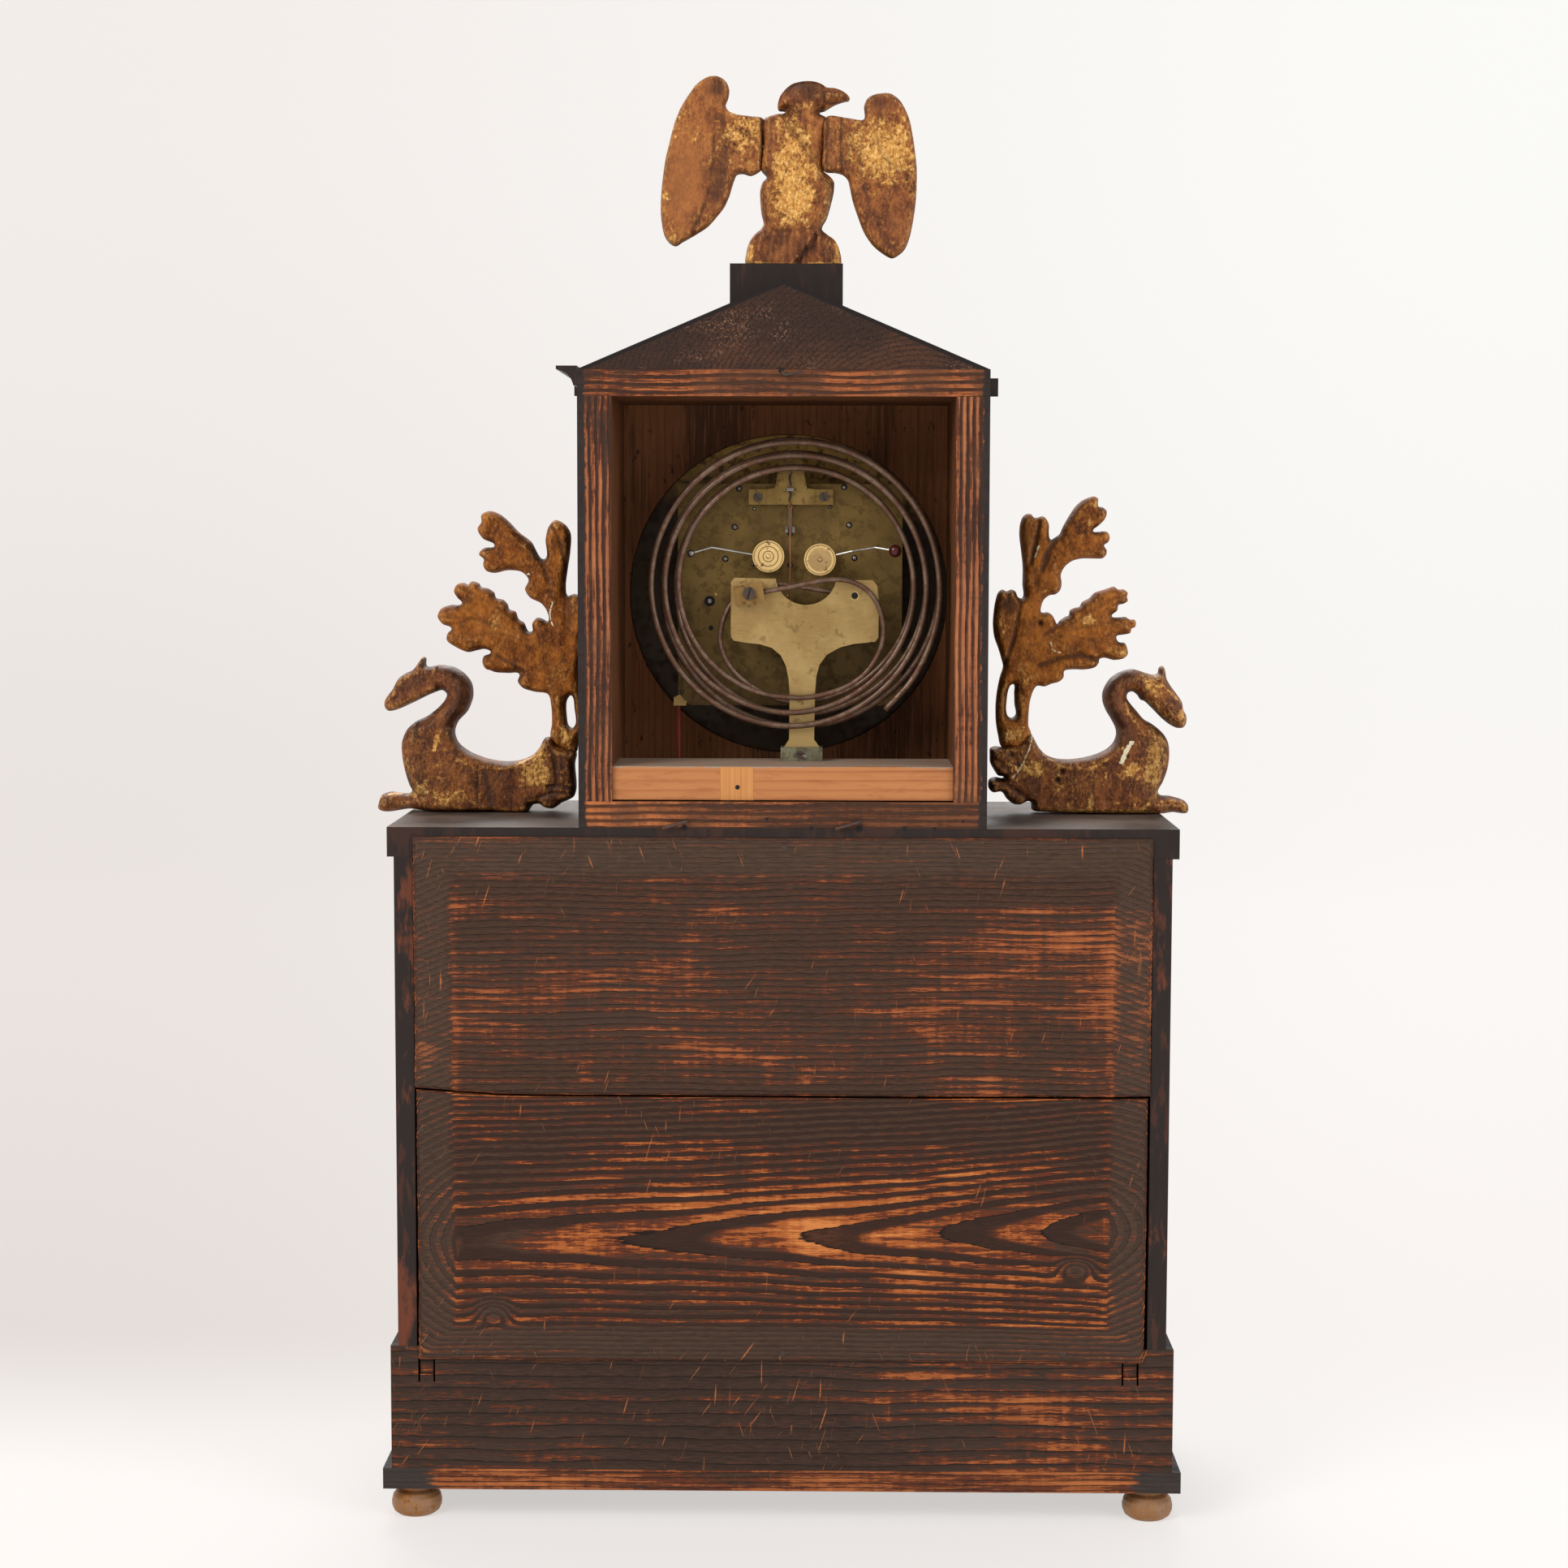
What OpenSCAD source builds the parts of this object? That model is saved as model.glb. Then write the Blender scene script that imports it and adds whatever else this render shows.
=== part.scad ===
// Portico mantel clock: ebonised pine case on bun feet, hood with pediment
// and gilded eagle, gilded swans with foliage, three-train spring movement
// with two coiled wire gongs. Millimetres. +Z up, the dial faces -Y, the open
// back faces +Y, origin on the floor under the middle of the case.

/* [Lower case] */
// Height of the bun feet
foot_h = 14.5; // [12:0.5:18]
// Width of the base board
base_w = 360; // [350:1:372]
// Depth from the base board's front edge to the back boards' face
case_d = 140; // [136:1:150]
// Thickness of the base board
base_t = 9.5; // [8:0.5:12]
// Height of the plinth boards with the plinth top
plinth_h = 56.5; // [50:0.5:64]
// Outer width of the carcass sides
body_w = 345; // [338:1:350]
// Height of the carcass between plinth and top board
body_h = 221.5; // [212:0.5:232]
// Thickness of the carcass side boards
side_t = 8.5; // [6:0.5:11]
// Thickness of the top board
top_t = 13.2; // [11:0.2:16]
// Thickness of the back boards in the raised field
back_t = 4; // [3.4:0.2:4.6]
// Width of the bevel round the back boards
bevel_w = 18; // [12:1:24]

/* [Portico] */
// Radius of a column shaft at its foot
column_r = 9.5; // [7:0.5:11]
// Distance of the column axes from the middle
column_x = 155; // [150:1:157]
// Half the width of the recess opening
recess_hw = 134; // [120:1:136]

/* [Hood] */
// Width of the hood
hood_w = 180.6; // [178:0.2:184]
// Height of the hood box
hood_h = 201.3; // [198:0.1:206]
// Thickness of the hood side boards
hood_side_t = 14.9; // [12:0.1:15]
// Thickness of the hood top and bottom boards
hood_rail_t = 11.7; // [10:0.1:13]
// Height of the pediment above the hood
ridge_h = 38.5; // [34:0.5:44]
// Radius of the round hole behind the dial
dial_hole_r = 74.5; // [74:0.1:75]
// Radius of the enamelled dial
dial_r = 69; // [66:0.5:70]

/* [Movement] */
// Thickness of the front and back plates
plate_t = 2; // [1.6:0.1:2.2]
// Radius of the gong wire
gong_wire_r = 1.3; // [1.2:0.05:1.9]
// Radius of the spring barrels
barrel_r = 13.2; // [11:0.2:13.2]
// Radius of the pendulum bob
bob_r = 8; // [6:0.5:8.5]
// Length of the silk and wire from the suspension to the middle of the bob
pend_len = 75; // [68:1:80]

/* [Ornaments] */
// Millimetres to one template unit of the eagle
eagle_u = 0.872; // [0.82:0.002:0.92]
// Millimetres to one template unit of the swans and foliage
swan_u = 1.036; // [1:0.002:1.05]
// Thickness of the swans
swan_t = 22; // [16:1:26]

/* [Hidden] */

// ---- levels and planes
z1 = foot_h;
z2 = z1 + base_t;
z3 = z2 + plinth_h;
z4 = z3 + body_h;
z5 = z4 + top_t;
z6 = z5 + hood_h;
z7 = z6 + ridge_h;
yb = case_d / 2;            // outermost back face
yr = yb - back_t;           // rear plane of plinth, carcass and hood
yf = -case_d / 2;           // front edge of the base board
hw = hood_w / 2;
hi = hw - hood_side_t;      // half the clear width of the hood
yd = yr - 94;               // front face of the dial board
yi = yd + 9;                // back face of the dial board
dx = -1.5;                  // dial axis
dz = z5 + 101.8;
gx = -5;                    // gong centre
gz = z5 + 106.8;
// planes of the movement, front to back
yp1 = yi - 1;               // back face of the front plate
yp0 = yp1 - plate_t;
yq0 = yp1 + 30;             // front face of the back plate
yq1 = yq0 + plate_t;
yg2 = yq1 + 10;             // wire plane of the rear gong
ys0 = yq1 + 13.5;           // gong stand plate
ys1 = ys0 + 3.5;
yg1 = ys1 + 3.5;            // wire plane of the front gong
wood = "#4a2414"; black = "#1b1614"; pine = "#b8743c"; gilt = "#a0672a";
brass = "#8a7434"; lbrass = "#b39a58"; steel = "#6a615c"; white = "#efece2";
$fn = 48;

// ---- helpers
module b3(x0, x1, y0, y1, z0, z1) translate([x0, y0, z0]) cube([x1 - x0, y1 - y0, z1 - z0]);
// flat outline seen from the back, first number to the right, second up
module seen(cx, cz, y0, t) translate([cx, y0, cz]) rotate([90, 0, 180]) linear_extrude(t) children();
module mv(a, b, y0, t) seen(dx - a, dz + b, y0, t) children();
module rod(a, b, y0, y1, r) mv(a, b, y0, y1 - y0) circle(r);
module hexrod(a, b, y0, y1, r) mv(a, b, y0, y1 - y0) circle(r, $fn = 6);

// tube swept along points that lie near a plane across Y
function unit(v) = v / norm(v);
function tang(p, i) = unit(p[min(i + 1, len(p) - 1)] - p[max(i - 1, 0)]);
module tube(p, r, k = 8) {
  m = len(p);
  pts = [for (i = [0:m - 1]) let (t = tang(p, i), n = unit(cross(t, [0, 1, 0])), b = cross(n, t))
    for (j = [0:k - 1]) p[i] + r * (cos(360 * j / k) * n + sin(360 * j / k) * b)];
  f = concat([[for (j = [0:k - 1]) j]],
    [for (i = [0:m - 2]) for (j = [0:k - 1]) [i * k + j, (i + 1) * k + j, (i + 1) * k + (j + 1) % k]],
    [for (i = [0:m - 2]) for (j = [0:k - 1]) [i * k + j, (i + 1) * k + (j + 1) % k, i * k + (j + 1) % k]],
    [[for (j = [k - 1:-1:0]) (m - 1) * k + j]]);
  polyhedron(pts, f);
}

// clock wheel: n teeth of module m, tooth centre at angle ph, plain bore of 12 flats
function tooth(n, m, ad, de, wt, wp, wr) = let (s = 360 / n, r = n * m / 2)
  [for (i = [0:n - 1]) for (q = [[-wr, r - de * m], [-wp, r], [-wt, r + ad * m], [wt, r + ad * m], [wp, r], [wr, r - de * m]])
    q[1] * [cos(s * (i + q[0])), sin(s * (i + q[0]))]];
module wheel(n, m, ph = 0, bore = 0, arms = 0) rotate(ph) difference() {
  polygon(tooth(n, m, 0.8, 1.25, 0.07, 0.17, 0.2));
  if (bore > 0) circle(bore, $fn = 12);
  if (arms > 0) for (i = [0:arms - 1]) rotate(i * 360 / arms + 180 / arms)
    let (ro = n * m / 2 - 2.6 * m - 1, ri = 3.4, h = 0.9, w = 180 / arms)
    polygon([for (c = [-1:0.5:1]) (ro) * [cos(c * (w - asin(h / ro))), sin(c * (w - asin(h / ro)))],
             for (c = [1:-1:-1]) (ri) * [cos(c * (w - asin(h / ri))), sin(c * (w - asin(h / ri)))]]);
}
module pinion(n, m, ph = 0, bore = 0) rotate(ph) difference() {
  polygon(tooth(n, m, 0.7, 1.15, 0.06, 0.14, 0.17));
  if (bore > 0) circle(bore, $fn = 12);
}
// phase of the second gear so that its gap faces the first gear's tooth
function mesh(n1, n2, be, p1) = be + 180 - (p1 - be) * n1 / n2 + 180 / n2;
function ang(p, q) = atan2(q[1] - p[1], q[0] - p[0]);

// ---- arbor positions, seen from the back, from the dial axis
C = [0, 0];
G = [0, -19.2];
T = [1.1, 13.906];
E = [1, 26.926];
A = [1, 45];
SL = [-31.2, -18.31];
PL = [-33, 0.4];
FL = [-28.6, 16.6];
function flip(p) = [2 - p[0], p[1]];
SR = flip(SL); PR = flip(PL); FR = flip(FL);
MW = [0, 12];
pil = [[-42, 44], [44, 44], [-41, -42], [43, -42]];
feet3 = [[-42, 36], [44, 36], [1, -46]];
hl = [-8.8, 17.8];
hr = [14.7, 16.4];

// ================= lower case
module bun_feet() color("#b58a5a")
  for (x = [-base_w / 2 + 13.5, base_w / 2 - 13.5], y = [yf + 15, yr - 13]) translate([x, y, 0])
    rotate_extrude() polygon([[0, 0], [8.6, 0], [10.4, 1.4], [11.3, 3.6], [11.4, 5.6], [10.8, 8.2], [9.2, 10.2],
      [7.2, 11.2], [7.4, 12.2], [9.6, 12.8], [9.8, foot_h], [0, foot_h]]);

module base_board() color(pine) difference() {
  b3(-base_w / 2, base_w / 2, yf, yr, z1, z2);
  translate([0, yf, z2]) rotate([0, 90, 0]) translate([0, 0, -base_w / 2 - 1]) linear_extrude(base_w + 2)
    polygon([[-1, -1], [3, -1], [3, 0], [1.8, 1.6], [0, 2.2], [-1, 2.2]]);
}

// shallow recess between two saw cuts, one at each end of the rear rail
module sockets() for (c = [-156.6, 159.8]) {
  b3(c - 3, c + 3, yr - 1.2, yr + 1, z3 - 12.8, z3 - 6);
  for (e = [-1, 1]) b3(c + e * 3.4 - 0.4, c + e * 3.4 + 0.4, yr - 8, yr + 1, z3 - 16.5, z3 - 6);
}

module plinth_boards() color(wood) {
  w = base_w / 2 - 4; w2 = w - 10;
  difference() {
    union() {
      b3(-w, w, yr - 12, yr, z2, z3 - 8);
      b3(-w, w, yf + 4, yf + 16, z2, z3 - 8);
    }
    sockets();
  }
  for (s = [-1, 1]) b3(s > 0 ? w2 : -w, s > 0 ? w : -w2, yf + 16, yr - 12, z2, z3 - 8);
  difference() {
    b3(-w, w, yf + 4, yr, z3 - 8, z3);
    sockets();
  }
}

module case_sides() color(black) for (s = [-1, 1])
  b3(s > 0 ? body_w / 2 - side_t : -body_w / 2, s > 0 ? body_w / 2 : -body_w / 2 + side_t, yf + 40, yr, z3, z4);

// front frame, entablature over the columns, cheeks and ceiling of the recess
cord_x = 49; cord_y = yq0 - 8;
module portico_frame() color(black) {
  difference() {
    b3(-body_w / 2, body_w / 2, yf + 32, yf + 40, z3, z4);
    b3(-recess_hw, recess_hw, yf + 31, yf + 41, z3 + 12, z4 - 34);
  }
  b3(-body_w / 2, body_w / 2, yf + 6, yf + 18, z4 - 26, z4);
  b3(-body_w / 2, body_w / 2, yf + 18, yf + 32, z4 - 26, z4 - 18);
  for (s = [-1, 1]) b3(s > 0 ? body_w / 2 - 8 : -body_w / 2, s > 0 ? body_w / 2 : -body_w / 2 + 8, yf + 18, yf + 32, z4 - 18, z4);
  for (s = [-1, 1]) b3(s > 0 ? recess_hw : -recess_hw - 5, s > 0 ? recess_hw + 5 : -recess_hw, yf + 40, yf + 92, z3, z4 - 29);
  difference() {
    b3(-recess_hw, recess_hw, yf + 40, yf + 92, z4 - 34, z4 - 29);
    translate([cord_x, cord_y, z4 - 35]) cylinder(h = 8, r = 4);
  }
  b3(-recess_hw, recess_hw, yf + 40, yf + 92, z3, z3 + 12);
}
module mirror_frame() color(gilt) difference() {
  b3(-recess_hw, recess_hw, yf + 84, yf + 92, z3 + 12, z4 - 34);
  b3(-recess_hw + 9, recess_hw - 9, yf + 83, yf + 93, z3 + 21, z4 - 43);
}
module mirror_glass() color("#b8c4c8") b3(-recess_hw + 9, recess_hw - 9, yf + 88, yf + 91, z3 + 21, z4 - 43);

module column_shafts() color("#d8cdb4") for (s = [-1, 1]) translate([s * column_x, yf + 19, z3 + 15])
  cylinder(h = body_h - 26 - 15 - 17, r1 = column_r, r2 = column_r - 1.3);
module column_mounts() color(gilt) for (s = [-1, 1]) translate([s * column_x, yf + 19, 0]) {
  translate([0, 0, z3]) {
    translate([-13, -13, 0]) cube([26, 26, 5]);
    translate([0, 0, 5]) rotate_extrude() polygon([[0, 0], [12.4, 0], [12.9, 1.6], [12.4, 3.2], [10.8, 4], [10.4, 5.4],
      [11, 6.4], [11.4, 7.6], [10.8, 9], [10, 10], [0, 10]]);
  }
  translate([0, 0, z4 - 26 - 17]) {
    rotate_extrude() polygon([[0, 0], [9.4, 0], [9.8, 1.2], [9.2, 2.2], [8.8, 3.4], [9.4, 6], [10.6, 9], [12.4, 12], [12.8, 13], [0, 13]]);
    translate([-13, -13, 13]) cube([26, 26, 4]);
  }
}

module case_top_board() color(black) difference() {
  b3(-body_w / 2 - 3, body_w / 2 + 3, yf + 4, yr, z4, z5);
  translate([cord_x, cord_y, z4 - 1]) cylinder(h = top_t + 2, r = 4);
}

// back boards, planted on the rear edges, thin at their bevelled margins
bx = 164; sp = z3 + 115;
module bevelled(pe, pf) hull() {
  seen(0, 0, yr, 1.8) polygon(pe);
  seen(0, 0, yr, back_t) polygon(pf);
}
module back_board_upper() color(wood) bevelled(
  [[-bx, sp + 2.6], [-bx, z5 - 3.8], [bx - 1, z5 - 4.4], [bx - 1, sp + 0.4], [-bx + 38, sp + 0.4]],
  [[-bx + bevel_w, sp + 2.6], [-bx + bevel_w, z5 - 4 - bevel_w], [bx - bevel_w, z5 - 4 - bevel_w], [bx - bevel_w, sp + 0.4], [-bx + 38, sp + 0.4]]);
module back_board_lower() color(wood) bevelled(
  [[-bx + 1, z3 - 6], [-bx + 1, sp - 0.4], [bx - 0.7, sp - 0.4], [bx - 0.7, z3 - 5.5]],
  [[-bx + 1 + bevel_w, z3 - 6 + bevel_w], [-bx + 1 + bevel_w, sp - 0.4], [bx - 1 - bevel_w, sp - 0.4], [bx - 1 - bevel_w, z3 - 6 + bevel_w]]);

// ================= hood
module hood_sides() color("#8a4a24") for (s = [-1, 1])
  b3(s > 0 ? hi : -hw, s > 0 ? hw : -hi, yi, yr, z5 + hood_rail_t, z6 - hood_rail_t);
module hood_rails() color("#9a5528") {
  b3(-hw, hw, yi, yr, z6 - hood_rail_t, z6);
  difference() {
    b3(-hw, hw, yd, yr, z5, z5 + hood_rail_t);
    translate([cord_x, cord_y, z5 - 1]) cylinder(h = hood_rail_t + 2, r = 4);
  }
}
module dial_board() color("#6b3018") difference() {
  b3(-hw, hw, yd, yi, z5 + hood_rail_t, z6);
  seen(dx, dz, yd - 1, 11) circle(dial_hole_r, $fn = 96);
}
module seat_block() color("#d09a62") difference() {
  b3(-hi, hi, yr - 50, yr - 2, z5 + hood_rail_t + 0.6, z5 + 27.2);
  translate([20, yr - 1, z5 + 18]) rotate([90, 0, 0]) cylinder(h = 12, r = 1.1);
}
prof = [[0, 0], [1.6, 0], [2, 1.4], [2.8, 3.2], [4.4, 5], [6.6, 6.2], [7.6, 6.5], [9.2, 7], [9.2, 8.5], [0, 8.5]];
module cornice() color(black) {
  translate([hw, yr, z6 - 7]) rotate([90, 0, 0]) linear_extrude(94) polygon(prof);
  translate([-hw - 9.2, yd, z6 - 7]) rotate([90, 0, 90]) mirror([1, 0, 0]) linear_extrude(2 * hw + 18.4) polygon(prof);
}
rs = ridge_h / hw;
module pediment() color(wood) {
  seen(0, 0, yd, 94) polygon([[-hw + 4.4, z6], [hw - 4.4, z6], [0, z7 - 1.9]]);
  for (s = [-1, 1]) seen(0, 0, yd, 94) polygon([[s * hw, z6], [s * (hw - 4.4), z6], [0, z7 - 1.9], [0, z7]]);
}
module finial_block() color(black) seen(0, 0, yr - 80, 50)
  polygon([[-24.4, z7 - 24.4 * rs], [0, z7], [26, z7 - 26 * rs], [26, z7 + 10], [-24.4, z7 + 10]]);

// ================= carved and gilded ornaments, drawn on a card template
eb = [[66.5, 34.5], [72, 31.8], [77.5, 30.5], [74, 29.5], [75.5, 23], [78, 18], [82.5, 15.6], [88, 14.8], [96, 16], [98.5, 18], [102, 18.3],
  [106, 19.5], [109, 21.5], [110.5, 23.5], [110, 24.8], [108.5, 25], [103, 26.8], [97.5, 30], [95, 31], [98.5, 33.5], [97, 48], [97.5, 61],
  [100, 63], [102.5, 66], [102.5, 71], [101, 78], [99, 85], [96.5, 90.5], [99, 93], [103, 96], [105.5, 101], [105.7, 109.4], [57.8, 109.4], [58, 101],
  [59.5, 96.5], [62, 93], [65.5, 90], [66.5, 88], [65.5, 83], [64.8, 76], [64.8, 70], [66, 66.5], [68, 64], [65.3, 60.5]];
wl = [[66.5, 34.5], [65.3, 60.5], [63.5, 62], [60, 63.5], [56, 62.5], [53, 63], [51.5, 66], [49, 74], [43, 84], [38, 89.5], [32, 93.5], [25, 97.5],
  [21.5, 99.5], [18.5, 98], [16, 94.5], [14, 84], [14, 75], [15, 64], [16.5, 54], [18.5, 46], [20.5, 38], [24.5, 28], [29, 21], [32, 17],
  [37, 13.5], [41.5, 12.5], [45.5, 13.8], [48, 16.5], [49, 20], [48.5, 24], [47.2, 28], [49, 30.5], [53, 32], [60, 33]];
wr = [[98.5, 33.5], [107.5, 33.6], [113, 34.5], [117.5, 34.6], [117.7, 28], [119, 24.5], [121.5, 22.5], [126, 21.4], [131, 21.5], [135.5, 24.5], [138.5, 29],
  [141, 35], [143, 45], [144.8, 60], [144.5, 75], [143, 87], [141, 96], [138.5, 101.5], [135, 104.5], [132.5, 105.6], [128, 103.5], [122.5, 99],
  [118, 92.5], [115, 85], [112, 76], [110.5, 69], [109.5, 65.5], [107, 63], [103.5, 62], [97.5, 61]];
function eg(p) = [for (q = p) [q[0] * 0.877 - 68, (109.4 - q[1]) * eagle_u * 0.993]];
module eagle_body() color(gilt) seen(0, z7 + 10, yr - 59, 24) polygon(eg(eb));
module eagle_wings() color(gilt) {
  seen(0, z7 + 10, yr - 47, 10) polygon(eg(wl));
  seen(0, z7 + 10, yr - 47, 10) polygon(eg(wr));
}

sw = [[7, 150], [7.5, 144.5], [11, 142.6], [22, 142], [20.8, 139], [18.3, 130], [17.6, 120], [20, 114], [24, 110.4], [29, 108], [34, 104.2], [37.5, 100.2], [38.2, 98],
  [36.4, 96.3], [32, 97.5], [23, 101.8], [15, 105.2], [12, 105.6], [10.4, 104], [10.3, 101], [14, 95.5], [16.5, 91], [23, 87], [26.5, 81.5], [28.3, 81.5], [29, 85.3],
  [35, 84.8], [41, 85.6], [46, 88.6], [49.3, 93], [49.9, 99], [47.5, 105.5], [43, 110.6], [41.6, 115], [43, 119.6], [48, 123.8], [56, 127], [64, 128.3], [71, 127.8],
  [77, 125.2], [80.2, 121.6], [82.5, 117.6], [85, 117.2], [88, 121], [96.5, 124], [96, 129], [95.5, 144], [90, 147], [86, 149.6], [82, 149], [80, 147.6], [77, 148],
  [74.5, 151], [58, 151], [30, 151], [22, 150]];
fo = [[85, 117.2], [85.6, 111], [85.3, 103], [84, 98], [78, 96.8], [72.5, 95], [70.3, 92], [71, 88.8], [60, 88], [56, 86.6], [54.4, 83.6], [55, 80.8], [58.2, 79],
  [55.5, 77.6], [52, 78.2], [48, 79], [43, 77], [38.4, 73.5], [38.8, 70.5], [40.6, 68.4], [36.6, 66.4], [34.4, 63], [36, 59.4], [40, 57.8], [45.4, 57], [43.4, 54.6],
  [41.8, 51.6], [43.4, 48.4], [46.4, 47.8], [49.6, 47.2], [53, 48.6], [56.2, 50], [59.6, 51.6], [62, 54.6], [65.4, 56.6], [68, 60], [70.4, 62.8], [72.6, 66], [76, 70],
  [77.4, 65.6], [80.2, 63.6], [84, 65], [83.4, 60], [81, 57], [76, 54.4], [73.8, 50.6], [75.4, 46.4], [72.4, 43], [66, 42.2], [60, 43.4], [56.4, 42.4], [55, 39.6],
  [53.2, 35], [55.4, 32.2], [60.2, 31.2], [55, 28], [52.6, 23.6], [54.4, 20.6], [54.4, 17.4], [58, 15.6], [62.6, 17], [67, 20.6], [71.4, 25.2], [76.6, 29.2], [82.6, 37],
  [83.2, 28], [84.6, 22.6], [87.6, 19.6], [92, 21.6], [94.4, 25.4], [94.2, 34], [93, 42], [92.2, 49], [93, 53.4], [96, 52.6], [100, 54.2], [103.2, 55], [103.2, 77],
  [99.6, 82], [98, 88], [99.4, 96], [100, 106], [99.6, 114], [97.6, 120], [96.5, 124], [88, 121]];
fs = [[94.4, 98.4], [92.6, 100.4], [92.4, 108], [93.2, 112], [94.8, 113], [96.2, 111.4], [95.8, 104], [95.2, 99.4]];
function st(p) = [for (q = p) [-(hw + 0.2 + (103.4 - q[0]) * swan_u), (151 - q[1]) * swan_u]];
module swans() color(gilt) for (s = [0, 1]) mirror([s, 0, 0])
  seen(0, z5, yr - 66 - swan_t, swan_t) polygon(st(sw));
module foliage_sprays() color(gilt) for (s = [0, 1]) mirror([s, 0, 0])
  seen(0, z5, yr - 66 - swan_t + 6, swan_t - 8) difference() { polygon(st(fo)); polygon(st(fs)); }

// ================= dial and bezel
module dial_back_plate() color(brass) mv(0, 0, yd - 1.2, 1.2) difference() {
  circle(80, $fn = 96);
  circle(3.5);
  for (p = [G, SL, SR]) translate(p) circle(3);
}
module enamel_dial() color(white) mv(0, 0, yd - 2.6, 1.4) difference() {
  circle(dial_r, $fn = 96);
  circle(3.5);
  for (p = [G, SL, SR]) translate(p) circle(3.2);
}
hx = dx - 85.3; hy = yd - 3.6;        // hinge axis of the bezel
module bezel_hinge() color(brass) {
  for (z = [-9, 4]) translate([hx, hy, dz + z]) difference() {
    cylinder(h = 5, r = 1.9);
    translate([0, 0, -1]) cylinder(h = 7, r = 0.8);
  }
  translate([hx, hy, dz - 9.6]) cylinder(h = 19.2, r = 0.8);
  for (z = [-9, 4]) b3(hx - 2.6, hx + 3.6, yd - 0.8, yd, dz + z, dz + z + 5);
  for (z = [-9, 4]) b3(hx - 0.5, hx + 0.5, hy + 1.8, yd - 0.8, dz + z, dz + z + 5);
}
module bezel() color("#c09a3e") {
  difference() {
    translate([dx, yd - 1.5, dz]) rotate([90, 0, 0]) rotate_extrude($fn = 96)
      polygon([[70, 0], [81, 0], [81.5, 1], [81.5, 3], [80.6, 4.4], [79, 5], [77.6, 6.8], [75, 8.4], [72.4, 9], [70.6, 9.6], [69.6, 9.2], [69.6, 8], [72, 8], [72, 6.6], [70, 6.6]]);
    translate([hx, hy, dz - 9.4]) cylinder(h = 18.8, r = 2.6);
  }
  difference() {
    union() {
      translate([hx, hy, dz - 3.7]) cylinder(h = 7.4, r = 1.9);
      b3(hx + 0.4, hx + 5.2, hy - 1.8, hy - 0.4, dz - 3.7, dz + 3.7);
    }
    translate([hx, hy, dz - 5]) cylinder(h = 10, r = 0.85);
  }
}
module bezel_glass() color("#dfe8ea") translate([dx, yd - 8.2, dz]) rotate([90, 0, 0]) cylinder(h = 1.2, r = 71.9, $fn = 96);

// ================= movement, fixed pieces
plate_o = [[-50.3, 50.8], [52.3, 50.8], [52.3, -45], [46.8, -50.4], [-44.8, -50.4], [-50.3, -45]];
module pivots(r) for (p = [C, T, E, PL, PR, FL, FR]) translate(p) circle(r);
module front_plate() color(brass) mv(0, 0, yp0, plate_t) difference() {
  polygon(plate_o);
  for (p = [T, E, PL, PR, FL, FR, A]) translate(p) circle(0.6);
  circle(1.36);
  for (p = [G, SL, SR]) translate(p) circle(1.85);
}
module back_plate() color(brass) mv(0, 0, yq0, plate_t) difference() {
  polygon(plate_o);
  for (p = [C, T, E, PL, PR, FL, FR]) translate(p) circle(0.6);
  for (p = [G, SL, SR]) translate(p) circle(1.05);
  translate(A) circle(0.86);
  for (p = [hl, hr]) translate(p) circle(1.06);
}
sl_x = -47.6;                          // repeat slide, seen from the back
module plate_pillars() color(lbrass) {
  for (p = pil) rod(p[0], p[1], yp1, yq0, 2.4);
  for (p = feet3) rod(p[0], p[1], yd, yp0, 2);
  rod(MW[0], MW[1], yd + 0.2, yp0, 0.85);
  for (b = [-41, -31]) {
    rod(sl_x, b, yq0 - 9.8, yq0, 0.8);
    rod(sl_x, b, yq0 - 10.4, yq0 - 9.8, 1.6);
  }
}
module suspension_cock() color(lbrass) {
  // feet of the bridge
  seen(gx, gz, yq1, 2.6) { translate([-21.4, 36.3]) square([8.2, 7]); translate([8.9, 36.3]) square([8.2, 7]); }
  // bridge and upright, standing off the plate for the crutch
  seen(gx, gz, yq1 + 1.6, 1.6) polygon([[-13.2, 36.3], [8.9, 36.3], [8.9, 43.3], [5.2, 43.8], [2.9, 55.4], [1.6, 58.4], [-0.8, 59.6],
    [-3.4, 59.6], [-5.6, 58.4], [-6.9, 55.4], [-9.6, 43.8], [-13.2, 43.3]]);
  // stud that the silk hangs from
  translate([dx - A[0], yq1 + 3.2, dz + 62]) rotate([-90, 0, 0]) cylinder(h = 2.2, r = 1.2);
}
stand_o = [[-29.1, -22], [-28.8, -23.7], [-27.8, -25.2], [-22.2, -26.1], [-15.8, -26.8], [-10.5, -28.4], [-6.4, -31.9], [-4.1, -36.6], [-2.9, -42.4], [-2.4, -48.9],
  [-2.6, -70], [-5, -73.6], [11.4, -73.6], [8.8, -70], [9.1, -48.9], [9.7, -41.3], [11.1, -36], [14.6, -31.3], [20.5, -28.1], [26.3, -26.6], [36.3, -25.5],
  [37.7, -23.7], [37.9, -8.5], [37.1, -0.3], [35.1, 2.3], [20.5, 2.1], [18.4, 1.2], [10, 3.4], [-8, 3.2], [-9.4, 2.8], [-27.4, 3.2], [-29, 1.4]];
module gong_stand() color(lbrass) {
  seen(gx, gz, ys0, ys1 - ys0) difference() {
    polygon(stand_o);
    translate([4.9, 4.9]) circle(13.9);
  }
  seen(gx, gz, ys0 - 5, ys1 - ys0 + 9) translate([-6.2, -(gz - z5 - 27.2)]) square([18.6, gz - z5 - 27.2 - 73.6]);
}
cf = [-20.7, -4]; cr = [27.8, -5.1];
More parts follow.
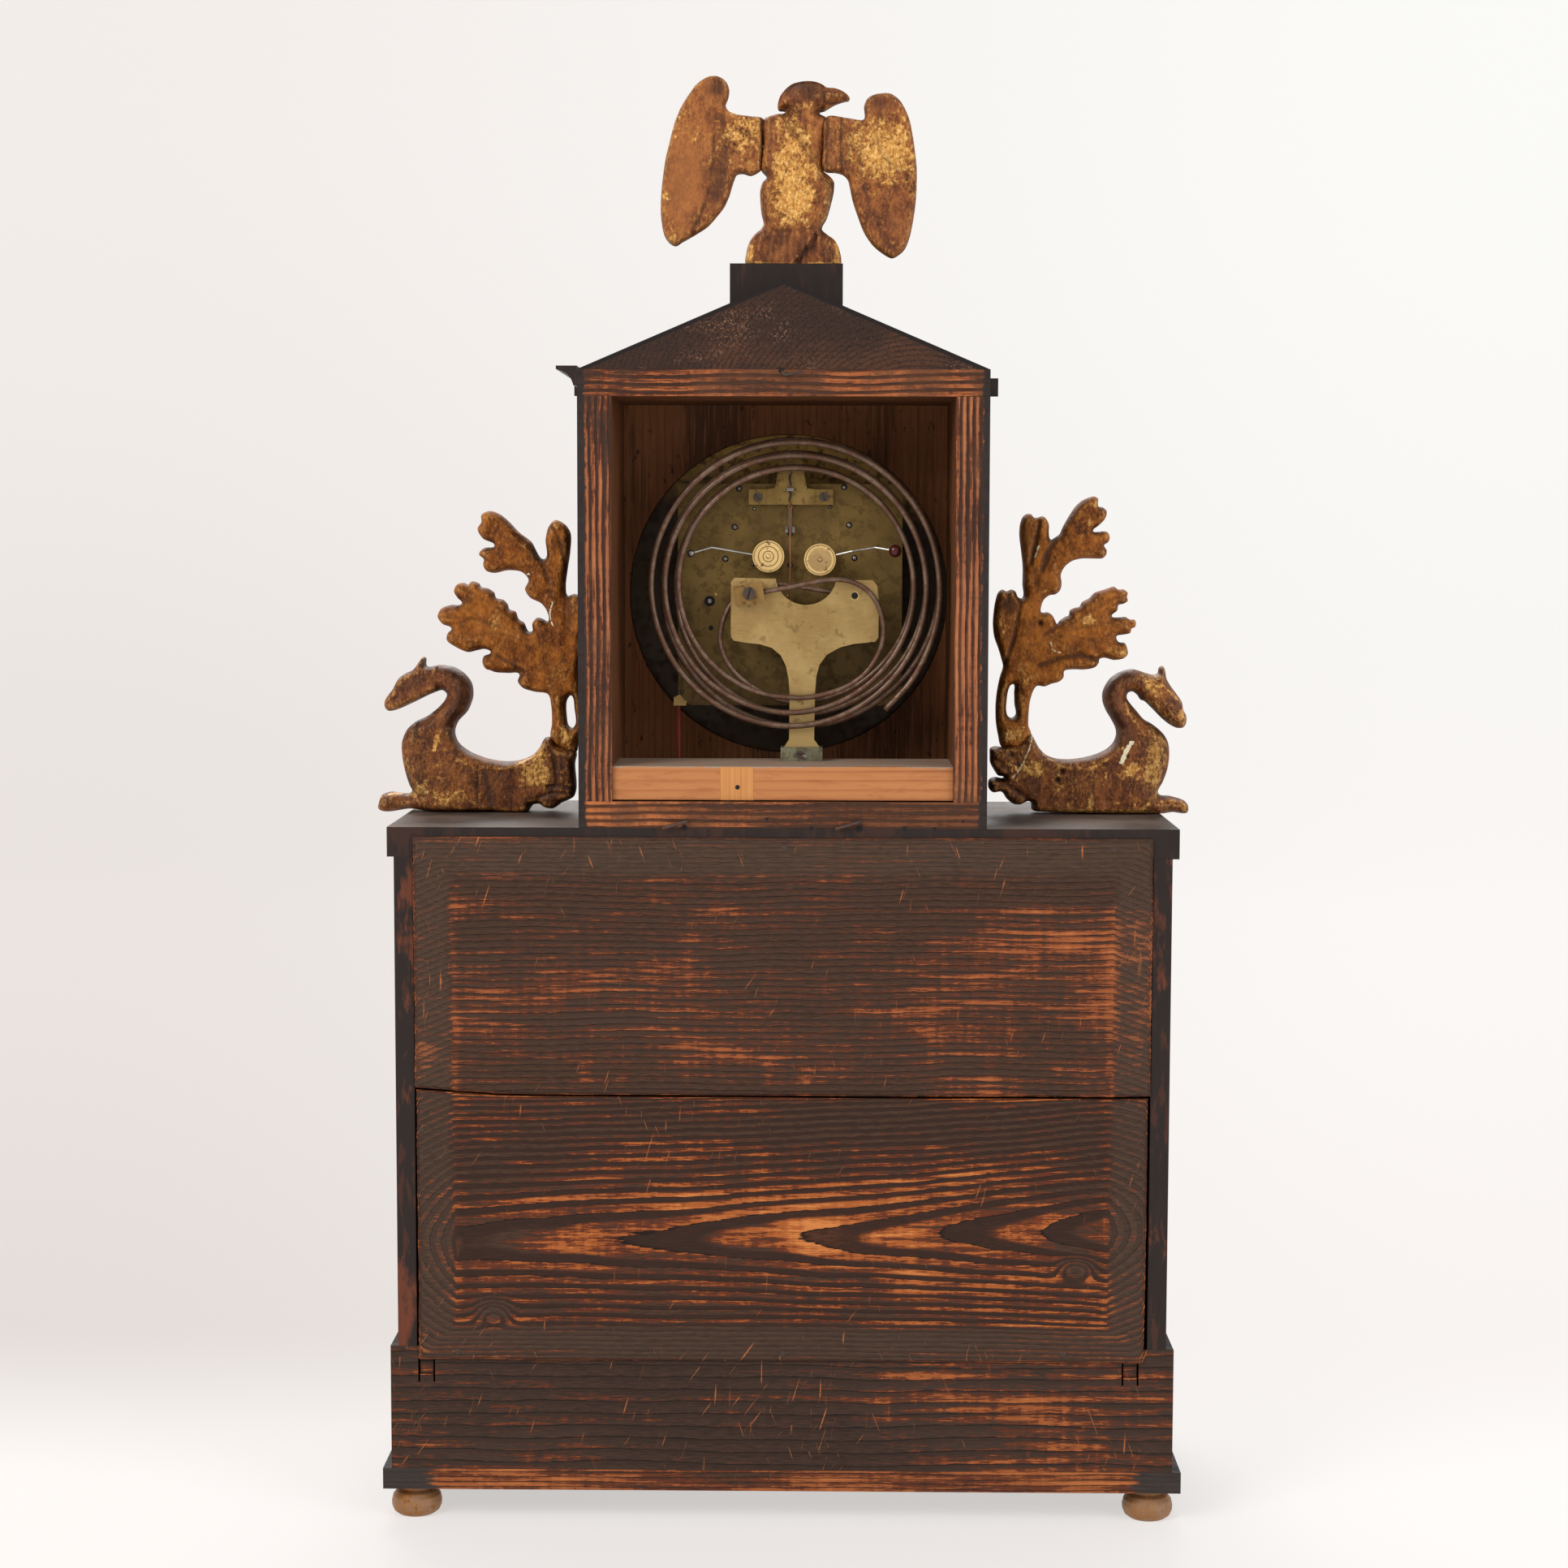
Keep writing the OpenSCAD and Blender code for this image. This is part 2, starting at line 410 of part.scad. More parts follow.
module gong_clamps() color("#7a6230") {
  seen(gx, gz, ys1, 6) translate(cf) rotate(8.9) translate([-6.6, -4.4]) square([13.2, 8.8]);
  seen(gx, gz, ys0 - 6, 6) translate(cr) rotate(-8.9) translate([-6.6, -4.4]) square([13.2, 8.8]);
}
module screw(a, b, y, r, h, t) {
  seen(gx, gz, y, h * 0.45) translate([a, b]) circle(r);
  seen(gx, gz, y + h * 0.45, h * 0.55) translate([a, b]) difference() {
    circle(r);
    rotate(t) translate([-0.45, -2 * r]) square([0.9, 4 * r]);
  }
}
module fasteners() color(steel) {
  screw(-17.2, 39.7, yq1 + 2.6, 2.1, 1.2, 40);
  screw(12.9, 39.9, yq1 + 2.6, 2.1, 1.2, 20);
  screw(cf[0], cf[1] + 0.2, ys1 + 6, 2.9, 1.6, -15);
  screw(2.6, -76.6, ys1 + 4, 1.8, 1, 80);
  // bent nails that once held the back cover of the hood
  for (q = [[42.6, z5 + 3, 1], [-33.9, z5 + 3, 1]]) {
    translate([q[0], yr, q[1]]) rotate([-90, 0, 0]) cylinder(h = 2.2, r = 0.8, $fn = 16);
    translate([q[0], yr + 2.2, q[1]]) rotate([0, q[2] * 106, 0]) cylinder(h = 11, r = 0.8, $fn = 16);
  }
  translate([-0.4, yr, z6 - 1.6]) rotate([-90, 0, 0]) cylinder(h = 2.8, r = 0.9, $fn = 16);
}

// gongs: clamp end by hand, then turns whose radius grows through the table
ga = [[-14.3, -3], [-9, -2.1], [-4, -1.2], [1, -0.2], [6, 0.9], [12, 2], [18, 2.5], [23, 2.2], [28, 0.6], [32.6, -2.4], [36.4, -7], [38.8, -12.6], [40, -19],
  [39.6, -25], [37.6, -31], [34, -37], [29.4, -41.8], [23.8, -45.4], [17, -48.2], [10, -50], [4.6, -50.7]];
gt = [[180, 50.8], [225, 51.6], [270, 52.6], [360, 52.4], [450, 53.4], [495, 55], [540, 57.6], [585, 58.6], [630, 58.8], [720, 58], [810, 59], [855, 61],
  [900, 63.7], [945, 64.8], [990, 65], [1080, 64], [1170, 65], [1200, 67], [1224, 69.5]];
ha = [[21.2, -4], [15, -3], [9, -2], [3, -1], [-3, -0.2], [-9, 0.4], [-15, 0.2], [-20.4, -1.2], [-25.4, -4.4], [-29.4, -9], [-32.4, -15], [-34, -21.6], [-33.8, -28],
  [-31.6, -34], [-28, -39.4], [-23, -44], [-17, -48], [-10.4, -51.2], [-4.6, -53]];
ht = [[180, 53.4], [270, 53.6], [360, 53.3], [450, 54], [495, 56.4], [540, 59.2], [630, 59.6], [720, 59.4], [810, 60], [855, 62], [900, 64.6], [990, 65.6], [1080, 65.2], [1140, 65.6]];
function coil(a, t, s, y) = concat([for (q = a) [gx - q[0], y, gz + q[1]]],
  [for (u = [180:14.5:t[len(t) - 1][0]]) let (r = lookup(u, t)) [gx - s * r * sin(u), y, gz + r * cos(u)]]);
module gong_front() color(steel) tube(coil(ga, gt, 1, yg1), gong_wire_r);
module gong_rear() color(steel) tube(coil(ha, ht, -1, yg2), gong_wire_r);

// ================= going train and hands
pC = 0;                                // tooth phase of the centre pinion and wheel
module arbor(p, segs) for (q = segs) rod(p[0], p[1], q[0], q[1], q[2]);
module centre_arbor() color(brass) {
  mv(0, 0, yp1 + 1, 2.8) pinion(12, 0.4, pC);
  mv(0, 0, yp1 + 23.6, 1.2) wheel(84, 0.31, pC, 0, 4);
  arbor(C, [[yp0 - 0.6, yp1 + 1, 1.3], [yp1 + 3.8, yp1 + 23.6, 1], [yp1 + 24.8, yq0, 1], [yq0, yq1, 0.55]]);
  mv(0, 0, yp0 - 3.4, 2.8) pinion(12, 0.5, pC);
  arbor(C, [[yd - 6.4, yp0 - 3.4, 1.9]]);
}
module minute_hand() color("#20242c") mv(0, 0, yd - 6.2, 0.7) rotate(-58) difference() {
  union() {
    circle(4.2);
    polygon([[-1.5, -14], [1.5, -14], [1.2, 0], [0.9, 40], [3, 46], [0, 56], [-3, 46], [-0.9, 40], [-1.2, 0]]);
  }
  circle(1.9);
}
module hour_hand() color("#20242c") {
  mv(0, 0, yd + 0.6, 1) wheel(40, 0.48, mesh(10, 40, -90, mesh(12, 36, 90, pC)), 3.1, 0);
  mv(0, 0, yd + 1.6, 0.5) difference() { circle(4.4); circle(1.98); }
  mv(0, 0, yd - 4.6, 6.2) difference() { circle(2.9); circle(1.98); }
  mv(0, 0, yd - 4.6, 0.7) rotate(55.2) difference() {
    union() {
      circle(4.8);
      polygon([[-1.5, 0], [-1.1, 24], [-4, 29], [0, 38], [4, 29], [1.1, 24], [1.5, 0]]);
    }
    circle(2.9);
  }
}
module minute_wheel() color(brass) {
  mv(MW[0], MW[1], yd + 3.4, 1.2) wheel(36, 0.5, mesh(12, 36, 90, pC), 0.96, 0);
  mv(MW[0], MW[1], yd + 0.4, 3) pinion(10, 0.48, mesh(12, 36, 90, pC), 0.96);
}
module drum(p, y0, y1) mv(p[0], p[1], y0, y1 - y0) difference() { circle(barrel_r); circle(1.86); }
module going_barrel() color(brass) {
  mv(G[0], G[1], yp1 + 1.4, 1.8) wheel(84, 0.4, mesh(12, 84, -90, pC), 1.98, 0);
  drum(G, yp1 + 3.2, yp1 + 21.2);
}
pT = mesh(84, 6, ang(C, T), pC);
module third_wheel() color(brass) {
  mv(T[0], T[1], yp1 + 22.8, 2.8) pinion(6, 0.31, pT);
  mv(T[0], T[1], yp1 + 12, 1.1) wheel(78, 0.31, pT, 0, 4);
  arbor(T, [[yp1, yp1 + 12, 0.5], [yp1 + 13.1, yp1 + 22.8, 0.5], [yp1 + 25.6, yq0, 0.5], [yp0, yp1, 0.54], [yq0, yq1, 0.54]]);
}
pE = mesh(78, 6, ang(T, E), pT);
module escape_wheel() color(brass) {
  mv(E[0], E[1], yp1 + 11.2, 2.7) pinion(6, 0.31, pE);
  mv(E[0], E[1], yp1 + 19, 1) difference() {
    polygon([for (i = [0:35]) each [9.5 * [cos(10 * i), sin(10 * i)], 7.9 * [cos(10 * i + 2), sin(10 * i + 2)], 7.9 * [cos(10 * i + 9), sin(10 * i + 9)]]]);
    for (i = [0:3]) rotate(90 * i + 45) translate([4.2, 0]) circle(1.6, $fn = 8);
  }
  arbor(E, [[yp1, yp1 + 11.2, 0.5], [yp1 + 13.9, yp1 + 19, 0.5], [yp1 + 20, yq0, 0.5], [yp0, yp1, 0.54], [yq0, yq1, 0.54]]);
}
// anchor and crutch; the silk, wire and bob of the pendulum
module anchor() color(steel) {
  mv(A[0], A[1], yp1 + 18.6, 1.8) polygon([[-2.4, 1.6], [2.4, 1.6], [5.4, -1.6], [8.6, -7.4], [8.4, -9.6], [7.4, -9.8], [6.4, -7.6], [3.4, -3], [0, -1.8],
    [-3.4, -3], [-6.4, -7.6], [-7.4, -9.8], [-8.4, -9.6], [-8.6, -7.4], [-5.4, -1.6]]);
  arbor(A, [[yp0, yp1, 0.54], [yp1, yp1 + 18.6, 0.8], [yp1 + 20.4, yq1 + 0.4, 0.8]]);
  mv(A[0], A[1], yq1 + 0.4, 0.8) polygon([[-1.4, 1.2], [1.4, 1.2], [0.8, -3], [0.8, -13.6], [2.2, -13.6], [2.2, -16.4], [-2.2, -16.4], [-2.2, -13.6], [-0.8, -13.6], [-0.8, -3]]);
  mv(A[0], A[1], yq1 + 1.2, 4) for (s = [-1, 1]) translate([s * 1.6 - 0.5, -16.4]) square([1, 2.4]);
}
yn = yq1 + 4.2;                        // plane of the pendulum
module pendulum() color("#a8683c") {
  px = dx - A[0]; pz = dz + 60;
  b3(px - 0.3, px + 0.3, yn - 0.15, yn + 0.15, pz - 20, pz + 0.5);
  translate([px, yn, pz - pend_len + bob_r - 0.5]) cylinder(h = pend_len - bob_r - 19.5, r = 0.5, $fn = 24);
  // knot that turns at the stud
  translate([px, yn - 0.8, pz]) rotate([-90, 0, 0]) cylinder(h = 1.6, r = 0.6);
  translate([px, yn - 1.4, pz - pend_len]) rotate([-90, 0, 0]) cylinder(h = 2.8, r = bob_r);
  translate([px, yn, pz - pend_len - bob_r - 2.4]) cylinder(h = 2.6, r = 1.3, $fn = 24);
}

// ================= striking trains
module strike_barrel(p, q, ph) color(brass) {
  mv(p[0], p[1], yp1 + 26, 1.6) wheel(84, 0.4, mesh(10, 84, ang(q, p), ph), 1.98, 0);
  drum(p, yp1 + 6.5, yp1 + 26);
}
module pin_wheel(q, f, ph) color(brass) {
  mv(q[0], q[1], yp1 + 1.6, 1.2) wheel(88, 0.35, ph, 0, 4);
  mv(q[0], q[1], yp1 + 25.4, 2.8) pinion(10, 0.4, ph);
  for (i = [0:7]) hexrod(q[0] + 13 * cos(45 * i), q[1] + 13 * sin(45 * i), yp1 + 2.8, yp1 + 5.6, 0.5);
  arbor(q, [[yp1, yp1 + 1.6, 0.9], [yp1 + 2.8, yp1 + 25.4, 0.9], [yp1 + 28.2, yq0, 0.9], [yp0, yp1, 0.54], [yq0, yq1, 0.54]]);
}
module fly(q, f, ph) color(lbrass) {
  mv(f[0], f[1], yp1 + 0.6, 3.2) pinion(8, 0.35, mesh(88, 8, ang(q, f), ph));
  for (s = [-1, 1]) mv(f[0], f[1], yp1 + 12, 12) translate([s > 0 ? 0.4 : -6.5, -0.2]) square([6.1, 0.4]);
  arbor(f, [[yp1 + 0.1, yp1 + 0.6, 0.7], [yp1 + 3.8, yq0 - 0.1, 0.7], [yp0, yp1 + 0.1, 0.54], [yq0 - 0.1, yq1, 0.54]]);
}
module hour_barrel() strike_barrel(SL, PL, 0);
module hour_pin_wheel() pin_wheel(PL, FL, 0);
module hour_fly() fly(PL, FL, 0);
module quarter_barrel() strike_barrel(SR, PR, 0);
module quarter_pin_wheel() pin_wheel(PR, FR, 0);
module quarter_fly() fly(PR, FR, 0);
module winder(p) color(steel) {
  arbor(p, [[yp0, yq0, 1.8], [yq0, yq1, 1]]);
  mv(p[0], p[1], yd - 3, yp0 - yd + 3) translate([-1.25, -1.25]) square(2.5);
}
module winding_arbor_going() winder(G);
module winding_arbor_hour() winder(SL);
module winding_arbor_quarter() winder(SR);

// ================= hammers
function gp(a, b, y) = [gx - a, y, gz + b];
module seg(p, q, r) {
  v = q - p; l = norm(v);
  translate(p) rotate([0, acos(v[2] / l), atan2(v[1], v[0])]) translate([0, 0, -0.15]) cylinder(h = l + 0.3, r = r, $fn = 16);
}
module hub(a, b) {
  seen(gx, gz, yq1 + 6.2, 2.4) translate([a, b]) circle(7.2);
  seen(gx, gz, yq1 + 0.8, 5.4) translate([a, b]) circle(2.4);
  seen(gx, gz, yq0 - 2.6, 5.4) translate([a, b]) circle(1);
}
module wire(w) for (i = [0:len(w) - 2]) seg(w[i], w[i + 1], 0.55);
module hammer_left() color(lbrass) {
  hub(-12.3, 12.8);
  wire([gp(-18, 13.4, yq1 + 7.4), gp(-38, 16.9, yq1 + 8.2), gp(-47, 14.3, yg2 - 0.2)]);
  translate(gp(-47.4, 14.1, yg2)) sphere(1.8, $fn = 32);
}
module hammer_right() color(lbrass) {
  hub(11.2, 11.4);
  wire([gp(17.8, 13.4, yq1 + 7.4), gp(26, 15.3, yq1 + 10.6), gp(36, 17, yq1 + 17), gp(45, 15.5, yg1)]);
  translate(gp(45, 15.5, yg1)) sphere(2.9, $fn = 32);
}

// ================= repeat slide and its pull cord
module repeat_slider() color(lbrass) mv(sl_x, -41, yq0 - 9.5, 3) difference() {
  polygon([[-2.3, -5], [-5.2, -6.4], [-5.2, -10.2], [0.4, -10.2], [2.3, -5], [2.3, 21.6], [-2.3, 21.6]]);
  hull() { circle(0.9); translate([0, 18.6]) circle(0.9); }
}
// the cord hangs straight from the slide, through the hood floor, the top board and the recess ceiling
cz0 = dz - 41 - 10.2; cord_len = 118;
cord_path = [for (i = [0:10]) [cord_x, cord_y, cz0 - cord_len * i / 10]];
module pull_cord() color("#8c1420") {
  k = 8; r = 0.6; p = cord_path; m = len(p);
  pts = [for (i = [0:m - 1]) for (j = [0:k - 1]) p[i] + r * [cos(360 * j / k), -sin(360 * j / k), 0]];
  f = concat([[for (j = [0:k - 1]) j]],
    [for (i = [0:m - 2]) for (j = [0:k - 1]) [i * k + j, (i + 1) * k + j, (i + 1) * k + (j + 1) % k, i * k + (j + 1) % k]],
    [[for (j = [k - 1:-1:0]) (m - 1) * k + j]]);
  polyhedron(pts, f);
}
module pull_knob() color(gilt) translate([cord_x, cord_y, cz0 - cord_len - 16]) rotate_extrude()
  polygon([[0, 0], [1.6, 0], [2.6, 1], [3.4, 2.4], [4.8, 5], [5.2, 8], [4.4, 11], [2.6, 13], [2.2, 14], [2.4, 15], [1.6, 16], [0, 16]]);

// ================= show
bun_feet();
base_board();
plinth_boards();
case_sides();
portico_frame();
mirror_glass();
mirror_frame();
column_shafts();
column_mounts();
case_top_board();
back_board_upper();
back_board_lower();
hood_sides();
hood_rails();
dial_board();
seat_block();
cornice();
pediment();
finial_block();
eagle_body();
eagle_wings();
swans();
foliage_sprays();
fasteners();
dial_back_plate();
enamel_dial();
bezel_hinge();
bezel();
bezel_glass();
front_plate();
back_plate();
plate_pillars();
suspension_cock();
gong_stand();
gong_clamps();
gong_front();
gong_rear();
minute_hand();
centre_arbor();
hour_hand();
minute_wheel();
going_barrel();
third_wheel();
escape_wheel();
anchor();
pendulum();
hour_barrel();
hour_pin_wheel();
hour_fly();
quarter_barrel();
quarter_pin_wheel();
quarter_fly();
winding_arbor_going();
winding_arbor_hour();
winding_arbor_quarter();
hammer_left();
hammer_right();
repeat_slider();
pull_cord();
pull_knob();
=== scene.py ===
import bpy, bmesh, math, random
import numpy as np
from mathutils import Quaternion, Vector, Matrix


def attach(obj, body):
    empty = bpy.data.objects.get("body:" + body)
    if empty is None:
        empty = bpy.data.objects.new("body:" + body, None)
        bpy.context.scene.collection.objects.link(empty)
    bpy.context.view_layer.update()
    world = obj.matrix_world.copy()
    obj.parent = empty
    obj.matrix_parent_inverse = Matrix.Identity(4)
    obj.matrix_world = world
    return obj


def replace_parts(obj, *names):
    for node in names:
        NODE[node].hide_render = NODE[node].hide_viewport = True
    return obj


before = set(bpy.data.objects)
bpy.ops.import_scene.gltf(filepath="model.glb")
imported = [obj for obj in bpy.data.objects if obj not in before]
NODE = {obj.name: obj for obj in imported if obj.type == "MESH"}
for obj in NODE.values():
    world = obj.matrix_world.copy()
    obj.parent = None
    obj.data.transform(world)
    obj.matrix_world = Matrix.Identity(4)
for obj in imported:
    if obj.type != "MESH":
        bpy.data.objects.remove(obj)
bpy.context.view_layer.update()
MM = 0.001
random.seed(7)

# ------------------------------------------------------------------ camera
cam = bpy.data.cameras.new("camera")
cam.lens, cam.sensor_width, cam.sensor_fit = 65.217, 36.0, "HORIZONTAL"
cam.clip_start, cam.clip_end = 0.05, 50
camera = bpy.data.objects.new("camera", cam)
bpy.context.scene.collection.objects.link(camera)
psi, th = math.radians(0.75), math.radians(4.92)
look = Vector((math.sin(psi) * math.cos(th), -math.cos(psi) * math.cos(th), -math.sin(th)))
camera.location = (-0.016, 1.316, 0.4425)
camera.rotation_euler = (look.to_track_quat("-Z", "Y") @ Quaternion((0, 0, 1), 0.0021)).to_euler()
cam.shift_x = 0.0014
bpy.context.scene.camera = camera


# ------------------------------------------------------------------ node helper
class NT:
    def __init__(self, name):
        self.mat = bpy.data.materials.new(name)
        self.mat.use_nodes = True
        self.t = self.mat.node_tree
        self.t.nodes.clear()
        self.out = self.t.nodes.new("ShaderNodeOutputMaterial")
        self.b = self.t.nodes.new("ShaderNodeBsdfPrincipled")
        self.t.links.new(self.b.outputs[0], self.out.inputs[0])
        self._p = None

    def put(self, sock, v):
        if v is None:
            return
        if isinstance(v, bpy.types.NodeSocket):
            self.t.links.new(v, sock)
        elif sock.type == "RGBA" and not hasattr(v, "__len__"):
            sock.default_value = (v, v, v, 1)
        elif sock.type == "RGBA":
            sock.default_value = tuple(v) if len(v) == 4 else (*v, 1)
        elif sock.type == "VECTOR" and not hasattr(v, "__len__"):
            sock.default_value = (v, v, v)
        else:
            sock.default_value = v

    def n(self, kind, **props):
        node = self.t.nodes.new("ShaderNode" + kind)
        for k, v in props.items():
            setattr(node, k, v)
        return node

    def m(self, op, a, b=None, c=None, clamp=False):
        x = self.n("Math", operation=op, use_clamp=clamp)
        for i, v in enumerate((a, b, c)):
            self.put(x.inputs[i], v)
        return x.outputs[0]

    def add(self, a, b): return self.m("ADD", a, b)
    def sub(self, a, b): return self.m("SUBTRACT", a, b)
    def mul(self, a, b): return self.m("MULTIPLY", a, b)

    def lin(self, *terms):
        """sum of k * socket; a bare number is a constant"""
        acc = None
        for t in terms:
            v = self.mul(t[1], t[0]) if isinstance(t, tuple) else t
            acc = v if acc is None else self.add(acc, v)
        return acc

    def xyz(self):
        """object coordinates in millimetres: x, y, z"""
        if self._p is None:
            tc = self.n("TexCoord")
            s = self.n("VectorMath", operation="SCALE")
            self.t.links.new(tc.outputs["Object"], s.inputs[0])
            s.inputs["Scale"].default_value = 1000
            q = self.n("SeparateXYZ")
            self.t.links.new(s.outputs[0], q.inputs[0])
            self._p = (q.outputs[0], q.outputs[1], q.outputs[2], s.outputs[0])
        return self._p

    def vec(self, x, y, z):
        c = self.n("CombineXYZ")
        for i, v in enumerate((x, y, z)):
            self.put(c.inputs[i], v)
        return c.outputs[0]

    def sv(self, sx, sy, sz, ox=0.0, oy=0.0, oz=0.0):
        """object coordinates scaled per axis, for stretched noise"""
        mp = self.n("Mapping")
        self.t.links.new(self.xyz()[3], mp.inputs[0])
        mp.inputs["Scale"].default_value = (sx, sy, sz)
        mp.inputs["Location"].default_value = (ox, oy, oz)
        return mp.outputs[0]

    def noise(self, v, scale=1.0, detail=2.0, rough=0.5, dist=0.0):
        x = self.n("TexNoise")
        self.put(x.inputs["Vector"], v)
        x.inputs["Scale"].default_value = scale
        x.inputs["Detail"].default_value = detail
        x.inputs["Roughness"].default_value = rough
        x.inputs["Distortion"].default_value = dist
        return x.outputs[0]

    def voro(self, v, scale=1.0, feature="F1", rnd=1.0, out="Distance"):
        x = self.n("TexVoronoi", feature=feature)
        self.put(x.inputs["Vector"], v)
        x.inputs["Scale"].default_value = scale
        x.inputs["Randomness"].default_value = rnd
        return x.outputs[out]

    def mapr(self, x, a, b, c=0.0, d=1.0, smooth=True):
        r = self.n("MapRange", interpolation_type="SMOOTHSTEP" if smooth else "LINEAR")
        self.put(r.inputs[0], x)
        for i, v in enumerate((a, b, c, d)):
            self.put(r.inputs[1 + i], v)
        return r.outputs[0]

    def ramp(self, f, stops, interp="LINEAR"):
        r = self.n("ValToRGB")
        r.color_ramp.interpolation = interp
        e = r.color_ramp.elements
        while len(e) < len(stops):
            e.new(0.5)
        for i, (p, c) in enumerate(stops):
            e[i].position = p
            e[i].color = (*c, 1) if hasattr(c, "__len__") else (c, c, c, 1)
        self.put(r.inputs[0], f)
        return r.outputs[0]

    def mix(self, f, a, b, mode="MIX"):
        x = self.n("Mix", data_type="RGBA", blend_type=mode)
        self.put(x.inputs[0], f)
        self.put(x.inputs[6], a)
        self.put(x.inputs[7], b)
        return x.outputs[2]

    def mixf(self, f, a, b):
        x = self.n("Mix", data_type="FLOAT")
        self.put(x.inputs[0], f)
        self.put(x.inputs[2], a)
        self.put(x.inputs[3], b)
        return x.outputs[0]

    def attr(self, name, out="Color"):
        a = self.n("Attribute", attribute_name=name)
        return a.outputs[out]

    def bump(self, h, dist, strength=1.0, normal=None):
        b = self.n("Bump")
        b.inputs["Distance"].default_value = dist
        b.inputs["Strength"].default_value = strength
        self.put(b.inputs["Height"], h)
        if normal is not None:
            self.put(b.inputs["Normal"], normal)
        return b.outputs[0]

    def soft_edge(self, r):
        b = self.n("Bevel", samples=4)
        b.inputs[0].default_value = r
        return b.outputs[0]

    def done(self, color=None, rough=None, metal=None, normal=None, **more):
        self.put(self.b.inputs["Base Color"], color)
        self.put(self.b.inputs["Roughness"], rough)
        self.put(self.b.inputs["Metallic"], metal)
        self.put(self.b.inputs["Normal"], normal)
        for k, v in more.items():
            self.put(self.b.inputs[k.replace("_", " ")], v)
        return self.mat


def srgb(r, g, b):
    f = lambda c: (c / 255) / 12.92 if c / 255 <= 0.04045 else (((c / 255) + 0.055) / 1.055) ** 2.4
    return (f(r), f(g), f(b))


# ------------------------------------------------------------------ materials
def axes(nt, along):
    x, y, z, p = nt.xyz()
    return {"x": (x, y, z), "y": (y, x, z), "z": (z, x, y)}[along]


def stretch(nt, along, a, c, o=0.0):
    s = {"x": (a, c, c), "y": (c, a, c), "z": (c, c, a)}[along]
    return nt.sv(*s, o, o * 0.7, o * 1.3)


def wood(name, along, field, early, late, dark, wear=(0.45, 0.6), late_at=(0.55, 0.9), late_amt=0.8, warp=3.0, warp_s=0.012,
         patch=(0.006, 0.03), rough=(0.5, 0.65), relief=0.00012, scratch=0.35, seed=0.0, extra=None, early2=None, bias=None, fine=0.5, lines=1.0):
    """Wood under a worn stain. field(nt) gives the ring count; along is the grain's direction."""
    nt = NT(name)
    x, y, z, p = nt.xyz()
    wv = nt.noise(stretch(nt, along, warp_s * 0.35, warp_s, seed), 1, 3, 0.55)
    F = nt.add(field(nt), nt.mul(nt.sub(wv, 0.5), warp))
    rag = nt.noise(stretch(nt, along, 0.06, 0.9, seed + 3), 1, 3, 0.6)
    F = nt.add(F, nt.mul(nt.sub(rag, 0.5), 0.16))
    saw = nt.m("FRACT", F)
    L = nt.mul(nt.mul(nt.mapr(saw, late_at[0], late_at[1]), nt.mapr(saw, 0.965, 1.0, 1.0, 0.0)), lines)
    fib = nt.noise(stretch(nt, along, 0.03, 2.6, seed + 11), 1, 3, 0.6)
    fib2 = nt.noise(stretch(nt, along, 0.012, 0.55, seed + 17), 1, 4, 0.62)
    pat = nt.noise(stretch(nt, along, patch[0], patch[1], seed + 23), 1, 4, 0.6)
    base = nt.mix(fib2, early, early2 or tuple(c * 0.62 for c in early))
    col = nt.mix(nt.mul(L, late_amt), base, late)
    w0 = nt.lin((1.0, pat), (0.42, fib2), (0.12 * fine, fib), -0.27 - 0.06 * fine, (-0.12, L))
    if bias is not None:
        w0 = nt.add(w0, bias(nt))
    W = nt.mapr(w0, wear[0], wear[1])
    W = nt.mul(W, nt.m("SUBTRACT", 1.0, nt.mul(L, 0.55)))
    dk = nt.mix(fib, tuple(c * 0.75 for c in dark), tuple(min(1, c * 1.3) for c in dark))
    dk = nt.mix(nt.mul(L, 0.55), dk, tuple(c * 0.45 for c in dark))
    col = nt.mix(W, dk, col)
    if scratch:
        a1 = nt.n("VectorRotate", rotation_type="Y_AXIS")
        nt.put(a1.inputs["Vector"], p)
        a1.inputs["Angle"].default_value = 0.32
        m1 = nt.n("Mapping")
        nt.put(m1.inputs[0], a1.outputs[0])
        m1.inputs["Scale"].default_value = (1.7, 0.2, 0.07)
        s1 = nt.noise(m1.outputs[0], 1, 2, 0.5)
        gate = nt.noise(nt.sv(0.018, 0.018, 0.03, seed + 31), 1, 2, 0.5)
        S = nt.mul(nt.mapr(s1, 0.66, 0.74), nt.mapr(gate, 0.5, 0.62))
        col = nt.mix(nt.mul(S, scratch), col, tuple(min(1, c * 1.15) for c in early))
    if extra is not None:
        col = extra(nt, col, W, L)
    r = nt.lin((rough[1] - rough[0], nt.mixf(W, fib, 0.8)), rough[0])
    h = nt.lin((1.0, L), (0.55, fib), (0.5, W))
    return nt.done(col, r, 0.0, nt.bump(h, relief, 0.8, nt.soft_edge(0.0006)), Specular_IOR_Level=0.12)


def plane(ax, s, off=0.0, tilt=0.0):
    def f(nt):
        x, y, z, p = nt.xyz()
        main = {"x": x, "y": y, "z": z}[ax]
        other = y if ax != "y" else z
        return nt.lin((1 / s, main), (tilt / s, other), off)
    return f


def rings(ax1, ax2, c1, c2, s, k2=1.0):
    def f(nt):
        x, y, z, p = nt.xyz()
        d = {"x": x, "y": y, "z": z}
        a, b = nt.sub(d[ax1], c1), nt.mul(nt.sub(d[ax2], c2), k2)
        return nt.mul(nt.m("SQRT", nt.add(nt.mul(a, a), nt.mul(b, b))), 1 / s)
    return f


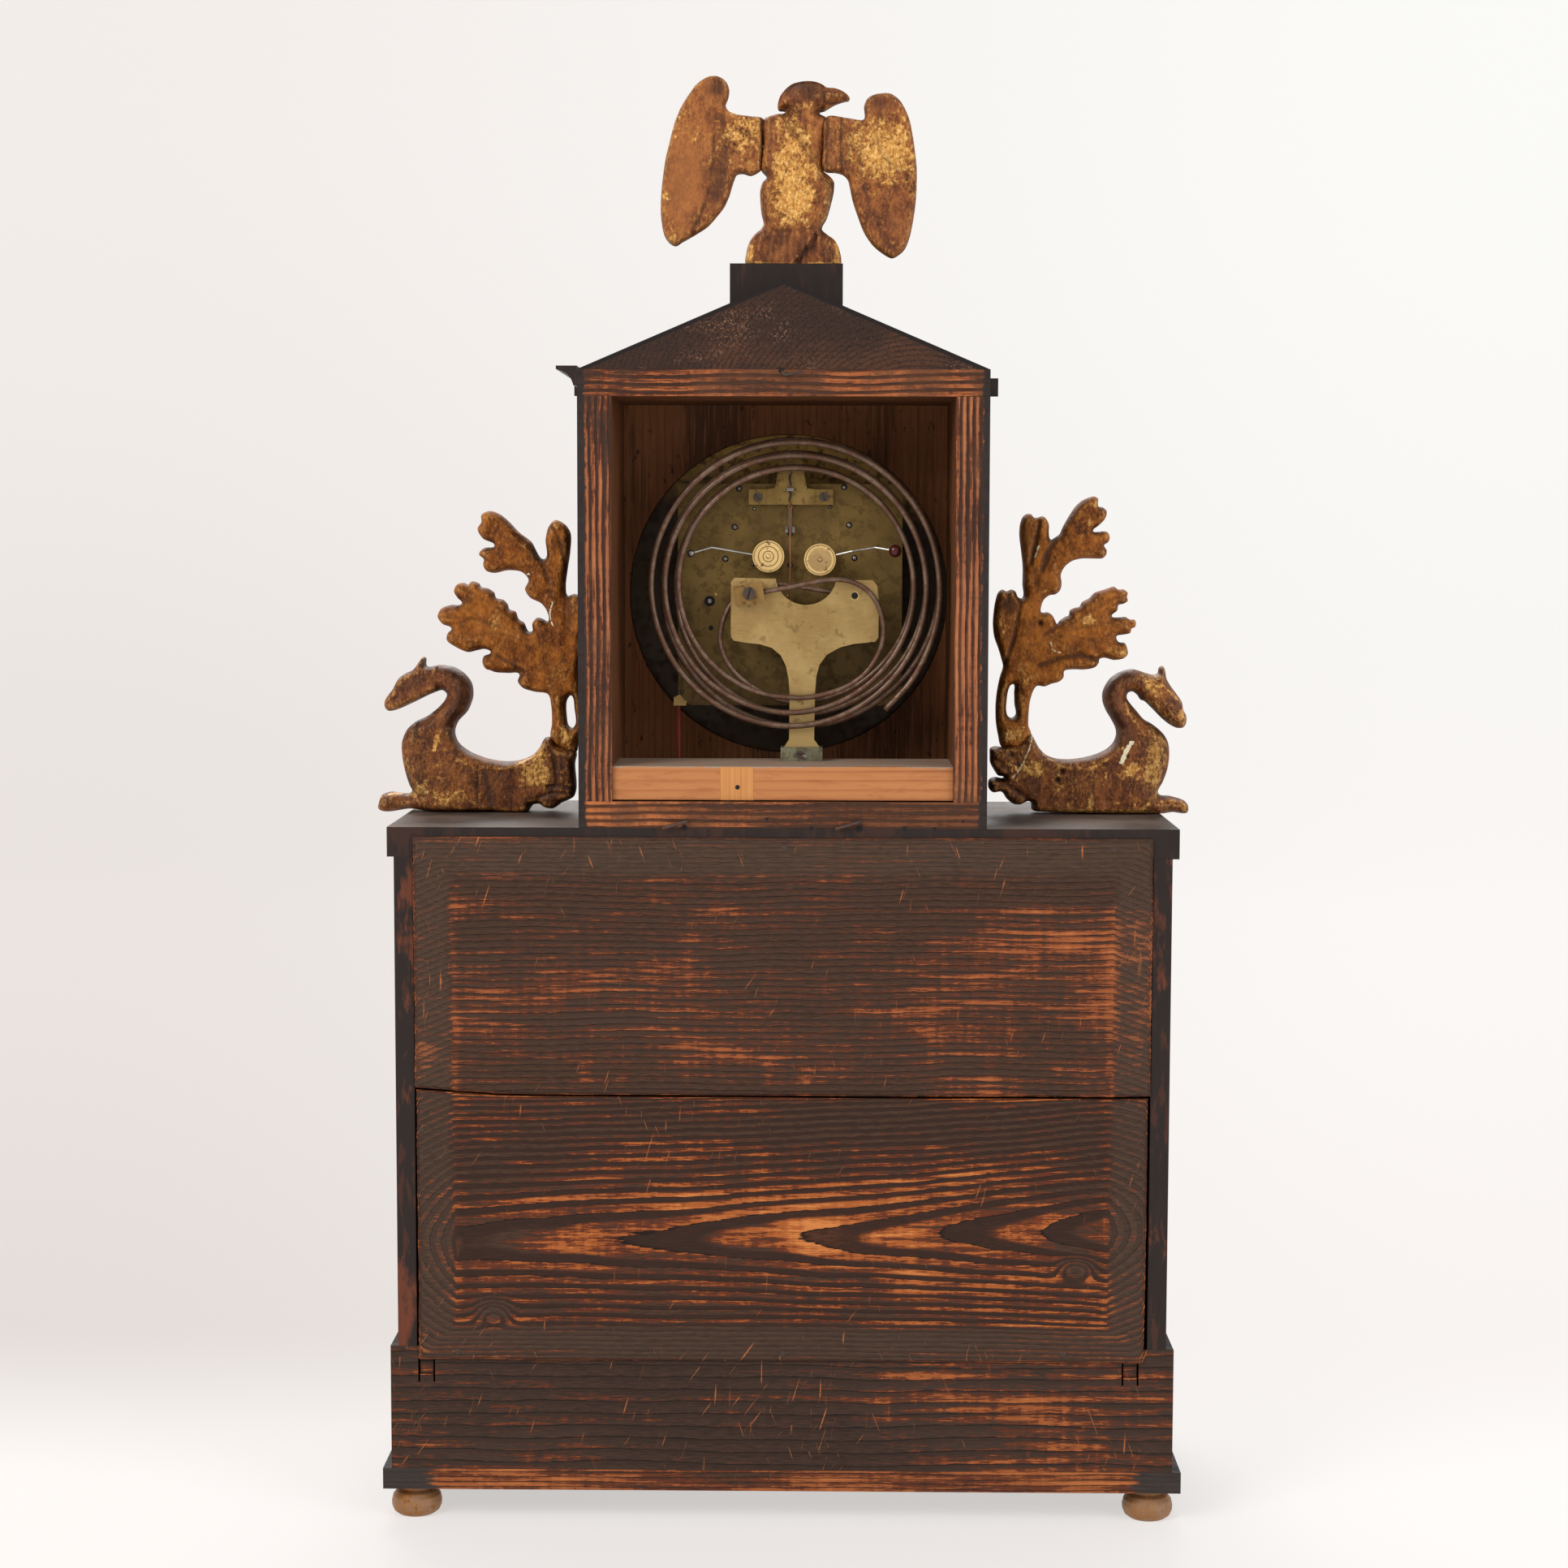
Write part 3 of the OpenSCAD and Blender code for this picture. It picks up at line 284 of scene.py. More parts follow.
ORANGE, BRIGHT, BROWN = srgb(168, 92, 46), srgb(196, 120, 66), srgb(104, 50, 26)
STAIN, BLACK, LINE = srgb(60, 42, 34), srgb(31, 25, 23), srgb(38, 24, 18)
RED = srgb(120, 52, 24)


def upper_field(nt):
    x, y, z, p = nt.xyz()
    depth = nt.sub(66 + 4.0, y)
    return nt.lin((1 / 3.1, z), (3.6 / 3.1, depth), (0.0035, x))


def lower_field(nt):
    x, y, z, p = nt.xyz()
    depth = nt.sub(66 + 4.0, y)
    fa = nt.lin((0.0150, x), (-0.000038, nt.mul(x, x)), 2.2 + 44 / 3.3 - 3.08)
    d = nt.add(nt.mul(fa, 3.3), nt.mul(depth, 5.5))
    dz = nt.sub(z, 134.0)
    kx, kz = nt.sub(x, -132.0), nt.sub(z, 121.5)
    knot = nt.m("EXPONENT", nt.mul(nt.add(nt.mul(kx, kx), nt.mul(nt.mul(kz, kz), 1.6)), -0.011))
    kx2, kz2 = nt.sub(x, 129.0), nt.sub(z, 101.5)
    knot2 = nt.m("EXPONENT", nt.mul(nt.add(nt.mul(kx2, kx2), nt.mul(nt.mul(kz2, kz2), 1.2)), -0.012))
    r = nt.m("SQRT", nt.add(nt.mul(d, d), nt.mul(dz, dz)))
    return nt.lin((1 / 3.3, r), (1.7, knot), (1.1, knot2))


def margin_bias(nt):
    x, y, z, p = nt.xyz()
    return nt.mapr(nt.sub(70.0, y), 0.15, 0.9, 0.0, -0.10)


def lower_bias(nt):
    x, y, z, p = nt.xyz()
    dz, dx = nt.mul(nt.sub(z, 134.0), 1 / 26.0), nt.mul(nt.add(x, 30.0), 1 / 125.0)
    e = nt.m("EXPONENT", nt.mul(nt.add(nt.mul(dz, dz), nt.mul(nt.mul(dx, dx), nt.mul(dx, dx))), -1.0))
    return nt.add(nt.mul(e, 0.26), margin_bias(nt))


M = {}
M["back_upper"] = wood("back_upper", "x", upper_field, ORANGE, LINE, STAIN, wear=(0.455, 0.59), warp=1.6, warp_s=0.02, patch=(0.009, 0.09),
                       rough=(0.5, 0.7), bias=margin_bias, seed=1.0, early2=RED, scratch=0.5)
M["back_lower"] = wood("back_lower", "x", lower_field, ORANGE, LINE, STAIN, wear=(0.44, 0.58), late_at=(0.42, 0.56), late_amt=0.95, warp=0.9,
                       warp_s=0.025, patch=(0.009, 0.035), rough=(0.45, 0.66), bias=lower_bias, seed=5.0, early2=RED, scratch=0.6)
M["plinth"] = wood("plinth", "x", plane("z", 3.4, 0.3, 0.4), ORANGE, LINE, srgb(52, 35, 28), wear=(0.52, 0.64), warp=2.4, warp_s=0.016, patch=(0.008, 0.07),
                   rough=(0.5, 0.68), seed=9.0, early2=RED, scratch=0.5)
M["base"] = wood("base", "x", plane("z", 2.1, 0.3, 0.3), srgb(172, 98, 50), LINE, srgb(70, 38, 22), wear=(0.28, 0.42), warp=1.2, warp_s=0.012,
                 rough=(0.45, 0.6), seed=12.0, early2=srgb(120, 58, 28), scratch=0.2)
M["hood_side"] = wood("hood_side", "z", plane("x", 3.0, 0.2, 0.5), srgb(176, 98, 56), srgb(64, 34, 24), srgb(70, 40, 30), wear=(0.30, 0.46),
                      late_at=(0.5, 0.8), warp=2.2, warp_s=0.01, rough=(0.5, 0.65), seed=21.0, early2=srgb(120, 60, 36), scratch=0.0)
M["hood_rail"] = wood("hood_rail", "x", plane("z", 3.2, 0.1, 0.4), srgb(172, 96, 52), srgb(56, 30, 20), srgb(62, 36, 26), wear=(0.36, 0.5),
                      warp=2.0, warp_s=0.012, rough=(0.5, 0.65), seed=25.0, early2=srgb(116, 56, 32), scratch=0.1)
def facing(nt):
    g = nt.n("NewGeometry")
    q = nt.n("SeparateXYZ")
    nt.t.links.new(g.outputs["Normal"], q.inputs[0])
    return q.outputs


def black_front(nt, col, lim=-0.5):
    """show faces stay black; only the rear is bare wood"""
    b = nt.noise(nt.sv(0.25, 0.25, 0.06, 57), 1, 3, 0.6)
    a = nt.noise(nt.sv(0.02, 0.02, 0.03, 58), 1, 5, 0.62)
    skin = nt.mix(nt.mul(nt.mapr(nt.lin((1.0, a), (0.35, b), -0.17), 0.55, 0.63), 0.16), nt.mix(b, BLACK, srgb(44, 33, 29)), srgb(96, 50, 33))
    return nt.mix(nt.mapr(facing(nt)[1], lim, lim + 0.2), skin, col)


def dial_board_extra(nt, col, W, L):
    f = nt.noise(nt.sv(1.3, 1.3, 0.04, 70), 1, 3, 0.65)
    s = nt.noise(nt.sv(0.35, 0.35, 0.16, 71), 1, 4, 0.7)
    col = nt.mix(nt.mul(nt.mapr(f, 0.5, 0.68), 0.5), col, srgb(156, 104, 72))
    return black_front(nt, nt.mix(nt.mul(nt.mapr(s, 0.62, 0.68), 0.8), col, srgb(34, 20, 14)))


M["dial_board"] = wood("dial_board", "z", plane("x", 3.6, 0.4, 0.3), srgb(148, 98, 58), srgb(90, 56, 34), srgb(84, 53, 33), wear=(0.30, 0.5),
                       warp=2.0, warp_s=0.01, rough=(0.55, 0.7), seed=29.0, early2=srgb(106, 58, 36), scratch=0.0, late_amt=0.5, lines=0.3, extra=dial_board_extra)
def seat_extra(nt, col, W, L):
    x, y, z, p = nt.xyz()
    d = nt.noise(nt.sv(0.06, 0.2, 0.3, 80), 1, 4, 0.65)
    col = nt.mix(nt.mul(nt.mapr(d, 0.5, 0.68), 0.45), col, srgb(150, 88, 56))
    top = nt.mapr(nt.add(z, nt.mul(nt.sub(d, 0.5), 3.4)), 341.6, 342.3)
    return nt.mix(nt.mul(top, 0.9), col, nt.mix(nt.noise(nt.sv(1.2, 1.2, 1.2, 81), 1, 3, 0.6), srgb(120, 100, 84), srgb(176, 160, 144)))


M["seat"] = wood("seat", "x", plane("z", 4.2, 0.1, 0.5), srgb(184, 124, 78), srgb(158, 98, 58), srgb(140, 84, 50), wear=(0.2, 0.4),
                 warp=2.2, warp_s=0.006, rough=(0.6, 0.75), seed=33.0, early2=srgb(170, 110, 68), scratch=0.0, late_amt=0.6, lines=0.4, extra=seat_extra)
def roof_extra(nt, col, W, L):
    x, y, z, p = nt.xyz()
    pit = nt.noise(nt.sv(1.4, 1.4, 1.4, 60), 1, 3, 0.7)
    big = nt.noise(nt.sv(0.05, 0.05, 0.09, 61), 1, 4, 0.6)
    col = nt.mix(nt.mul(nt.mapr(pit, 0.5, 0.62), 0.7), col, srgb(28, 21, 19))
    col = nt.mix(nt.mul(nt.mapr(pit, 0.44, 0.36), nt.mapr(big, 0.5, 0.65)), col, srgb(128, 96, 76))
    top = nt.sub(555.0, nt.mul(nt.m("ABSOLUTE", x), 38.5 / 90.3))
    return black_front(nt, nt.mix(nt.mapr(nt.sub(top, z), 1.7, 2.2, 1.0, 0.0), col, srgb(34, 29, 28)))


M["roof"] = wood("roof", "x", rings("x", "z", -60.0, 470.0, 2.3), srgb(88, 58, 44), srgb(46, 31, 25), srgb(56, 40, 33), wear=(0.4, 0.62),
                 warp=1.5, warp_s=0.03, patch=(0.02, 0.02), rough=(0.55, 0.75), seed=37.0, scratch=0.3, relief=0.0003, extra=roof_extra, late_amt=0.8, lines=0.5)


def ebony(name, red=0.5, dust=0.0, seed=0.0, edge=0.0):
    nt = NT(name)
    x, y, z, p = nt.xyz()
    a = nt.noise(nt.sv(0.02, 0.02, 0.012, seed), 1, 5, 0.62)
    b = nt.noise(nt.sv(0.25, 0.25, 0.06, seed + 4), 1, 3, 0.6)
    W = nt.mapr(nt.lin((1.0, a), (0.35, b), -0.17), 0.53, 0.62)
    col = nt.mix(b, BLACK, srgb(44, 33, 29))
    W = nt.add(W, nt.mul(nt.mapr(b, 0.56, 0.64), 0.35))
    col = nt.mix(nt.mul(W, red), col, nt.mix(b, srgb(118, 62, 38), srgb(72, 38, 27)))
    r = nt.lin((0.25, b), 0.32)
    if dust:
        up = nt.n("NewGeometry")
        q = nt.n("SeparateXYZ")
        nt.t.links.new(up.outputs["Normal"], q.inputs[0])
        D = nt.mul(nt.mapr(q.outputs[2], 0.7, 0.95), nt.mul(nt.mapr(a, 0.3, 0.7), dust))
        col = nt.mix(D, col, srgb(132, 116, 104))
        r = nt.add(r, nt.mul(D, 0.4))
    h = nt.lin((1.0, b), (0.6, W))
    return nt.done(col, r, 0.0, nt.bump(h, 0.00012, 0.5, nt.soft_edge(0.0006)), Specular_IOR_Level=0.22)


M["ebony"] = ebony("ebony", 0.16, 0.6)
M["ebony_worn"] = ebony("ebony_worn", 1.0, 0.2, 8.0)
M["ebony_plain"] = ebony("ebony_plain", 0.12, 0.5, 16.0)


GILT_TONES = (srgb(62, 34, 22), srgb(104, 58, 30), srgb(138, 80, 38), srgb(168, 102, 50))


def gilt(name, gold_lo=0.5, gold_hi=0.62, bright=1.0, seed=0.0, painted=True, tones=GILT_TONES, coat=0.25):
    """Worn gold leaf over red-brown bole. The mesh's paint attribute says where gold, grime with painted shade in
    carved grooves and holes, and white chips lie.
    """
    nt = NT(name)
    n1 = nt.noise(nt.sv(0.055, 0.055, 0.055, seed), 1, 5, 0.68)
    n2 = nt.noise(nt.sv(0.42, 0.42, 0.42, seed + 5), 1, 4, 0.7)
    n3 = nt.noise(nt.sv(0.16, 0.16, 0.12, seed + 9), 1, 4, 0.6)
    n4 = nt.noise(nt.sv(1.6, 1.6, 1.6, seed + 2), 1, 2, 0.6)
    n6 = nt.noise(nt.sv(0.20, 0.24, 0.17, seed + 13), 1, 4, 0.72)
    g = nt.lin((0.36, n1), (0.60, n2), (0.55, n6), -0.255)
    if painted:
        q = nt.n("SeparateColor")
        nt.put(q.inputs[0], nt.attr("paint"))
        pg, pd, pw = q.outputs[0], q.outputs[1], q.outputs[2]
        g = nt.add(g, nt.mul(nt.sub(pg, 0.5), 0.44))
    G = nt.mapr(g, gold_lo, gold_hi)
    n5 = nt.noise(nt.sv(0.9, 0.9, 0.5, seed + 6), 1, 4, 0.7)
    bole = nt.ramp(n3, [(0.30, tones[0]), (0.46, tones[1]), (0.58, tones[2]), (0.76, tones[3])])
    bole = nt.mix(nt.mul(nt.mapr(n1, 0.4, 0.68), 0.6), bole, tones[1])
    bole = nt.mix(nt.mul(nt.mapr(n5, 0.5, 0.66), 0.45), bole, tones[3])
    bole = nt.mix(nt.mul(nt.mapr(n5, 0.46, 0.34), 0.6), bole, tones[0])
    if painted:
        tn = nt.attr("paint", "Alpha")
        bole = nt.mix(nt.mapr(tn, 0.5, 0.05, 0.0, 0.85, smooth=False), bole, nt.mix(n3, srgb(44, 26, 20), srgb(84, 50, 36)))
        bole = nt.mix(nt.mapr(tn, 0.5, 0.9, 0.0, 0.55, smooth=False), bole, tones[3])
    G2 = nt.mul(nt.mapr(g, gold_lo - 0.10, gold_lo + 0.02), nt.mapr(n5, 0.42, 0.56))
    col = nt.mix(nt.mul(G2, 0.5), bole, srgb(176, 114, 52))
    gold = nt.ramp(n5, [(0.3, srgb(150, 96, 42)), (0.48, srgb(196, 140, 70)), (0.60, srgb(222, 176, 104)), (0.74, srgb(244, 218, 164))])
    col = nt.mix(G, col, gold)
    speck = nt.mapr(n4, 0.62, 0.7)
    col = nt.mix(nt.mul(speck, 0.35), col, srgb(60, 34, 22))
    # darkening from the second paint channel: grime, with painted shade in carved grooves and holes; then white chips
    if painted:
        col = nt.mix(nt.mul(pd, 0.85), col, nt.mix(n2, srgb(38, 28, 24), srgb(74, 52, 40)))
        col = nt.mix(nt.mapr(nt.add(pw, nt.mul(nt.sub(n2, 0.5), 0.8)), 0.55, 0.62), col, srgb(226, 214, 180))
    # painted highlight: brighter gold laid on convex edges, found by the mesh's pointiness
    ge = nt.n("NewGeometry")
    edge = nt.mul(nt.mapr(ge.outputs["Pointiness"], 0.515, 0.56), nt.mapr(n5, 0.40, 0.60))
    col = nt.mix(nt.mul(edge, 0.5), col, srgb(206, 154, 88))
    # painted shade: the colour darkens in hollows, by ambient occlusion
    ao = nt.n("AmbientOcclusion", samples=5, only_local=True)
    ao.inputs["Distance"].default_value = 0.009
    hollow = nt.mapr(ao.outputs["AO"], 0.45, 0.97, 0.85, 0.0, smooth=False)
    col = nt.mix(hollow, col, tuple(c * 0.28 for c in tones[0]))
    metal = nt.mul(G, 0.35 * bright)
    r = nt.lin((-0.10, G), (0.22, n3), 0.48)
    if painted:
        r = nt.add(r, nt.mapr(tn, 0.5, 0.05, 0.0, -0.14, smooth=False))
        r = nt.add(r, nt.mul(pd, 0.15))
    chip = nt.n("TexVoronoi", feature="F1")
    nt.put(chip.inputs["Vector"], nt.vec(nt.lin((0.16, nt.xyz()[0]), (1.4, n3)), nt.mul(nt.xyz()[1], 0.1), nt.lin((0.05, nt.xyz()[2]), (0.9, n1))))
    chip.inputs["Scale"].default_value = 1.0
    h = nt.lin((0.6, n2), (0.45, G), (0.8, n3), (0.15, n4), (1.3, chip.outputs["Distance"]))
    return nt.done(col, r, metal, nt.bump(h, 0.0006, 0.8), Coat_Weight=coat, Coat_Roughness=0.3, Specular_IOR_Level=0.16)


M["gilt_eagle"] = gilt("gilt_eagle", 0.56, 0.67, seed=3.0, coat=0.0, tones=(srgb(70, 38, 24), srgb(112, 62, 34), srgb(142, 84, 44), srgb(172, 110, 60)))
M["gilt_swan"] = gilt("gilt_swan", 0.60, 0.70, seed=14.0, tones=(srgb(50, 27, 16), srgb(90, 48, 26), srgb(126, 72, 36), srgb(160, 102, 52)), coat=0.06)
M["gilt_leaf"] = gilt("gilt_leaf", 0.60, 0.71, seed=22.0, tones=(srgb(62, 29, 9), srgb(116, 61, 17), srgb(152, 86, 26), srgb(184, 114, 42)), coat=0.0)
M["gilt_frame"] = gilt("gilt_frame", 0.36, 0.5, seed=30.0, painted=False)


def metal(name, c1, c2, rough=(0.3, 0.5), spots=None, brush=None, met=1.0, seed=0.0, scale=0.06, bumpd=0.00003, shade=False, shade_below=False, **more):
    nt = NT(name)
    a = nt.noise(nt.sv(scale, scale, scale, seed), 1, 5, 0.65)
    b = nt.noise(nt.sv(0.8, 0.8, 0.8, seed + 2), 1, 3, 0.6)
    col = nt.mix(nt.mapr(a, 0.35, 0.68), c1, c2)
    r = nt.lin((rough[1] - rough[0], nt.mapr(a, 0.3, 0.7)), (0.08, b), rough[0] - 0.04)
    h = b
    if brush:
        br = nt.noise(nt.sv(*brush, seed), 1, 3, 0.6)
        h = nt.add(nt.mul(b, 0.3), br)
        r = nt.add(r, nt.mul(nt.sub(br, 0.5), 0.14))
        col = nt.mix(nt.mul(nt.mapr(br, 0.4, 0.7), 0.25), col, tuple(min(1, c * 1.25) for c in c2))
    if spots:
        s = nt.noise(nt.sv(0.22, 0.22, 0.22, seed + 7), 1, 4, 0.7)
        S = nt.mapr(s, spots[1], spots[1] + 0.08)
        col = nt.mix(nt.mul(S, spots[2]), col, spots[0])
        r = nt.add(r, nt.mul(S, 0.15))
    # painted shade: the plate darkens towards its bottom, deep in the hood
    if shade_below:
        x, y, z, p = nt.xyz()
        col = nt.mix(nt.mapr(nt.lin((1.0, z), (16.0, nt.sub(a, 0.5))), 372.0, 452.0, 0.5, 0.0), col, tuple(c * 0.25 for c in c1))
    if shade:
        x, y, z, p = nt.xyz()
        up = nt.mapr(nt.lin((1.0, z), (22.0, nt.sub(a, 0.5)), (-0.10, x)), 452.0, 478.0)
        col = nt.mix(nt.m("SUBTRACT", 1.0, up), col, nt.mix(a, srgb(30, 20, 12), srgb(74, 54, 30)))
    return nt.done(col, r, met, nt.bump(h, bumpd, 0.5), **more)


M["plate"] = metal("plate", srgb(100, 78, 38), srgb(128, 102, 54), (0.42, 0.6), (srgb(70, 52, 28), 0.50, 0.30), met=0.7, seed=2.0, scale=0.03, shade_below=True)
M["false_plate"] = metal("false_plate", srgb(150, 112, 48), srgb(196, 156, 78), (0.4, 0.55), (srgb(84, 60, 32), 0.50, 0.7), met=0.45, seed=6.0, scale=0.03, shade=True)
M["khaki"] = metal("khaki", srgb(160, 130, 80), srgb(178, 150, 98), (0.40, 0.5), (srgb(112, 88, 52), 0.58, 0.55), brush=(0.12, 1.0, 2.2), met=0.8, seed=9.0)
M["bright_brass"] = metal("bright_brass", srgb(214, 184, 112), srgb(232, 208, 142), (0.2, 0.34), (srgb(130, 96, 50), 0.62, 0.5), met=1.0, seed=12.0)
M["bronze"] = metal("bronze", srgb(128, 96, 54), srgb(150, 118, 70), (0.4, 0.55), (srgb(78, 58, 38), 0.55, 0.7), met=0.85, seed=15.0)
M["gong"] = metal("gong", srgb(92, 70, 56), srgb(124, 100, 82), (0.36, 0.48), (srgb(92, 54, 36), 0.48, 0.6), met=0.6, seed=18.0)
M["steel"] = metal("steel", srgb(120, 114, 108), srgb(150, 144, 138), (0.3, 0.45), (srgb(92, 62, 46), 0.55, 0.7), met=0.95, seed=21.0)
M["iron"] = metal("iron", srgb(70, 62, 58), srgb(92, 80, 72), (0.45, 0.6), (srgb(96, 60, 44), 0.5, 0.6), met=0.7, seed=24.0)
M["blued"] = metal("blued", srgb(24, 30, 58), srgb(34, 40, 76), (0.18, 0.26), met=1.0, seed=27.0)
M["wheels"] = metal("wheels", srgb(170, 140, 72), srgb(196, 168, 96), (0.3, 0.42), (srgb(110, 88, 48), 0.58, 0.5), met=1.0, seed=30.0)
M["gilt_brass"] = metal("gilt_brass", srgb(212, 168, 82), srgb(234, 196, 112), (0.2, 0.34), (srgb(140, 98, 46), 0.6, 0.55), met=1.0, seed=33.0)
M["copper"] = metal("copper", srgb(128, 84, 58), srgb(150, 104, 74), (0.35, 0.5), met=0.8, seed=36.0)
M["bright_steel"] = metal("bright_steel", srgb(176, 172, 164), srgb(206, 202, 194), (0.22, 0.34), (srgb(120, 96, 76), 0.6, 0.5), met=0.9, seed=45.0)
M["cock"] = metal("cock", srgb(122, 96, 50), srgb(150, 122, 68), (0.36, 0.5), (srgb(84, 62, 34), 0.54, 0.6), met=0.75, seed=41.0)
M["verdigris"] = metal("verdigris", srgb(96, 92, 70), srgb(126, 122, 96), (0.5, 0.65), (srgb(70, 62, 46), 0.52, 0.6), met=0.5, seed=44.0)
M["red_ball"] = metal("red_ball", srgb(58, 18, 14), srgb(92, 34, 26), (0.16, 0.28), met=0.3, seed=47.0)


def simple_materials():
    nt = NT("alabaster")
    v = nt.noise(nt.sv(0.03, 0.03, 0.018), 1, 5, 0.6, 1.2)
    v2 = nt.noise(nt.sv(0.16, 0.16, 0.05, 3), 1, 4, 0.6, 0.8)
    col = nt.ramp(nt.lin((0.6, v), (0.4, v2)), [(0.36, srgb(182, 150, 110)), (0.47, srgb(222, 206, 176)), (0.6, srgb(238, 228, 206))])
    M["alabaster"] = nt.done(col, 0.22, 0.0, nt.bump(v2, 0.00003, 0.3), Subsurface_Weight=0.15, Subsurface_Scale=0.004, Coat_Weight=0.3, Coat_Roughness=0.12)
    nt = NT("mirror_old")
    v = nt.noise(nt.sv(0.03, 0.03, 0.03, 5), 1, 5, 0.7)
    sp = nt.mapr(nt.voro(nt.sv(0.11, 0.11, 0.11, 2), 1), 0.06, 0.11, 1.0, 0.0)
    spot = nt.mul(sp, nt.mapr(v, 0.5, 0.62))
    M["mirror"] = nt.done(nt.mix(spot, srgb(206, 210, 208), srgb(86, 80, 72)), nt.lin((0.3, spot), (0.05, v), 0.02), 1.0)
    nt = NT("glass_clear")
    wv = nt.noise(nt.sv(0.02, 0.02, 0.02, 2), 1, 2, 0.5)
    M["glass"] = nt.done((0.96, 0.985, 0.98), 0.02, 0.0, nt.bump(wv, 0.0004, 0.15), Transmission_Weight=1.0, IOR=1.45)
    nt = NT("enamel")
    v = nt.noise(nt.sv(0.02, 0.02, 0.02, 4), 1, 4, 0.6)
    cr = nt.mapr(nt.voro(nt.sv(0.05, 0.05, 0.05, 1), 1, "DISTANCE_TO_EDGE"), 0.0, 0.006, 1.0, 0.0)
    hair = nt.mul(cr, nt.mapr(v, 0.56, 0.62))
    col = nt.mix(v, srgb(232, 228, 214), srgb(243, 240, 230))
    col = nt.mix(nt.mul(hair, 0.5), col, srgb(150, 138, 118))
    M["enamel"] = nt.done(col, 0.12, 0.0, nt.bump(v, 0.0003, 0.2), Coat_Weight=0.6, Coat_Roughness=0.05)
    nt = NT("ink")
    v = nt.noise(nt.sv(0.6, 0.6, 0.6), 1, 2, 0.5)
    M["ink"] = nt.done(nt.mix(v, (0.006, 0.006, 0.008), (0.02, 0.02, 0.024)), 0.2)
    nt = NT("silk_red")
    x, y, z, p = nt.xyz()
    # each strand lighter at its crown and darker in the twist's grooves: painted highlight and shade on the red silk
    tw = nt.m("FRACT", nt.lin((1 / 1.5, z), (0.6, nt.m("ARCTAN2", nt.sub(y, 2.0), nt.sub(x, 49.0)))))
    h = nt.m("SINE", nt.mul(tw, math.pi))
    M["silk"] = nt.done(nt.mix(h, srgb(96, 8, 16), srgb(186, 24, 36)), 0.6, 0.0, nt.bump(h, 0.00012, 0.9), Sheen_Weight=0.4)
    nt = NT("thread_dark")
    v = nt.noise(nt.sv(1.5, 1.5, 0.4), 1, 2, 0.5)
    M["thread"] = nt.done(nt.mix(v, (0.008, 0.007, 0.006), (0.04, 0.034, 0.03)), 0.8)
    nt = NT("foot_wood")
    a = nt.noise(nt.sv(0.06, 0.06, 0.06, 3), 1, 4, 0.6)
    b = nt.noise(nt.sv(0.5, 0.5, 0.15, 3), 1, 4, 0.65)
    g = nt.mapr(nt.lin((0.6, a), (0.5, b)), 0.5, 0.6)
    col = nt.mix(b, srgb(96, 62, 38), srgb(168, 124, 84))
    col = nt.mix(g, col, srgb(144, 94, 42))
    col = nt.mix(nt.mapr(b, 0.6, 0.7), col, srgb(82, 54, 36))
    M["foot"] = nt.done(col, nt.lin((0.2, b), 0.4), nt.mul(g, 0.3), nt.bump(b, 0.0002, 0.6))


simple_materials()

MATERIAL = dict(
    bun_feet="foot", base_board="base", plinth_boards="plinth", case_sides="ebony_worn", portico_frame="ebony", mirror_glass="mirror",
    mirror_frame="gilt_frame", column_shafts="alabaster", column_mounts="gilt_brass", case_top_board="ebony", back_board_upper="back_upper",
    back_board_lower="back_lower", hood_sides="hood_side", hood_rails="hood_rail", dial_board="dial_board", seat_block="seat", cornice="ebony_plain",
    pediment="roof", finial_block="ebony", eagle_body="gilt_eagle", eagle_wings="gilt_eagle", swans="gilt_swan", foliage_sprays="gilt_swan",
    fasteners="iron", dial_back_plate="false_plate", enamel_dial="enamel", bezel_hinge="gilt_brass", bezel="gilt_brass", bezel_glass="glass",
    front_plate="plate", back_plate="plate", plate_pillars="wheels", suspension_cock="cock", gong_stand="khaki", gong_clamps="bronze",
    gong_front="gong", gong_rear="gong", minute_hand="blued", centre_arbor="wheels", hour_hand="blued", minute_wheel="wheels",
    going_barrel="wheels", third_wheel="wheels", escape_wheel="wheels", anchor="steel", pendulum="copper", hour_barrel="wheels",
    hour_pin_wheel="wheels", hour_fly="wheels", quarter_barrel="wheels", quarter_pin_wheel="wheels", quarter_fly="wheels",
    winding_arbor_going="steel", winding_arbor_hour="steel", winding_arbor_quarter="steel", hammer_left="bright_brass",
    hammer_right="bright_brass", repeat_slider="khaki", pull_cord="silk", pull_knob="gilt_brass")


def dress():
    for n, m in MATERIAL.items():
        d = NODE[n].data
        d.materials.clear()
        d.materials.append(M[m])


def link(o):
    bpy.context.scene.collection.objects.link(o)
    return o


# ------------------------------------------------------------------ the pull cord
crv = bpy.data.curves.new("pull_cord_curve", "CURVE")
crv.dimensions = "3D"
crv.bevel_depth, crv.bevel_resolution, crv.use_fill_caps = 0.0006, 3, True
sp = crv.splines.new("POLY")
sp.points.add(19)
for i in range(20):
    sp.points[i].co = (0.049, 0.002, 0.3658 - 0.118 * i / 19, 1)
crv.materials.append(M["silk"])
pull = link(bpy.data.objects.new("pull_cord_rope", crv))
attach(pull, "repeat_slide")
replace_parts(pull, "pull_cord")
# ------------------------------------------------------------------ carved and gilded pieces
from mathutils.geometry import delaunay_2d_cdt
from mathutils import noise as mnoise


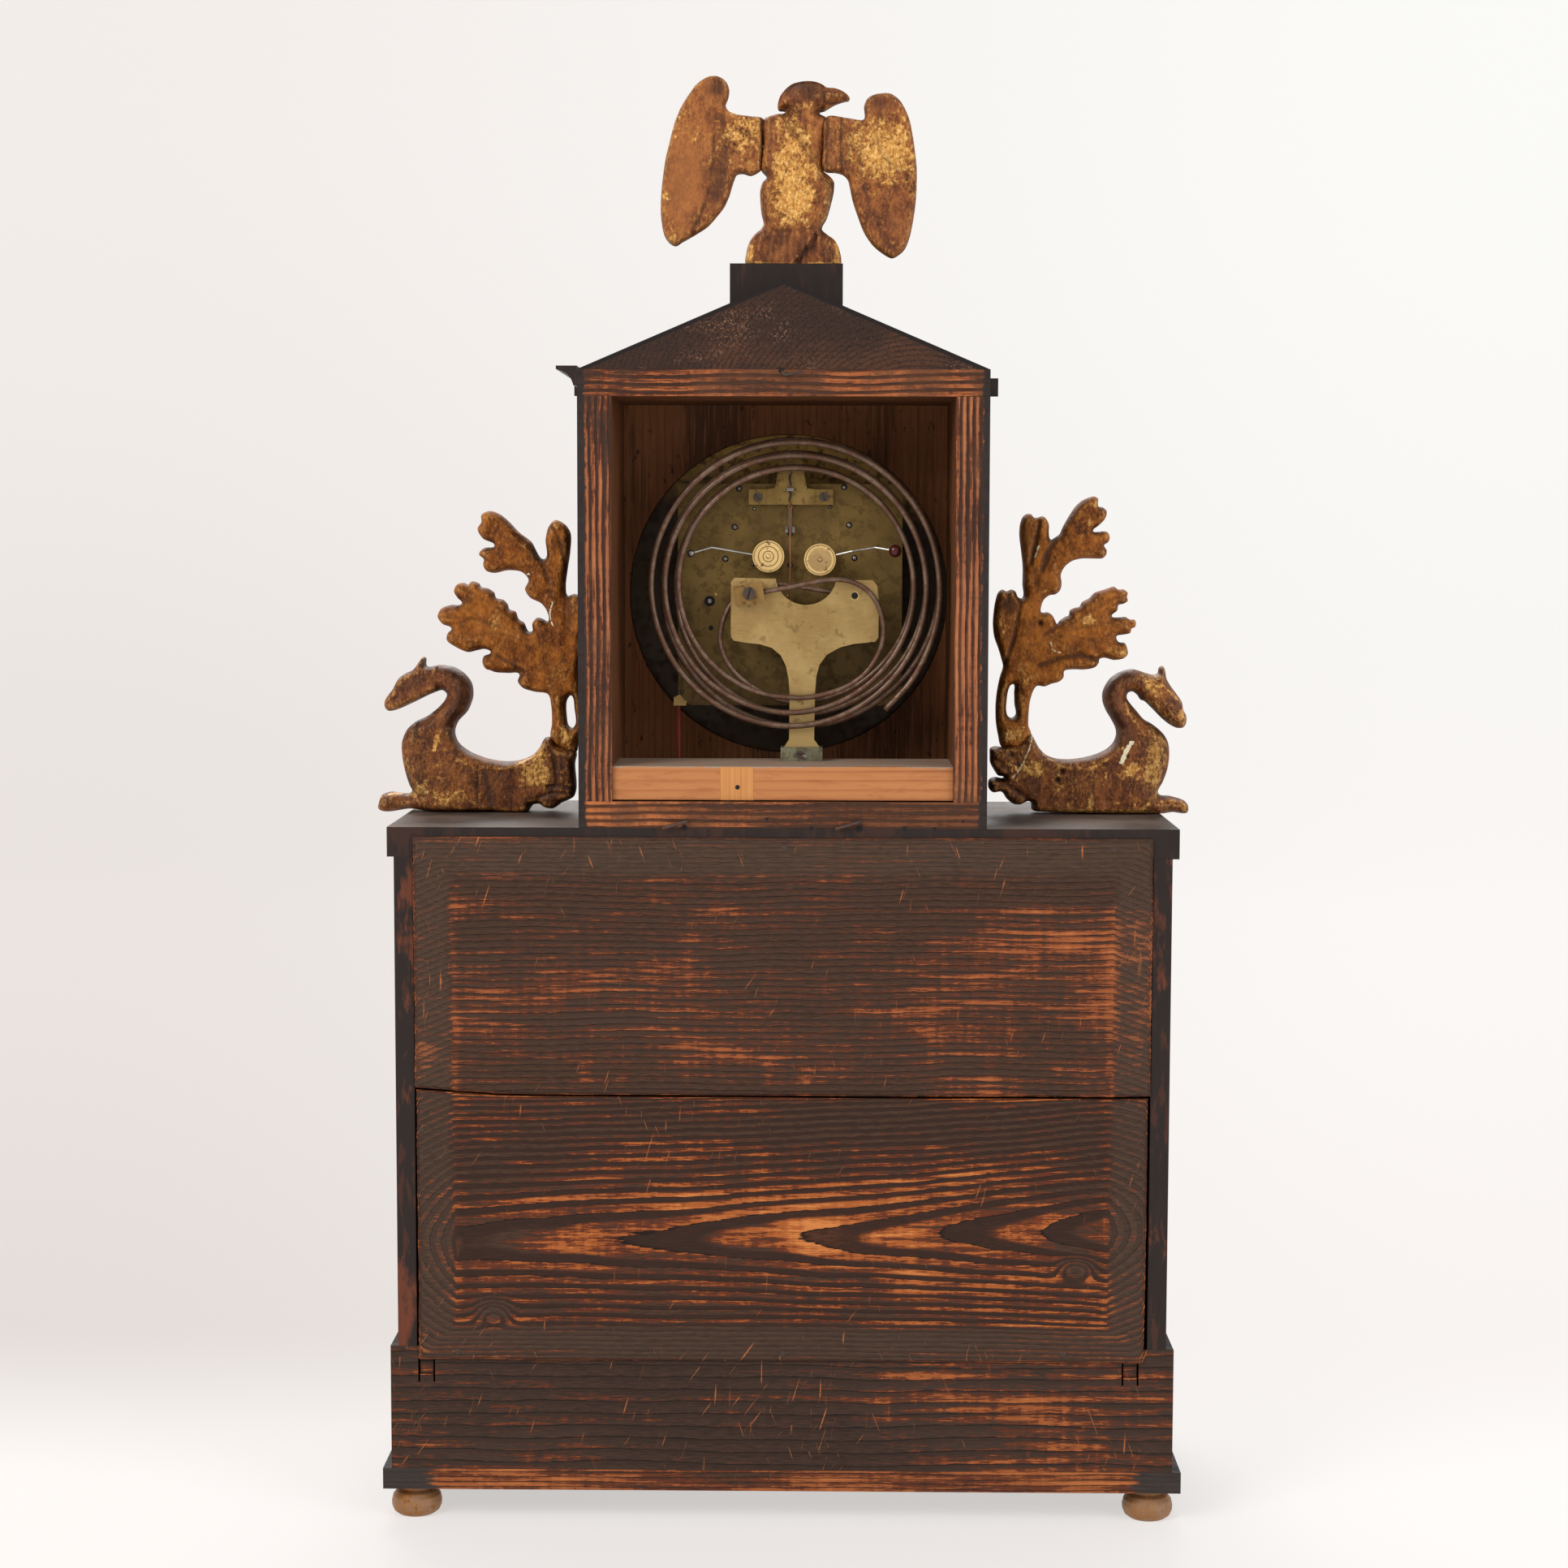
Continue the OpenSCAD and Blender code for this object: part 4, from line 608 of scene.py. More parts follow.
def dense(pts, step, soft=0.85):
    """a closed outline as a smooth curve"""
    P = np.array(pts, float)
    n = len(P)
    u = np.roll(P, -1, 0) - P
    ln = np.linalg.norm(u, axis=1)
    u = u / ln[:, None]
    T = u + np.roll(u, 1, 0)
    T /= np.maximum(np.linalg.norm(T, axis=1), 1e-6)[:, None]
    out = []
    for i in range(n):
        j = (i + 1) % n
        k = max(1, int(round(ln[i] / step)))
        t = (np.arange(k) / k)[:, None]
        m0, m1 = T[i] * ln[i] * soft, T[j] * ln[i] * soft
        out.append((2 * t**3 - 3 * t**2 + 1) * P[i] + (t**3 - 2 * t**2 + t) * m0 + (-2 * t**3 + 3 * t**2) * P[j] + (t**3 - t**2) * m1)
    return np.concatenate(out)


def seg_dist(P, A, B):
    out = np.full(len(P), 1e9)
    AB = B - A
    L2 = np.maximum((AB**2).sum(1), 1e-12)
    for s in range(0, len(P), 2500):
        Q = P[s:s + 2500, None, :] - A[None]
        t = np.clip((Q * AB[None]).sum(2) / L2[None], 0, 1)
        out[s:s + 2500] = np.sqrt((((Q - t[..., None] * AB[None])**2).sum(2)).min(1))
    return out


def inside(P, A, B):
    res = np.zeros(len(P), bool)
    for s in range(0, len(P), 2500):
        x, y = P[s:s + 2500, 0:1], P[s:s + 2500, 1:2]
        c = (A[None, :, 1] > y) != (B[None, :, 1] > y)
        with np.errstate(divide="ignore", invalid="ignore"):
            xi = A[None, :, 0] + (y - A[None, :, 1]) * (B - A)[None, :, 0] / (B - A)[None, :, 1]
        res[s:s + 2500] = (np.where(c, x < xi, False).sum(1) % 2) == 1
    return res


class Field:
    """relief and paint drawn on the outline's own grid"""
    def __init__(self, U):
        self.U = U
        # channels: relief at back and front, gold, grime with painted shade in grooves and holes, white chips, tone
        self.v = {k: np.zeros(len(U)) for k in ("back", "front", "gold", "dirt", "white", "tone")}
        self.v["gold"] += 0.5
        self.v["tone"] += 0.5

    def line(self, pts, w, **amt):
        P = np.array(pts, float)
        g = np.exp(-(seg_dist(self.U, P[:-1], P[1:]) / w)**2)
        self.put(g, amt)
        return g

    def blob(self, cx, cy, rx, ry=None, rot=0.0, soft=2.0, **amt):
        ry = ry or rx
        c, s = math.cos(math.radians(rot)), math.sin(math.radians(rot))
        dx, dy = self.U[:, 0] - cx, self.U[:, 1] - cy
        g = np.exp(-(((dx * c + dy * s) / rx)**2 + ((-dx * s + dy * c) / ry)**2)**(soft / 2))
        self.put(g, amt)
        return g

    def step(self, pts, w, side, **amt):
        """a ledge: full amount on one side of a line, fading along width w"""
        P = np.array(pts, float)
        best = np.full(len(self.U), 1e9)
        sd = np.zeros(len(self.U))
        for a, b in zip(P[:-1], P[1:]):
            ab = b - a
            q = self.U - a
            t = np.clip((q @ ab) / (ab @ ab), 0, 1)
            d = np.linalg.norm(q - t[:, None] * ab, axis=1)
            s = np.sign(ab[0] * q[:, 1] - ab[1] * q[:, 0])
            m = d < best
            best[m], sd[m] = d[m], (s * d)[m]
        g = 1 / (1 + np.exp(-sd * side / w * 3))
        self.put(g, amt)
        return g

    def put(self, g, amt):
        for k, a in amt.items():
            if k == "both":
                self.v["back"] += a * g
                self.v["front"] += a * g
            elif k in ("gold", "tone"):
                self.v[k] += a * g
            elif k in ("dirt", "white"):
                self.v[k] = np.maximum(self.v[k], a * g)
            else:
                self.v[k] += a * g


def nz(U, s, seed=0.0):
    return np.array([mnoise.noise((x * s, y * s, seed)) for x, y in U])


def scallops(U, ang, pv, pu, a):
    c, s = math.cos(math.radians(ang)), math.sin(math.radians(ang))
    v = (U[:, 0] * c + U[:, 1] * s) / pv
    u = (-U[:, 0] * s + U[:, 1] * c) / pu
    row = np.floor(v)
    fu = (u + 0.5 * (row % 2)) % 1.0 - 0.5
    fv = v - row
    edge = fv - 0.55 * (1 - (2 * fu)**2)
    h = np.where(edge < 0, 1.0 + edge, edge) - 0.25 * np.exp(-(fu / 0.09)**2)
    return a * (h - 0.5)


def carve(name, outlines, holes, tomm, ys, rim, Rb, Rf, paint, mat, node, step=0.85, mirror=False, unit=0.1, wob=0.25):
    """one carved piece: outlines in drawing units, tomm maps them to X and Z"""
    rings = [dense(o, 0.7 / unit) for o in outlines]
    hol = [dense(h, 0.6 / unit) for h in holes]
    allr = rings + hol
    A = np.concatenate(allr)
    B = np.concatenate([np.roll(r, -1, 0) for r in allr])
    pts = [A]
    for e in (0.12, 0.35, 0.75, 1.3, 2.0):
        for r in allr:
            t = np.roll(r, -1, 0) - np.roll(r, 1, 0)
            t /= np.maximum(np.linalg.norm(t, axis=1), 1e-6)[:, None]
            nrm = np.stack([-t[:, 1], t[:, 0]], 1)
            for sgn in (1, -1):
                q = r + nrm * sgn * e / unit
                q = q[inside(q, A, B)]
                if len(q):
                    q = q[seg_dist(q, A, B) > 0.85 * e / unit]
                    pts.append(q)
    g = step / unit
    lo, hi = A.min(0), A.max(0)
    xs, zs = np.arange(lo[0], hi[0], g), np.arange(lo[1], hi[1], g * 0.866)
    G = np.array([(x + (g / 2 if j % 2 else 0), z) for j, z in enumerate(zs) for x in xs])
    G = G[inside(G, A, B)]
    G = G[seg_dist(G, A, B) > (2.0 + 0.5 * step) / unit]
    pts.append(G)
    V = np.concatenate(pts)
    edges, k = [], 0
    for r in allr:
        edges += [(k + i, k + (i + 1) % len(r)) for i in range(len(r))]
        k += len(r)
    vo, _, fo_, _, _, _ = delaunay_2d_cdt([Vector(p) for p in V], edges, [], 0, 1e-4)
    U = np.array([tuple(v) for v in vo])
    F = np.array([tuple(f) for f in fo_])
    C = U[F].mean(1)
    F = F[inside(C, A, B)]
    used = np.unique(F)
    remap = np.full(len(U), -1)
    remap[used] = np.arange(len(used))
    U, F = U[used], remap[F]
    d = seg_dist(U, A, B) * unit
    rimv = d < 1e-3
    f = Field(U)
    rb, rf = np.full(len(U), float(Rb)), np.full(len(U), float(Rf))
    got = paint(f, rb, rf)
    prof = lambda t: np.sqrt(np.maximum(0, 1 - (1 - np.clip(t, 0, 1))**2))
    y0, y1 = ys
    yr_ = y0 + rim * (y1 - y0)
    m = np.clip(d / 1.1, 0, 1)
    m = m * m * (3 - 2 * m)
    w = nz(U * unit, 0.16, 3.1) * wob + nz(U * unit, 0.45, 8.3) * wob * 0.4
    yb = yr_ + (y1 - yr_) * prof(d / rb) + (f.v["back"] + w) * m
    yf = yr_ - (yr_ - y0) * prof(d / rf) - (f.v["front"] + w) * m
    gap = np.minimum(0.9, d * 0.9)
    mid = (yb + yf) / 2
    thin = (yb - yf) < gap * 2
    yb[thin], yf[thin] = (mid + gap)[thin], (mid - gap)[thin]
    yb = np.minimum(yb, y1 + 0.25)
    XZ = tomm(U)
    nb = len(U)
    idxf = np.arange(nb)
    idxf[~rimv] = nb + np.arange((~rimv).sum())
    co = np.concatenate([np.stack([XZ[:, 0], np.where(rimv, yr_, yb), XZ[:, 1]], 1), np.stack([XZ[:, 0], yf, XZ[:, 1]], 1)[~rimv]]) * MM
    area = np.cross(XZ[F[:, 1]] - XZ[F[:, 0]], XZ[F[:, 2]] - XZ[F[:, 0]])
    flip = area > 0
    FB = F.copy()
    FB[flip] = FB[flip][:, ::-1]
    FF = idxf[F]
    FF[~flip] = FF[~flip][:, ::-1]
    me = bpy.data.meshes.new(name)
    me.from_pydata(co.tolist(), [], np.concatenate([FB, FF]).tolist())
    me.shade_smooth()
    at = me.attributes.new("paint", "FLOAT_COLOR", "POINT")
    # paint channels: gold, grime with painted shade in grooves and holes, white chips, tone
    col = np.stack([np.clip(f.v["gold"], 0, 1), np.clip(f.v["dirt"], 0, 1), np.clip(f.v["white"], 0, 1), np.clip(f.v["tone"], 0, 1)], 1)
    col = np.concatenate([col, col[~rimv]])
    at.data.foreach_set("color", col.astype(np.float32).ravel())
    me.materials.append(M[mat])
    me.validate()
    o = link(bpy.data.objects.new(name, me))
    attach(o, "case")
    return o


EB = [[66.5, 34.5], [72, 31.8], [77.5, 30.5], [74, 29.5], [74.6, 23], [77, 19.6], [80.5, 16.6], [84, 15.4], [88, 14.8], [93, 15.2], [96.6, 16.6], [98.5, 18], [102, 18.3],
      [106, 19.5], [109, 21.5], [110.5, 23.5], [110, 24.8], [108.5, 25], [103, 26.8], [97.5, 30], [95, 31], [98.5, 33.5], [97, 48], [97.5, 61],
      [100, 63], [102.5, 66], [102.5, 71], [101, 78], [99, 85], [96.5, 90.5], [99, 93], [103, 96], [105.5, 101], [105.7, 109.4], [57.8, 109.4], [58, 101],
      [59.5, 96.5], [62, 93], [65.5, 90], [66.5, 88], [65.5, 83], [64.8, 76], [64.8, 70], [66, 66.5], [68, 64], [65.3, 60.5], [66.2, 48]]
WL = [[66.5, 34.5], [66.2, 48], [65.3, 60.5], [63.5, 62], [60, 63.5], [56, 62.5], [53, 63], [51.5, 66], [49, 74], [46.4, 79.6], [43, 84], [38, 89.5], [32, 93.5], [25, 97.5],
      [21.5, 99.5], [18.5, 98], [16, 94.5], [14, 84], [14, 75], [15, 64], [16.5, 54], [18.5, 46], [20.5, 38], [24.5, 28], [29, 21], [32, 17],
      [37, 13.5], [41.5, 12.5], [45.5, 13.8], [48, 16.5], [49, 20], [48.5, 24], [47.2, 28], [49, 30.5], [53, 32], [60, 33]]
WR = [[98.5, 33.5], [107.5, 33.6], [113, 34.5], [117.5, 34.6], [117.7, 28], [119, 24.5], [121.5, 22.5], [126, 21.4], [131, 21.5], [135.5, 24.5], [138.5, 29],
      [141, 35], [143, 45], [144.8, 60], [144.5, 75], [143, 87], [141, 96], [138.5, 101.5], [135, 104.5], [132.5, 105.6], [128, 103.5], [122.5, 99],
      [118, 92.5], [115, 85], [112, 76], [110.5, 69], [109.5, 65.5], [107, 63], [103.5, 62], [97.5, 61], [97, 48]]
X10 = lambda L: [(a * 10, b * 10) for a, b in L]


def eagle_mm(U):
    return np.stack([-(U[:, 0] * 0.0877 - 68), 565 + (1094 - U[:, 1]) * 0.0866], 1)


# the darkening laid along carved grooves and into holes is painted shade; the broader dark patches are grime
def paint_eagle_body(f, rb, rf):
    U = f.U
    x, y = U[:, 0], U[:, 1]
    rb += 0.8
    head = y < 330
    rb[head] = 6.5
    rf[head] = 7.5
    f.blob(870, 235, 60, 50, both=0.8)
    f.line([(772, 190), (850, 152), (960, 168)], 14, back=-0.5, dirt=0.5)
    for i in range(6):
        f.line([(775 + 8 * i, 235 - 13 * i), (860, 182 - 7 * i), (958, 205 - 8 * i)], 5, both=-0.22, dirt=0.3)
    f.line([(966, 170), (975, 240), (968, 310)], 7, both=-0.9, dirt=0.9)
    f.line([(985, 268), (1040, 262), (1085, 264)], 5, both=-0.5, dirt=0.8)
    f.blob(912, 243, 13, 10, both=0.8, dirt=0.7)
    f.line([(890, 226), (915, 222), (940, 234)], 6, both=0.5)
    f.blob(900, 285, 50, 26, gold=0.35)
    f.blob(860, 180, 110, 55, gold=-0.5, tone=-0.35, dirt=0.35)
    f.blob(1050, 225, 50, 30, gold=-0.1, tone=-0.2)
    f.blob(800, 560, 130, 250, gold=0.42, soft=4)
    f.blob(835, 800, 90, 120, gold=0.30, soft=3)
    f.blob(720, 470, 45, 60, gold=-0.25)
    f.line([(690, 380), (700, 560), (690, 640)], 16, gold=-0.35, dirt=0.3)
    f.line([(975, 640), (1020, 700), (1012, 830), (950, 915)], 9, back=-1.2, dirt=0.8)
    f.step([(975, 640), (1020, 700), (1012, 830), (950, 915)], 14, -1, back=-2.5)
    for k in range(5):
        q = 985 + 11 * k
        f.line([(q - 20, 660), (q + 12, 720), (q + 6, 820), (q - 30, 900)], 3.5, back=-0.5, dirt=0.5, gold=0.2)
    f.line([(668, 655), (664, 760), (690, 875)], 9, back=-0.9, dirt=0.6)
    f.blob(780, 1010, 150, 80, gold=-0.5, tone=-0.1, soft=4)
    for k, q in enumerate((640, 672, 700, 725, 757, 790, 822, 850, 880, 920, 960, 1000)):
        f.line([(q + (12 if k % 2 else 4), 925), (q - (q - 830) * -0.06, 1000), (q + (q - 830) * 0.12, 1092)], 6, back=-0.45, dirt=0.45)
    f.line([(605, 1000), (590, 1090)], 14, gold=0.6)
    f.line([(1040, 985), (1050, 1085)], 12, gold=0.6)
    f.line([(600, 1085), (1050, 1088)], 6, gold=0.5)
    f.line([(665, 905), (740, 925), (860, 915), (965, 905)], 9, back=-0.5, dirt=0.4)
    for a, b in ((700, 520), (925, 780), (770, 845), (690, 960)):
        f.blob(a, b, 6, 6, back=-1.0, dirt=1.0)
    f.v["back"] += 0.18 * np.sin((x + 0.15 * y + 20 * nz(U, 0.01, 2)) / 9.0)
    f.v["front"] += np.where(y > 330, scallops(U, 90, 62, 70, 0.9), 0)
    f.v["front"] += np.where(y > 900, 0.6 * np.sin(x / 14), 0)


# the darkening laid along carved grooves and into holes is painted shade; the broader dark patches are grime
def wing(f, side, rb, rf):
    U = f.U
    x, y = U[:, 0], U[:, 1]
    rb += 0
    if side < 0:
        f.line([(412, 440), (410, 560), (392, 700), (350, 830), (300, 935)], 10, back=-0.8, dirt=0.6)
        f.step([(412, 440), (410, 560), (392, 700), (350, 830), (300, 935)], 22, 1, back=0.8, tone=0.1)
        f.line([(440, 330), (435, 430), (425, 540)], 12, back=0.5, gold=0.1)
        f.line([(455, 330), (470, 460), (480, 560), (450, 700)], 10, back=-0.7, dirt=0.5)
        f.blob(445, 640, 40, 150, 12, tone=-0.3, dirt=0.35, gold=-0.2)
        for k in range(9):
            f.line([(330 + k * 9, 520 + k * 3), (322 + k * 9, 640 + k * 3)], 3, back=-0.22, dirt=0.12)
        f.blob(300, 430, 70, 100, -25, gold=0.30)
        f.blob(560, 440, 90, 110, gold=0.34)
        f.blob(260, 640, 90, 220, 8, gold=-0.32, tone=0.25, soft=3)
        f.blob(170, 740, 20, 24, gold=0.9)
        f.blob(200, 960, 26, 16, gold=0.5, dirt=0.3)
        f.blob(430, 190, 60, 60, dirt=0.65, gold=-0.25)
        f.line([(655, 345), (662, 470), (655, 605)], 9, back=-0.8, dirt=0.95)
        f.line([(640, 345), (645, 470), (636, 605)], 6, white=0.6)
        for a, b in ((580, 410), (575, 560), (520, 480)):
            f.blob(a, b, 6, back=-1.2, dirt=1.0)
        f.line([(530, 400), (560, 430), (600, 420), (630, 470)], 8, back=-0.6, dirt=0.4)
        f.line([(500, 380), (540, 520), (590, 600)], 9, back=0.4)
        f.v["front"] += scallops(U, 100, 110, 60, 1.1)
    else:
        f.line([(1170, 380), (1150, 520), (1180, 700), (1250, 880), (1310, 1000)], 12, back=-0.6, dirt=0.3)
        f.line([(1330, 300), (1370, 480), (1370, 700), (1330, 950)], 12, back=0.5)
        f.line([(1250, 330), (1240, 450), (1290, 560), (1400, 640)], 11, back=-0.5, dirt=0.3)
        f.blob(1270, 520, 150, 190, gold=0.42, soft=3)
        f.blob(1120, 450, 60, 110, gold=0.12, dirt=0.15)
        f.blob(1330, 850, 90, 170, gold=-0.22, tone=-0.1)
        f.blob(1255, 270, 80, 50, gold=-0.35, dirt=0.45)
        f.line([(1002, 345), (998, 470), (1000, 605)], 26, white=0.42, dirt=0.3)
        f.line([(1062, 345), (1058, 470), (1066, 615)], 7, back=-0.7, dirt=0.9)
        f.line([(990, 345), (985, 470), (988, 605)], 5, back=-0.8, dirt=0.9)
        for a, b in ((1120, 420), (1105, 570), (1220, 640)):
            f.blob(a, b, 6, back=-1.2, dirt=1.0)
        f.line([(1080, 380), (1110, 470), (1090, 580)], 9, back=-0.5, dirt=0.4)
        f.v["front"] += scallops(U, 80, 110, 60, 1.1)
    f.v["back"] += 0.14 * np.sin((x * 0.9 + 0.3 * y * side + 26 * nz(U, 0.008, 4 + side)) / 8.0) + 0.35 * nz(U, 0.02, 7 + side)


SW = [[7, 150], [7.2, 146.5], [8.6, 143.6], [12, 142.4], [22, 142], [20.8, 139], [18.3, 130], [17.6, 120], [20, 114], [24, 110.4], [29, 108], [34, 104.2], [37.5, 100.2], [38.2, 98],
      [36.4, 96.3], [32, 97.5], [23, 101.8], [15, 105.2], [12, 105.6], [10.4, 104], [10.3, 101], [14, 95.5], [16.5, 91], [19.6, 88.6], [23, 87], [26.5, 82.5], [27.6, 81.2], [28.6, 81.6], [29, 85.3],
      [35, 84.8], [41, 85.6], [46, 88.6], [49.3, 93], [49.9, 99], [47.5, 105.5], [43, 110.6], [41.6, 115], [43, 119.6], [48, 123.8], [56, 127], [64, 128.3], [71, 127.8],
      [77, 125.2], [80.2, 121.6], [82.5, 117.6], [85, 117.2], [88, 121], [96.5, 124], [96, 129], [95.5, 144], [90, 147], [86, 149.6], [82, 149], [80, 147.6], [77, 148],
      [74.5, 151], [58, 151], [30, 151], [22, 150]]
FO = [[85, 117.2], [85.6, 111], [85.3, 103], [84, 98], [78, 96.8], [72.5, 95], [70.3, 92], [71, 88.8], [66, 88.4], [60, 88], [58, 87.2], [56, 86.6], [54.4, 83.6], [55, 80.8], [58.2, 79],
      [55.5, 77.6], [52, 78.2], [48, 79], [43, 77], [38.4, 73.5], [38.8, 70.5], [40.6, 68.4], [36.6, 66.4], [34.4, 63], [36, 59.4], [40, 57.8], [45.4, 57], [43.4, 54.6],
      [41.8, 51.6], [43.4, 48.4], [46.4, 47.8], [48.4, 48.6], [49.6, 47.2], [53, 48.0], [54, 49.6], [57.4, 50.4], [59.9, 52.2], [60.6, 54.4], [64, 55.4], [66, 57.6], [66.6, 59.6], [69.4, 60.6], [70.8, 64], [73.2, 65.6], [75.4, 69.6],
      [77.0, 69.4], [77.0, 66], [79.2, 63.4], [82, 64], [84, 65], [83.4, 60], [81, 57], [76, 54.4], [73.8, 50.6], [75.4, 46.4], [72.4, 43], [66, 42.2], [60, 43.4], [56.4, 42.4], [55, 39.6],
      [55.4, 37.4], [53.2, 35], [55.4, 32.2], [60.2, 31.2], [55, 28], [52.6, 23.6], [54.4, 20.6], [54.4, 17.4], [58, 15.6], [62.6, 17], [67, 20.6], [71.4, 25.2], [76.6, 29.2], [82.6, 37],
      [83.2, 28], [84.6, 22.6], [87.6, 19.6], [92, 21.6], [94.4, 25.4], [94.2, 34], [93, 42], [92.2, 49], [93, 53.4], [96, 52.6], [100, 54.2], [103.2, 55], [103.2, 77],
      [99.6, 82], [98, 88], [99.4, 96], [100, 106], [99.6, 114], [97.6, 120], [96.5, 124], [88, 121]]
FS = [[94.4, 98.4], [92.6, 100.4], [92.4, 108], [93.2, 112], [94.8, 113], [96.2, 111.4], [95.8, 104], [95.2, 99.4]]
SR = [(968, 1508), (972, 1478), (958, 1458), (930, 1445), (885, 1434), (845, 1430), (836, 1418), (858, 1370), (878, 1310), (885, 1240), (878, 1190), (862, 1160), (835, 1132), (800, 1106),
      (768, 1088), (735, 1050), (705, 1015), (690, 990), (695, 970), (715, 964), (738, 980), (752, 1000), (768, 1006), (800, 1035), (850, 1085), (890, 1115), (920, 1128), (945, 1125),
      (958, 1105), (958, 1070), (945, 1045), (938, 1010), (915, 975), (885, 935), (868, 905), (862, 875), (855, 853), (844, 848), (833, 860), (829, 882), (808, 888), (775, 880),
      (745, 870), (715, 863), (685, 867), (650, 880), (618, 903), (595, 935), (582, 970), (583, 1010), (598, 1050), (622, 1090), (642, 1130), (645, 1160), (632, 1195), (605, 1222),
      (560, 1245), (500, 1262), (440, 1270), (385, 1268), (345, 1258), (315, 1238), (290, 1205), (275, 1175), (255, 1150), (200, 1190), (130, 1215), (100, 1212), (78, 1222),
      (76, 1250), (78, 1285), (95, 1318), (115, 1345), (140, 1352), (100, 1352), (75, 1362), (72, 1400), (90, 1420), (130, 1418), (155, 1450), (185, 1473), (215, 1475), (250, 1460),
      (263, 1465), (268, 1498), (330, 1508), (400, 1512), (540, 1514), (665, 1516), (750, 1514), (850, 1516), (900, 1508)]
FR = [(150, 1215), (130, 1215), (112, 1160), (102, 1100), (100, 1030), (105, 970), (118, 900), (132, 850), (125, 820), (110, 770), (92, 720), (85, 660), (88, 610), (95, 560),
      (108, 520), (125, 506), (145, 515), (165, 506), (185, 515), (197, 540), (214, 545), (216, 480), (216, 400), (208, 330), (200, 260), (203, 215), (215, 182), (235, 168),
      (255, 172), (265, 185), (285, 183), (303, 178), (320, 190), (332, 215), (333, 260), (340, 282), (362, 272), (380, 258), (395, 225), (420, 180), (450, 135), (480, 108),
      (510, 95), (535, 90), (550, 100), (553, 135), (570, 138), (588, 152), (590, 170), (580, 195), (555, 220), (530, 245), (555, 248), (575, 245), (595, 250), (605, 270),
      (598, 295), (580, 308), (592, 330), (590, 350), (575, 366), (540, 368), (480, 368), (440, 378), (405, 405), (388, 440), (392, 480), (385, 510), (365, 528), (340, 532),
      (315, 550), (302, 580), (302, 608), (330, 608), (350, 620), (365, 645), (372, 660), (385, 645), (410, 628), (425, 622), (430, 600), (450, 588), (472, 583), (485, 562),
      (515, 545), (540, 520), (575, 508), (600, 500), (625, 492), (645, 505), (670, 505), (688, 520), (685, 540), (690, 555), (670, 570), (648, 575), (642, 600), (618, 625),
      (650, 630), (680, 628), (700, 640), (720, 640), (727, 655), (722, 675), (708, 680), (702, 700), (670, 708), (640, 716), (650, 740), (678, 745), (688, 765), (692, 795),
      (672, 815), (630, 822), (585, 812), (565, 818), (562, 835), (545, 855), (500, 865), (440, 865), (408, 872), (405, 900), (385, 920), (350, 930), (320, 942), (285, 940),
      (270, 960), (255, 1010), (250, 1060), (250, 1120), (262, 1155), (240, 1200), (200, 1225)]
FRH = [(168, 936), (180, 932), (183, 970), (185, 1020), (190, 1070), (172, 1083), (156, 1075), (149, 1050), (151, 1000), (157, 960)]


def left_mm(U):
    return np.stack([90.5 + (1034 - U[:, 0]) * 0.1036, 315.2 + (1510 - U[:, 1]) * 0.1036], 1)


def right_mm(U):
    return np.stack([-np.maximum(87.9 + U[:, 0] * 0.1036, 90.6), 315.2 + np.maximum(1514 - U[:, 1], 0) * 0.1036], 1)
